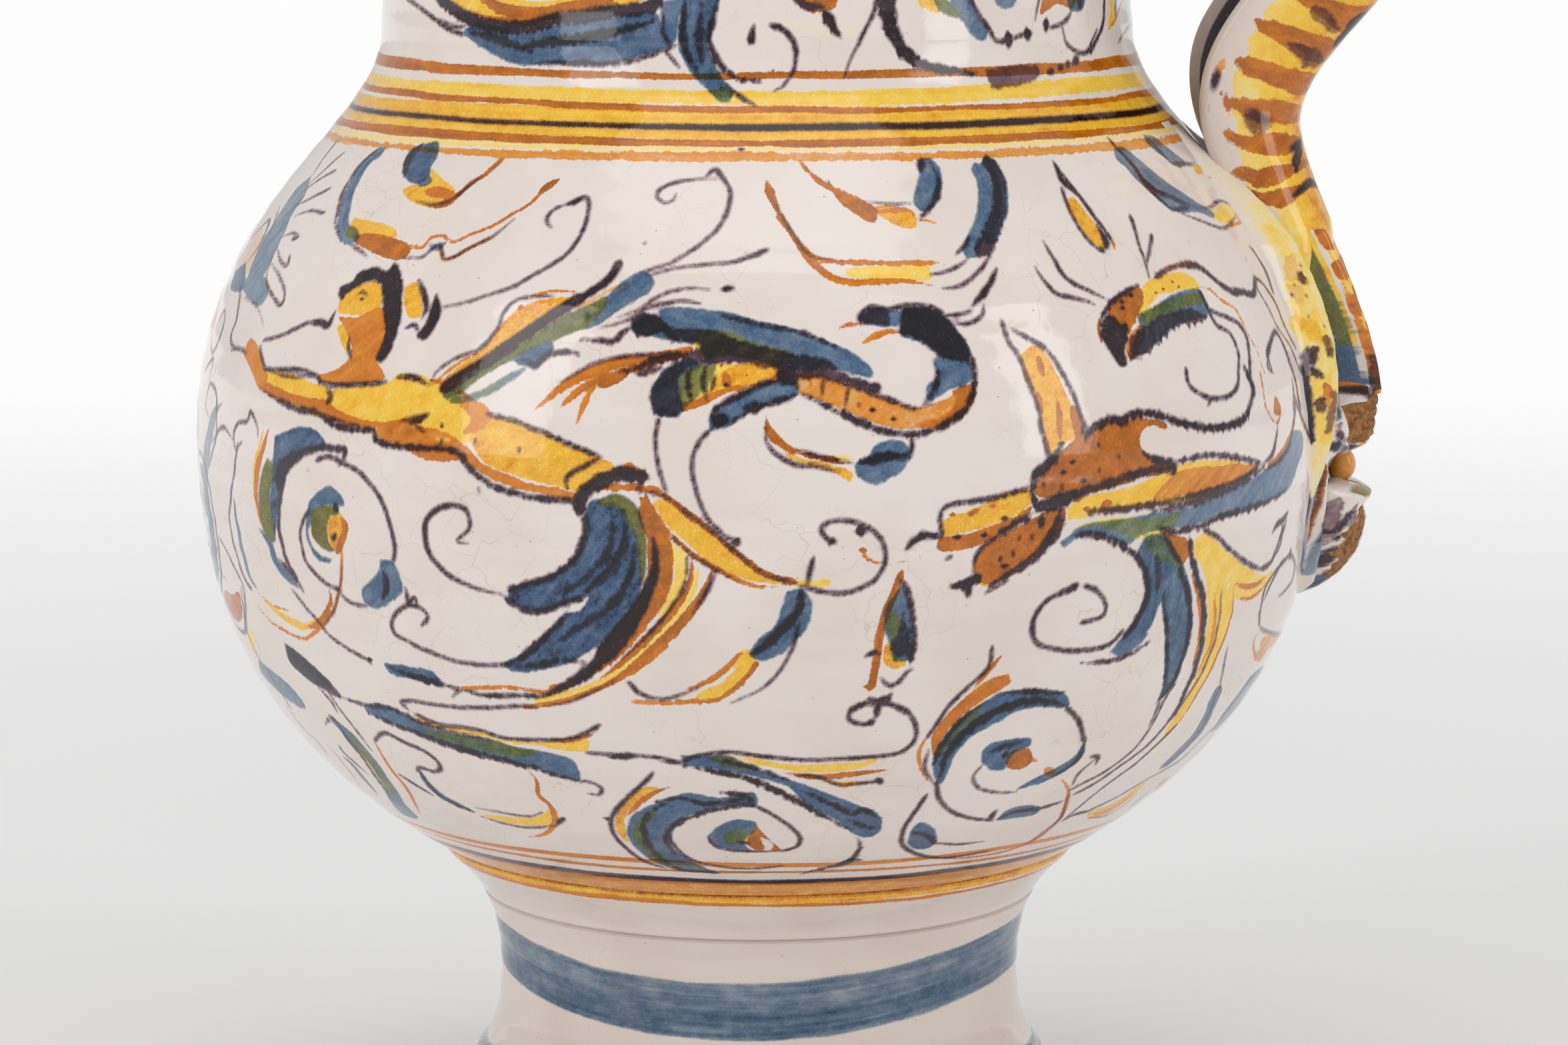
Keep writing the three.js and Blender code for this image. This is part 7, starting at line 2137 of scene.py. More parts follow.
# The mask: cream and yellow leaf, striped crest, blue and olive sockets, bare clay where it is chipped
def paintMask():
    crest, leaves = maskCanvases["crest"], [maskCanvases["leaf_near"], maskCanvases["leaf_far"]]
    nose, chin, ground = maskCanvases["nose"], maskCanvases["chin"], maskCanvases["mask_ground"]
    across, level = reliefs["crest"][0]["across"], reliefs["crest"][0]["levels"]
    yellow = pigments["yellow"]
    crest["cover"][..., yellow] = 1
    crest["tone"][..., yellow] = 0.66 * (1 + 0.35 * grain(across * 0.9, level * 0.9, 5))
    for name in ("leaf_near", "leaf_far"):
        leaf, wide, high = maskCanvases[name], reliefs[name][0]["across"], reliefs[name][0]["levels"]
        inset = 21.2 + 0.5 * grain(wide * 0.3, high * 0.3, 8) - np.abs(wide)
        leaf["cover"][..., yellow] = np.clip(0.5 + inset / 1.5, 0, 1) * smooth(50, 46, high)
        leaf["tone"][..., yellow] = 0.36 * smooth(21.5, 17,
                                                  np.abs(wide)) * smooth(52, 34, high) * (1 + 0.4 * grain(wide, high,
                                                                                                          6)) + 0.02
    # Crest: the handle's stripes go on down it, browner towards the nose
    s = Flat(crest)
    for k in range(5):
        top = 34.5 - 5.4 * k
        s.fill(f"-11,{top + 1} -7,{top + 0.4} -3,{top - 0.8} 0.4,{top - 1.4} 0.4,{top - 4.2} "
               f"-4,{top - 4.4} -8,{top - 3} -11,{top - 1.6}", "orange", 0.8, streaks=0.4, rough=0.5)
    s.fill("-5,14 0.4,13 0.4,8 -3,8", "manganese", 0.55, rough=0.4, streaks=0.5)
    s.fill("-5,16 0.4,15 0.4,10 -3,9", "orange", 0.7, rough=0.4)
    s.line("-4.4,26 -3.8,20 -2.4,15", 1.0, "yellow", "plain", (0.8, 0.7), rough=0.3)
    # Leaf
    s = Sheet("maskTop", onMask, leaves)
    s.fill("700,-60 760,-40 850,-30 872,60 900,170 950,340 1010,470 1050,590 1060,690 1046,790 1010,850 950,860 "
           "900,760 850,700 800,600 760,500 730,380 700,240 690,60", "yellow", 0.42, streaks=0.3, rough=0.4)
    s.fill("770,380 860,470 950,470 1000,590 1004,680 930,664 850,600 800,540", "yellow", 0.72, rough=0.5)
    s.fill("700,60 780,20 830,120 810,190 730,180", "orange", 0.22, rough=0.5)
    s.fill("730,240 830,230 880,330 820,360 750,330", "orange", 0.2, rough=0.5)
    s.fill("886,850 1000,850 1090,860 1090,1000 1088,1180 886,1180", "yellow", 0.5, rough=0.4)
    s.line("884,806 906,745 962,700", 1.9, tone=(0.6, 0.5), rough=0.4)
    s.line("884,830 920,856 962,882 1004,912", 0.9, tone=(0.7, 0.6))
    s.dots("962,902", 2.3, "manganese", 0.5)
    s.dots("958,1112 990,1090", 1.8, "manganese", 0.5)
    s.line("852,150 858,214", 1.1, tone=(0.45, 0.4), rough=0.4)
    s.line("1044,700 1060,740", 1.4, tone=(0.5, 0.5))
    s.line("1022,600 1036,660 1030,720", 1.2, tone=(0.3, 0.4), rough=0.4)
    s.line("1014,950 1036,1010 1044,1090", 1.2, "orange", tone=(0.7, 0.6), rough=0.4)
    s.line("868,740 880,860 886,1000 894,1180", 0.9, tone=(0.75, 0.9), shape="plain")
    s.dots("800,230 900,470 1010,540 840,90 780,300 880,320", 0.5, "manganese", 0.4)
    s = Sheet("maskNose", onMask, leaves)
    s.fill("664,150 760,140 860,180 856,340 858,440 862,560 850,640 806,700 770,690 730,630 700,550 690,400", "yellow",
           0.5, rough=0.4)
    s.line("668,150 668,330 680,560 696,690", 1.1, tone=(0.9, 0.95), shape="plain")
    s.line("848,110 856,170 864,260", 1.4, "orange", tone=(0.75, 0.6), rough=0.4)
    shape = "910,180 946,200 950,360 922,480 880,570 850,560 858,380 884,300"
    s.fill(shape, "manganese", 0.3, rough=0.4)
    s.fill(shape, "orange", 0.22, rough=0.4)
    s.line("770,300 800,330 812,366", 1.6, tone=(0.55, 0.5), rough=0.4)
    s.dots("878,428", 0.8)
    # Socket between leaf and crest: olive above, blue below, white round the eye
    s = Sheet("maskTop", onMask, [ground, crest])
    shape = "880,90 940,150 1020,230 1070,330 1130,400 1180,500 1180,580 1120,570 1060,540 1010,440 950,330 900,200"
    s.fill(shape, "blue", 0.5, rough=0.4)
    s.fill(shape, "yellow", 0.66, rough=0.4)
    s.fill("1046,560 1100,580 1180,680 1214,750 1150,770 1090,740 1066,640", "blue", 0.42, rough=0.4)
    s.fill("1110,540 1190,610 1240,700 1210,730 1160,650", "yellow", 0.55, rough=0.4)
    s.line("1080,746 1160,774", 0.6, "orange", tone=(0.8, 0.6))
    s.line("1226,904 1280,920 1350,944", 0.8, "orange", tone=(0.9, 0.8))
    s.fill("1090,790 1180,846 1250,920 1270,1010 1180,1030 1130,1090 1100,1180 1090,1180 1090,900", "blue", 0.6,
           rough=0.4)
    s.line("870,20 940,80 1040,210 1130,340 1190,490 1240,630 1300,780 1350,900", 1.2, "orange", "plain", (0.5, 0.5),
           rough=0.3)
    s.line("1130,350 1180,450 1230,560", 1.2, "yellow", tone=(0.7, 0.7), rough=0.3)
    s.fill("880,20 930,50 1000,160 1050,270 1000,220 930,170 890,90", "orange", 0.75, rough=0.4)
    s = Sheet("maskNose", onMask, [ground])
    s.fill("948,0 1100,0 1160,60 1170,140 1080,160 1030,200 1010,300 990,420 962,480 946,300", "blue", 0.62, rough=0.3)
    s.line("962,470 940,560 880,650 830,720", 1.8, tone=(0.75, 0.7), rough=0.3)
    s.line("970,440 940,540 890,640", 1.6, "blue", tone=(0.6, 0.6))
    # Nose with its chip
    s = Sheet("maskNose", onMask, [nose, ground, crest])
    s.line("1028,200 1080,166 1150,164 1222,184 1302,182 1314,262 1290,360", 0.8, tone=(0.85, 0.9), rough=0.45,
           shape="plain")
    s.line("1300,340 1262,440 1244,500", 1.0, tone=(0.8, 0.5), rough=0.45, streaks=0.6)
    s.line("986,470 980,560 1004,630 1044,672", 0.6, tone=(0.6, 0.6), rough=0.4)
    s.fill("1150,702 1200,622 1260,556 1296,560 1276,640 1216,722 1160,744", "orange", 0.45, rough=0.3)
    shape = "950,620 1000,682 1060,712 1140,712 1140,744 1040,764 920,764 896,740 930,680"
    s.fill(shape, "manganese", 0.5, rough=0.3)
    s.fill(shape, "blue", 0.4, rough=0.3)
    # Eyes and brows: a lid line, a pupil and a few hairs
    s = Flat(ground)
    s.line("-12.4,10.6 -11,12.6 -8.8,13.4 -6.6,12.8 -5.2,10.8", 0.55, tone=(0.7, 0.9), shape="plain")
    s.line("-12,10.2 -10.4,9.2 -8.2,8.9 -6,9.6", 0.35, tone=(0.5, 0.6))
    s.line("-8.7,12.3 -8.5,10.2", 1.3, tone=(0.9, 0.8))
    s.line("-12.4,15.4 -10.4,17 -8,17.6 -5.6,17", 0.6, "orange", tone=(0.8, 0.7))
    s.line("-12,14.9 -9.8,16.2 -7.4,16.6", 0.35, tone=(0.6, 0.7))
    # Mouth, kept dark: its hollow is filled with manganese and blue as painted shade, with the greenish line under the
    # ball
    s = Flat(ground)
    shape = "-11.5,-2.8 -6,-2 0.5,-2 0.5,-8.8 -6,-9 -11,-8.4 -13,-5.5"
    s.fill(shape, "manganese", 1.05, rough=0.3)
    s.fill(shape, "blue", 0.6)
    # Painted shade down the groove inside the rim beside the chin, fading downwards
    s.line("-11.4,-6 -11.7,-12 -10.8,-17", 2.0, tone=(0.9, 0.35), shape="plain", rough=0.35)
    s.line("-11.4,-6 -11.8,-13 -10.6,-19 -8,-23", 1.6, "blue", tone=(0.6, 0.3), shape="plain")
    s.line("-14.6,-3 -14.4,-10 -12.8,-18 -8.4,-24.5", 0.5, "orange", "plain", (0.5, 0.5))
    s.line("-14.9,-3 -14.7,-10 -12.9,-18 -8.4,-24.8", 0.5, tone=(0.5, 0.5), shape="plain")
    s = Flat(chin)
    shape = "-8,-8.9 -4,-9.2 0,-9.3"
    s.line(shape, 1.8, "yellow", "both", (0.75, 0.75))
    s.line(shape, 1.6, "blue", "both", (0.4, 0.4))
    s.line("-10,-10 -10.5,-14 -9,-19", 2.6, tone=(0.3, 0.25), rough=0.5, streaks=0.5)
    s.line("-7,-11 -6.4,-15 -6.6,-18", 1.8, tone=(0.25, 0.2), rough=0.5, streaks=0.6)
    s = Sheet("maskChin", onMask, [chin])
    s.line("1130,180 1060,226 1006,312 952,392 956,470", 0.7, tone=(0.7, 0.7), rough=0.45)
    s.line("800,722 842,650 900,600 962,540", 1.6, tone=(0.85, 0.6), rough=0.35)
    s.fill("672,945 740,862 830,770 880,768 932,840 892,890 832,936 742,952", "blue", 0.72, rough=0.3)
    s.fill("740,900 830,830 900,850 860,910 780,944", "manganese", 0.4, rough=0.4)
    s.dots("790,530", 1.0, "orange", 0.6)
    # Painted shade: a dark line down the groove at the chin's side
    s.line("880,0 866,160 852,300 842,420", 1.4, tone=(0.8, 0.9), rough=0.3)
    # Cream and yellow at the bridge of the nose, and the bare clay of the chips
    s = Flat(nose, ground)
    s.fill("-4.4,11.6 0.4,12 0.4,6.6 -2.4,6.8 -4,8", "orange", 0.7, rough=0.4)
    s.fill("-2.2,10.4 0.4,10.6 0.4,8 -1.6,8.2", "manganese", 0.5, rough=0.4, streaks=0.5)
    for canvas, name, chip in ((nose, "nose", noseChip), (chin, "chin", chinChip)):
        bare = chip(reliefs[name][0]["across"], reliefs[name][0]["levels"])
        canvas["cover"][..., pigments["clay"]] = bare
        canvas["tone"][..., pigments["clay"]] = 0.8
    # The crest's falling sides, olive above and blue below, behind a pale edge
    share = np.abs(across) / crestHalf(level)
    flank, low = smooth(0.9, 0.95, share), smooth(17, 14, level)
    blue, manganese, orange = (pigments[name] for name in ("blue", "manganese", "orange"))
    for k in (manganese, orange):
        crest["cover"][..., k] *= 1 - flank
    crest["cover"][..., yellow] *= 1 - np.maximum(bell(share - 0.92, 0.03), flank * low)
    kept = crest["cover"][..., blue] * (1 - smooth(0.9, 0.86, share))
    crest["cover"][..., blue] = np.maximum(kept, smooth(0.96, 1, share))
    crest["tone"][..., blue] = 0.5 + 0.15 * low
    # The ball of the tongue
    tongueCanvas["cover"][..., orange] = 1
    tongueCanvas["tone"][..., orange] = 0.22 + 0.25 * smooth(1, -3, tonguePoints[..., 1])


paintMask()


# On the belly beside the mask
def paintBesideMask():
    s = Sheet("maskChin")
    s.line("706,-60 690,40 660,160 640,300 622,500 602,640 620,790", 2.3, "blue", tone=(0.42, 0.4), shape="plain",
           streaks=0.5)
    s.line("716,-120 680,0 648,180 640,330", 0.55, tone=(0.7, 0.5))
    s.line("612,520 598,640 606,760", 0.5, tone=(0.5, 0.5))
    s.line("456,186 400,260 340,312 304,394", 0.9, tone=(0.85, 0.8))
    s.line("402,276 400,400 370,520 320,622 268,690 200,732", 0.6, tone=(0.75, 0.7), shape="plain")
    s.line("484,540 460,620 380,702 300,862 218,1044", 0.75, tone=(0.8, 0.7))
    s.line("462,600 520,662 512,800 460,912 362,1004", 0.5, tone=(0.7, 0.6))
    s.line("468,640 476,600 486,560", 1.2, tone=(0.85, 0.8))
    s = Sheet("maskTop")
    s.line("480,-40 560,80 600,170 642,296", 0.7, tone=(0.85, 0.6), shape="plain")
    s.line("488,170 560,222 640,342 700,482 760,622 830,762 862,962", 0.55, tone=(0.6, 0.75), shape="plain")
    s.line("650,560 620,640 588,740 632,874", 0.8, tone=(0.85, 0.5))
    s.line("650,560 700,660 752,800 800,962 832,1150", 0.6, tone=(0.7, 0.8), shape="plain")
    s.line("768,920 784,1040 780,1170", 0.6, tone=(0.6, 0.6))
    s.line("0,100 100,110 222,204 350,296 396,284 494,300 500,176", 0.85, tone=(0.75, 0.75), shape="plain", rough=0.3)
    s.fill("640,1040 672,1080 690,1176 640,1176", "orange", 0.8)


paintBesideMask()


# Above and beside the photograph the painter's scrolls go on. A place here is given as mm round
# from the spout's middle, measured at the belly's widest, and the height.
def fromSpout(places):
    angle = math.pi + places[:, 0] / jug["bellyRadius"]
    radius, height = pinched(anyRadiusAt(places[:, 1]), places[:, 1], angle)
    return roundAxis(radius, angle, height)


# A candelabrum of leaves, urn and husks down the middle of the belly, under the spout
def paintUnderSpout():
    urn = np.array([0, jug["bellyWidest"]])
    s = Sheet("whole", lambda places: fromSpout(urn + (places - urn) * np.where(places < urn, 1.22, [1.3, 1.1])))
    s.fill("-0.5,170 2.6,165 3.6,158 1.8,152 -0.5,150", "yellow", 0.75)
    s.fill("-0.5,163 1.4,160 1.2,155 -0.5,152", "orange", 0.8)
    s.line("0,171 3.4,165 4.4,158 2.4,151", 0.6)
    s.fill("3.4,152 8,158 13.5,160 17,158 13,155 9.6,150.5 6,148.6", "blue", 0.72)
    s.line("2.6,151 7,159 13,161.4 18,158.6", 0.7)
    s.line("5,149 10,152.6 14,155.4", 0.5)
    s.fill("6.4,147.6 12,150.6 18,150.4 22,147 17,146.4 12,144.6 7.4,144.8", "orange", 0.85)
    s.fill("8,146.8 13,148.6 18,148.6 14,146.6 9,145.6", "yellow", 0.8)
    s.line("5.6,147.6 12,151.6 18.4,151.2 23,146.8", 0.6)
    s.line("22,146.6 27,143.6 30,147 27.6,150 25,148.4", 0.55)
    s.fill("-0.5,149 2.4,148.6 5.4,146 6.4,143.6 -0.5,143.8", "manganese", 0.85)
    s.fill("-0.5,143 9.4,143 10.6,140.4 8.8,136.4 5,133.4 -0.5,132.6", "yellow", 0.72)
    s.fill("5.4,142.6 9.6,142.6 10.2,140.2 8.4,136.6 5,134 6.8,138", "orange", 0.85)
    s.line("0,143.4 10,143.4 11.4,140.4 9.2,136 5,132.8 0,132", 0.65)
    s.line("0,138.6 4,138.8 8,139.8", 0.5)
    s.dots("2,141 5,141 2.4,136 5.4,136.6", 0.7)
    s.fill("-0.5,132 2,131.4 2.6,128.6 1.6,126.4 -0.5,126", "orange", 0.85)
    s.fill("-0.5,126.6 5,126.2 6.6,124 5.6,122 -0.5,121.6", "blue", 0.72)
    s.line("0,127 5.4,126.6 7.2,124 6,121.4 0,121", 0.6)
    # Scroll swinging out from under the urn
    s.fill("4,120.6 8,114.6 15,110.4 23,110.2 29,114 30.6,120 28,125.4 23.6,126.8 26.4,122.4 26.4,117.6 22,114.2 "
           "15.6,114.4 9.6,118", "blue", 0.66)
    s.line("3,121 7.4,113.6 15,109.2 23.4,109 30.2,113.4 32,120 29,126.4 23,128.4 18.6,125.4 18.4,120.8 21.6,119 "
           "24,121.2", 0.75)
    s.line("8,118.6 15,115.2 22,115.2 25.4,118.4", 0.5)
    s.fill("20,122.4 22,120.6 23.6,122.2 22,124.6", "orange", 0.9)
    s.fill("10,121.6 14,119 17.4,119.6 17,124.4 13.4,127 11.6,124.6", "yellow", 0.75)
    s.line("9.4,122 13.4,118.4 18,119.2", 0.5, "orange")
    s.fill("24,108.6 29,106 35,107 38,111 34,110.2 29.4,110", "orange", 0.85)
    s.line("23,108.4 29,104.8 35.4,105.8 39.4,112", 0.6)
    s.line("31,127.4 35,132 34,138 29.6,139.4 28,136.2 30.6,134.6", 0.55)
    s.line("33,131 38,134 42,132.6", 0.45)
    s.fill("14,131 18.4,129 21.6,131.4 19.6,136 15.4,137.6 16.6,134", "blue", 0.6)
    s.line("13.4,130.4 18.4,128 22.6,131 20.2,137", 0.5)
    # Husks hanging below
    s.fill("-0.5,120 2.6,117.6 3.2,112.6 -0.5,106.6", "yellow", 0.75)
    s.fill("-0.5,115 1.2,113.6 1,109.6 -0.5,107.4", "orange", 0.85)
    s.line("0,120.6 3.4,117.6 4,112 0,105.6", 0.55)
    s.fill("-0.5,105 2.2,102.6 2,98.4 -0.5,94.6", "blue", 0.7)
    s.line("0,105 2.8,102.4 2.6,98 0,93.8", 0.5)
    s.fill("4,108 8,104 13.4,102.6 17,104.4 12.6,106.4 8,108.4", "yellow", 0.75)
    s.line("3.4,108.6 8,103 13.4,101.4 18.4,104.6", 0.6)
    s.line("3,101.4 8,95.6 15,94 20,97.4 19,102 15.4,101.4 15.6,98.6", 0.65)
    s.fill("4.4,98.4 9,94.4 14.6,93 18,94.6 13,96 8.4,98.6", "blue", 0.65)
    s.line("5.6,93.4 10.6,90.6 15.6,90.4 19,92", 0.6, "orange")
    s.dots("0,91.6 0,89.2 24,103 26,100.4", 0.9)
    s.line("24,140.6 28.6,143 29,140", 0.5)
    s.line("21,160 26,163.4 30,160.6 28.4,157.4", 0.55)
    s.fill("23,155.4 28,157 33,154 28.6,153 24.6,153.4", "blue", 0.6)
    s.line("4,166.6 9,169.4 13.4,166.4 11.6,163.8", 0.55, "orange")


# The neck's frieze, two facing scrolls and a palmette on each side, and lines under the lip
def paintFrieze():
    middle = 1137.0
    for side in (1, -1):
        s = Sheet("whole", lambda pixels: onJug([middle, 0] + (pixels - [middle, 0]) * [side, 0.78]))
        s.fill("648,-24 636,-120 690,-230 800,-306 930,-300 1010,-236 1016,-160 966,-110 900,-114 930,-160 910,-208 "
               "846,-226 770,-190 716,-110 694,-30", "blue", 0.5, streaks=0.4)
        s.line("662,-40 660,-140 716,-226 806,-282 920,-280 990,-230", 3.4, "blue", "plain", (1.0, 0.9), streaks=0.8,
               rough=0.6)
        s.line("990,-236 996,-170 950,-130", 2.2, "blue", tone=(1.0, 0.8), streaks=0.6, rough=0.5)
        s.line("640,-10 624,-124 682,-242 800,-320 938,-314 1024,-244 1030,-154 968,-96 894,-98 864,-140 884,-176 "
               "912,-160", 0.95)
        s.line("700,-40 724,-116 776,-184 846,-218", 0.7)
        s.fill("750,-50 770,-120 826,-176 872,-168 862,-120 850,-76 806,-44", "yellow", 0.72)
        s.fill("800,-48 830,-100 866,-112 856,-72 826,-44", "orange", 0.85)
        s.line("744,-44 766,-128 826,-186", 0.6, "orange")
        s.line("820,-34 864,-74 880,-112", 0.6)
        s.fill("800,-312 850,-372 940,-412 1030,-398 1062,-352 1000,-350 930,-350 862,-318", "yellow", 0.7)
        s.fill("850,-330 900,-376 970,-396 1010,-380 940,-362 890,-330", "orange", 0.85)
        s.line("790,-316 848,-386 940,-426 1040,-410 1072,-346", 0.8)
        s.line("690,-236 650,-300 664,-372 726,-400 770,-366 752,-330 726,-340", 0.75)
        s.line("664,-300 630,-330 600,-316", 0.6)
        s.fill("610,-190 590,-250 606,-320 630,-300 632,-240", "blue", 0.55)
        s.line("940,-420 930,-450 960,-470 984,-452", 0.6)
        s.fill("1046,-150 1070,-200 1100,-220 1096,-180 1066,-140", "orange", 0.8)
        s.line("1036,-140 1066,-210 1106,-236", 0.6)
        s.fill(f"{middle + 3},-230 1112,-270 1106,-330 {middle + 3},-392", "orange", 0.85)
        s.fill(f"{middle + 3},-256 1126,-286 1124,-322 {middle + 3},-352", "yellow", 0.8)
        s.line(f"{middle},-226 1104,-266 1096,-334 {middle},-404", 0.75)
        s.fill("1120,-226 1076,-240 1050,-286 1062,-330 1090,-300 1108,-260", "blue", 0.68)
        s.line("1126,-218 1070,-232 1040,-288 1058,-344", 0.75)
        s.line(f"{middle},-214 {middle - 3},-150 {middle - 14},-90 {middle - 4},-40", 0.8)
        s.fill(f"{middle + 3},-190 {middle - 16},-176 {middle - 22},-140 {middle + 3},-120", "yellow", 0.7)
        s.dots("1094,-120 1070,-90 1096,-70", 1.0)
    # Round the spout and beside the handle's seat
    s = Sheet("whole", fromSpout)
    s.fill("-0.5,232 4,226 5,218 2.4,211 -0.5,209", "yellow", 0.72)
    s.fill("-0.5,224 2,221 1.8,215 -0.5,212", "orange", 0.85)
    s.line("0,233.6 5,226.6 6,218 3,210 0,207.6", 0.7)
    s.fill("5,212 11,221 19,225.6 25,223 19,219.6 13.4,213 9,208.4", "blue", 0.68)
    s.line("4,211 10.4,222.4 19,227.4 26.6,223", 0.75)
    s.line("8.4,207.4 13.6,212.4 20,218.6", 0.55)
    s.fill("7.4,206 14,209.6 22,208.6 27,203.4 20.4,203.6 14,201.6 8.4,202.6", "orange", 0.85)
    s.fill("10,205 16,206.8 21.6,206 16.6,204 11.4,203.2", "yellow", 0.8)
    s.line("6.4,206.4 14,211 22.6,209.8 28.6,203", 0.65)
    s.line("27,223 33,218.6 36,212 32,207.4 28.4,210.6 30,213.6", 0.6)
    s.line("24,229 30,233 36,231.4 36.6,226.6 33,226", 0.6)
    s.dots("0,204.6 0,201.8 10,230 14,233", 1.1)
    s.fill("-0.5,205.6 3.4,203.6 4.4,200 2,197.6 -0.5,197.4", "blue", 0.6)
    s = Sheet("whole", fromSpout)
    s.fill("262,212 256,220 246,224 238,221 244,217.4 250,212.6 254,207.4", "blue", 0.68)
    s.line("264,212.4 257,222 246,226 236.6,221", 0.75)
    s.fill("256,206.4 248,209 240,206.4 236.6,201.6 243.6,203 250,202.4", "orange", 0.85)
    s.line("257,206.4 248,210.6 239,207.6 234.6,200.6", 0.65)
    s.line("262,198.6 255,195 247,196.4 244.6,200", 0.6)


paintUnderSpout()
paintFrieze()
lipAt = jug["lipBase"]
band(lipAt + 15.4, 2.6, "blue", 0.7, waver=0.25, rough=0.25, seed=31, streaks=0.3)
band(lipAt + 10.6, 2.2, "yellow", 0.7, waver=0.2, seed=32)
band(lipAt + 8.6, 0.8, "manganese", 0.75, waver=0.25, seed=33, gaps=0.2)
band(lipAt + 5.6, 1.2, "orange", 0.75, waver=0.25, seed=34, gaps=0.2)
flarePixels = np.array([[745.0, 1546.0], [703.0, 1567.0]])
flare = onJug(flarePixels)[:, 2]
band(flare.mean(), 3.2, "blue", 0.4, waver=0.3, rough=0.15, seed=35, streaks=0.5, gaps=0.1)


# Places where the colours run together on the figure, the bird's long tail and a curl beside the skirt
def paintLinks():
    s = Sheet("whole")
    s.fill("600,560 640,566 690,590 720,620 700,664 650,672 610,650 560,640 540,610", "yellow", 0.62, rough=0.3)
    s.fill("560,632 620,640 660,660 700,668 690,690 640,690 590,664", "orange", 0.7, rough=0.35, streaks=0.4)
    s.line("640,566 690,588 726,612", 0.7, "orange")
    s = Sheet("leftHalf")
    s.line("514,520 498,516 516,498 508,472 478,470 456,490 458,528 482,560 520,580 566,592", 0.8)
    s.line("814,264 744,268 694,280 646,304 606,336", 1.7, "orange", tone=(0.85, 0.6))
    s.line("704,288 664,312 640,334", 1.2, "orange", tone=(0.8, 0.6))
    s.line("694,292 676,322 662,358", 0.9, "orange", tone=(0.7, 0.5))
    s.line("806,258 742,262 690,272 640,300", 0.5, tone=(0.6, 0.4))
    # Drips and pits: a rusty pit on the stem, one on the band above, and small ones on the belly
    for place, size in (("480,381", 1.5), ("180,488", 0.9), ("294,420 297,426", 0.7), ("572,374", 0.7)):
        s.dots(place, size * 2.2, "orange", 0.14)
        s.dots(place, size, "orange", 0.8)
    s.dots("478,380", 0.9, "manganese", 1.0)
    s.dots("528,446 530,450", 0.7)
    s = Sheet("upperHalf")
    s.dots("459,403", 1.0)
    s.dots("340,519 498,306", 0.5)


paintLinks()


# The long plumes that sweep from the beast's tail to the foot of the belly
def paintPlumes():
    s = Sheet("plumes")
    s.line("556,158 540,180 515,222 492,268 470,310 430,362 380,408 320,450 262,480 212,506", 0.45, tone=(0.75, 0.6),
           shape="plain")
    s.line("526,160 510,205 490,255 470,296", 0.45, tone=(0.75, 0.7))
    s.line("534,284 482,342 430,388 362,438 290,486 226,520", 0.55, tone=(0.85, 0.6), shape="plain")
    s.line("560,294 510,342 465,385 425,422 380,454 330,490 270,540 225,577 190,606", 0.42, tone=(0.65, 0.8),
           shape="plain")
    s.line("556,300 506,348 450,400 390,446", 0.5, "orange", tone=(0.7, 0.5))
    # Two blue leaves toward the side
    s.line("728,38 722,64 714,96 708,134 702,172", 0.45, tone=(0.7, 0.8))
    s.fill("704,164 688,176 666,214 650,262 620,312 588,352 548,392 508,432 534,424 574,390 614,350 648,308 674,264 "
           "694,212 708,178", "blue", 0.55, streaks=0.5, angleOfStreaks=1.0)
    s.line("700,172 684,206 664,262 640,304 604,350 566,388 520,428", 0.6, tone=(0.7, 0.6), rough=0.3, streaks=0.4)
    s.fill("848,100 820,118 794,144 766,184 738,222 708,262 688,292 668,316 700,300 738,258 776,214 808,164 834,128",
           "blue", 0.45, streaks=0.5, angleOfStreaks=1.0)
    s.line("844,102 800,146 768,190 738,230 706,270 680,304", 0.7, tone=(0.6, 0.6), rough=0.3, streaks=0.4)
    s.line("690,310 664,346 622,388 584,424", 0.5, tone=(0.6, 0.5))
    s.line("262,578 320,552 380,522 440,486 480,462 520,440 566,412 604,380 640,344 672,312", 0.42, tone=(0.7, 0.6),
           shape="plain")
    # Ochre leaf at the foot and the pieces beside it
    s.fill("272,580 300,566 332,558 370,540 404,518 440,490 466,478 440,504 410,532 372,560 334,584 300,598 274,592",
           "yellow", 0.7, streaks=0.4)
    s.fill("290,582 340,566 390,540 420,512 396,540 350,572 306,590", "orange", 0.5, streaks=0.5)
    s.line("276,596 330,590 384,560 430,520", 0.4, tone=(0.5, 0.4))
    s.fill("546,458 524,468 500,490 488,512 508,498 528,478", "orange", 0.4)
    s.line("476,508 444,534 408,566", 1.1, "blue", tone=(0.5, 0.45))
    # The small ochre curl above them
    s = Sheet("plumeTips")
    s.line("677,350 682,368 704,380 732,388 754,384", 0.55, tone=(0.6, 0.5))
    s.line("682,374 664,400 660,436 668,468 688,474", 0.8, "orange", tone=(0.6, 0.6), streaks=0.4)
    s.fill("694,394 722,394 746,392 732,414 706,438 684,452 682,420", "orange", 0.38, streaks=0.5)
    s.fill("672,440 700,440 690,464 676,470", "orange", 0.5)


paintPlumes()


def plain(name, hexColour, roughness=0.1):
    material = bpy.data.materials.new(name)
    material.use_nodes = True
    shader = material.node_tree.nodes["Principled BSDF"]
    shader.inputs["Base Color"].default_value = linear(hexColour)
    shader.inputs["Roughness"].default_value = roughness
    return material


glaze = paintedGlaze("painted tin glaze")
footGlaze = paintedGlaze("pinkish tin glaze", 0.5, 0.45)
bandedGlaze = paintedGlaze("banded tin glaze", 0.4, 0.2)
handleGlaze = paintedGlaze("striped ochre glaze", 0.2, 0.3)
maskGlaze = paintedGlaze("mask glaze", 0.3, 0.1)
finishes = {
    "painted_glaze": glaze, "tin_glaze_foot": footGlaze, "banded_glaze": bandedGlaze,
    "striped_glaze": handleGlaze, "mask_glaze": maskGlaze,
}
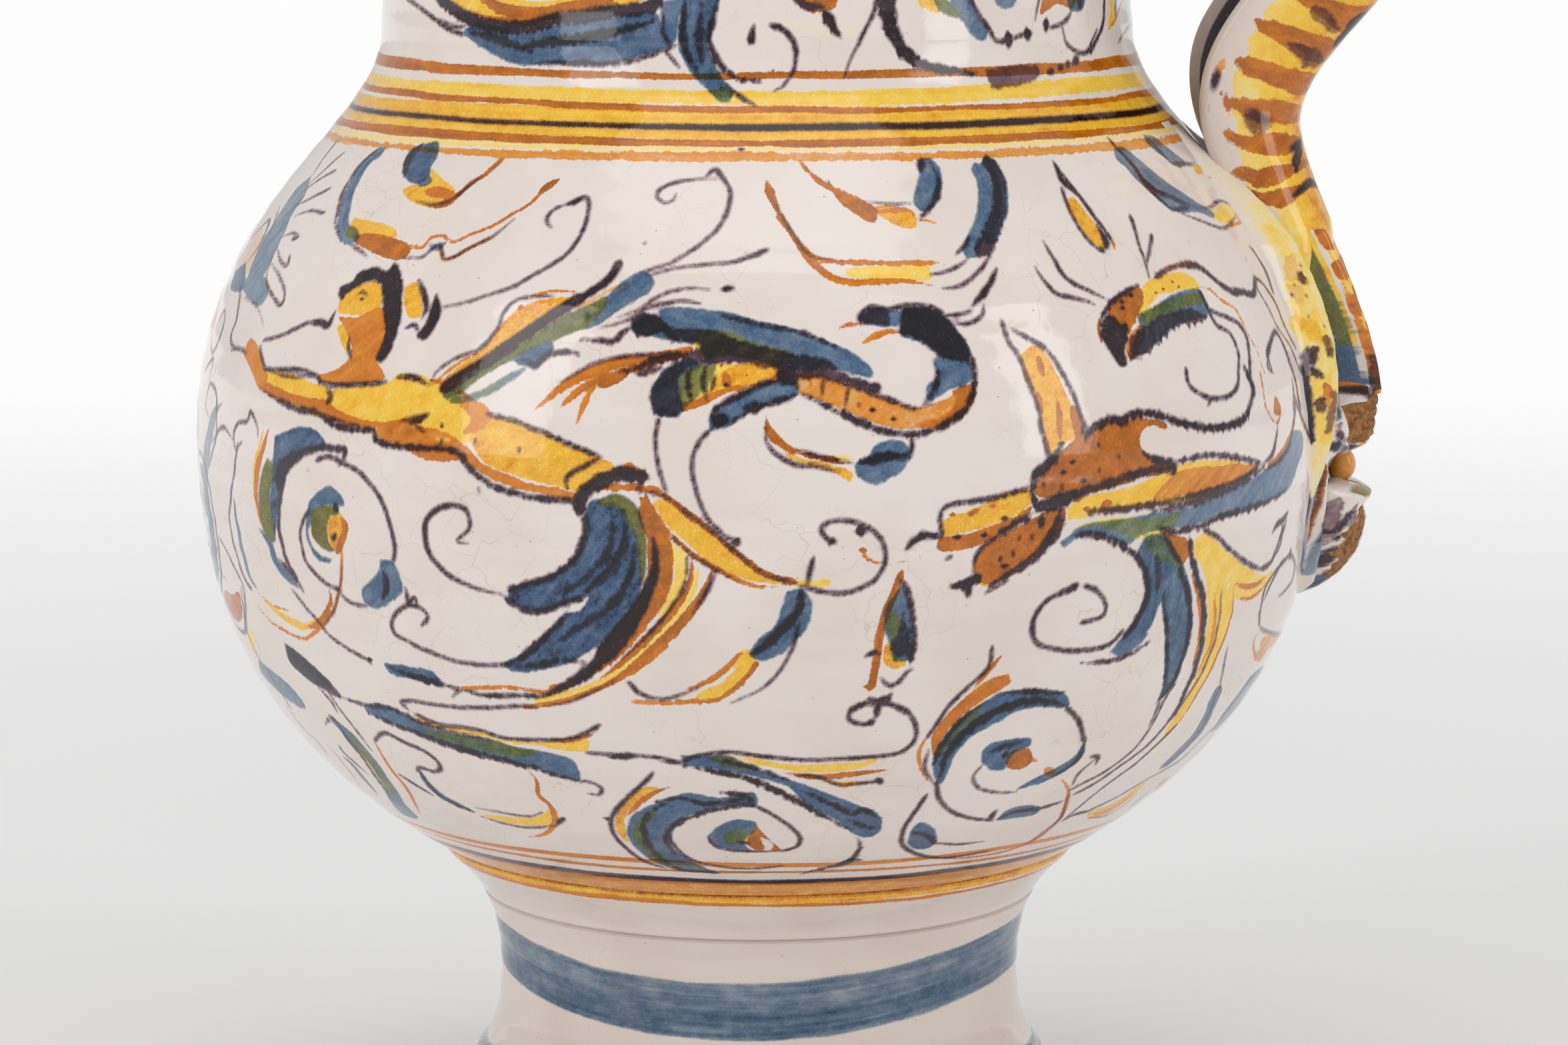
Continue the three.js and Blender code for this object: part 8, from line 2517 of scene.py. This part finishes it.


# The layers of a canvas as the mesh carries them: cover and tone of the four colours, and the bare clay
def layersOf(canvas):
    cover, tone = canvas["cover"], canvas["tone"]
    k = pigments["clay"]
    clay = np.stack([cover[..., k], tone[..., k], 0 * cover[..., k], 0 * cover[..., k] + 1], -1)
    return {"cover": cover[..., :4], "tone": tone[..., :4], "clay": clay}


def settle(piece, nodes, slotName):
    piece.data.materials.append(finishes[slotName])
    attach(piece, "root")
    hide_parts(*nodes)


zoneNodes = {"neck_wall": ["neck"], "lip_wall": ["pouring_lip"]}
for name in zones:
    part = skin[name]
    piece = turnedPiece(name, part["loop"], angles, layersOf(canvases[name]), part["rows"], pinched)
    settle(piece, zoneNodes.get(name, ["belly"]), "painted_glaze")
for name, (loops, nodes, slotName) in turnings.items():
    piece = turnedPiece(name, np.vstack(loops), lowColumns, layersOf(canvases[name]), len(loops[0]), thrown)
    settle(piece, nodes, slotName)


# The roll's inner side and rolled edges carry no stripes. The inner side gets a manganese wash that is painted shade
# for the dark hollow, darker towards the handle's lower end
def handleLayers():
    rows, columns = handleGrid.shape[:2]
    layers = {}
    for key, values in layersOf(handleCanvas).items():
        whole = np.zeros((rows, columns, 4))
        whole[:, :outerColumns] = values
        layers[key] = whole
    inner = slice(outerColumns + 7, 2 * outerColumns + 7)
    hollowShade = pigments["manganese"]
    layers["cover"][:, inner, hollowShade] = 1
    # Painted shade: the wash thickens from the top of the handle down to its lower end
    layers["tone"][:, inner, hollowShade] = np.linspace(0.4, 0.75, rows)[:, None]
    return layers


settle(tubeMesh("handle_roll", handleGrid, handleLayers()), ["handle"], "striped_glaze")
for name, (relief, node) in reliefs.items():
    layers = layersOf(maskCanvases[name])
    layers = {key: np.vstack([values.reshape(-1, 4), np.zeros((values.size // 4, 4))]) for key,
              values in layers.items()}
    piece = toMesh(name, relief["points"], relief["quads"], layers)
    settle(piece, [node], "striped_glaze" if node == "forehead_crest" else "mask_glaze")
settle(tubeMesh("tongue", tonguePoints, layersOf(tongueCanvas)), ["mask_tongue"], "mask_glaze")
print("pieces made")


studio = {"nearWhite": 0.15, "farWhite": 1.3, "white": 0.98, "surround": 0.58}
paperColour = "#F4F4F4"


# The floor is a wide white disc. It keeps the jug's shadow near the middle and turns into the
# background's white with distance, so there is no horizon from any side.
def makeFloor():
    rings = np.array([0.0, 0.3, 0.6, 1.0, 1.6, 2.5, 4, 8, 20, 60])
    sides, steps = 96, len(rings) - 1
    around = np.linspace(0, 2 * math.pi, sides, endpoint=False)
    points = np.stack([rings[1:, None] * np.cos(around), rings[1:, None] * np.sin(around), np.zeros((steps, sides))],
                      -1).reshape(-1, 3)
    centre = np.array([[axisX / 1000, 0, 0]])
    c = np.arange(sides)
    fan = np.stack([np.full(sides, len(points)), c, (c + 1) % sides], -1)
    mesh = bpy.data.meshes.new("floor")
    quads = gridFaces(steps, sides, goesRound=True)[:, ::-1]
    mesh.from_pydata(np.vstack([points + centre, centre]).tolist(), [], quads.tolist() + fan.tolist())
    floor = bpy.data.objects.new("floor", mesh)
    bpy.context.scene.collection.objects.link(floor)
    paper = plain("white paper", paperColour, 0.95)
    tree = paper.node_tree
    place = addNode(tree, "ShaderNodeTexCoord").outputs["Object"]
    away = addNode(tree, "ShaderNodeVectorMath", {"operation": "LENGTH"}, Vector=place).outputs["Value"]
    shader = tree.nodes["Principled BSDF"]
    shader.inputs["Emission Color"].default_value = (1, 1, 1, 1)
    shader.inputs["Specular IOR Level"].default_value = 0
    far = ramp(tree, away, studio["nearWhite"], studio["farWhite"])
    tree.links.new(maths(tree, "MULTIPLY", far, studio["white"]), shader.inputs["Emission Strength"])
    tree.links.new(mixColour(tree, far, linear(paperColour), (0, 0, 0, 1)), shader.inputs["Base Color"])
    mesh.materials.append(paper)


makeFloor()


def makeLight(name, place, aim, size, power):
    data = bpy.data.lights.new(name, "AREA")
    data.shape = "RECTANGLE"
    data.size, data.size_y = size
    data.energy = power
    light = bpy.data.objects.new(name, data)
    bpy.context.scene.collection.objects.link(light)
    x, y = turned(place[0], place[1], view["turn"])
    light.location = (x, y, place[2])
    light.rotation_euler = (Vector(aim) - light.location).to_track_quat("-Z", "Y").to_euler()


# Two tall soft boxes beside the photograph's camera and one overhead, in metres and watts
lights = {
    "left box": {"place": (-1.1, -0.9, 0.7), "aim": (0, 0, 0.13), "size": (0.5, 1.1), "power": 5},
    "right box": {"place": (1.2, -0.7, 0.6), "aim": (0, 0, 0.13), "size": (0.4, 1.0), "power": 3.5},
    "top box": {"place": (0, -0.3, 1.5), "aim": (0, 0, 0.1), "size": (1.2, 1.0), "power": 5},
}
for name, settings in lights.items():
    makeLight(name, **settings)
world = bpy.data.worlds.new("studio")
bpy.context.scene.world = world
world.use_nodes = True
seen = addNode(world.node_tree, "ShaderNodeLightPath").outputs["Is Camera Ray"]
background = world.node_tree.nodes["Background"]
background.inputs["Color"].default_value = (1, 1, 1, 1)
world.node_tree.links.new(ramp(world.node_tree, seen, 0.0, 1.0, studio["surround"], studio["white"]),
                          background.inputs["Strength"])
bpy.context.scene.view_settings.view_transform = "Standard"
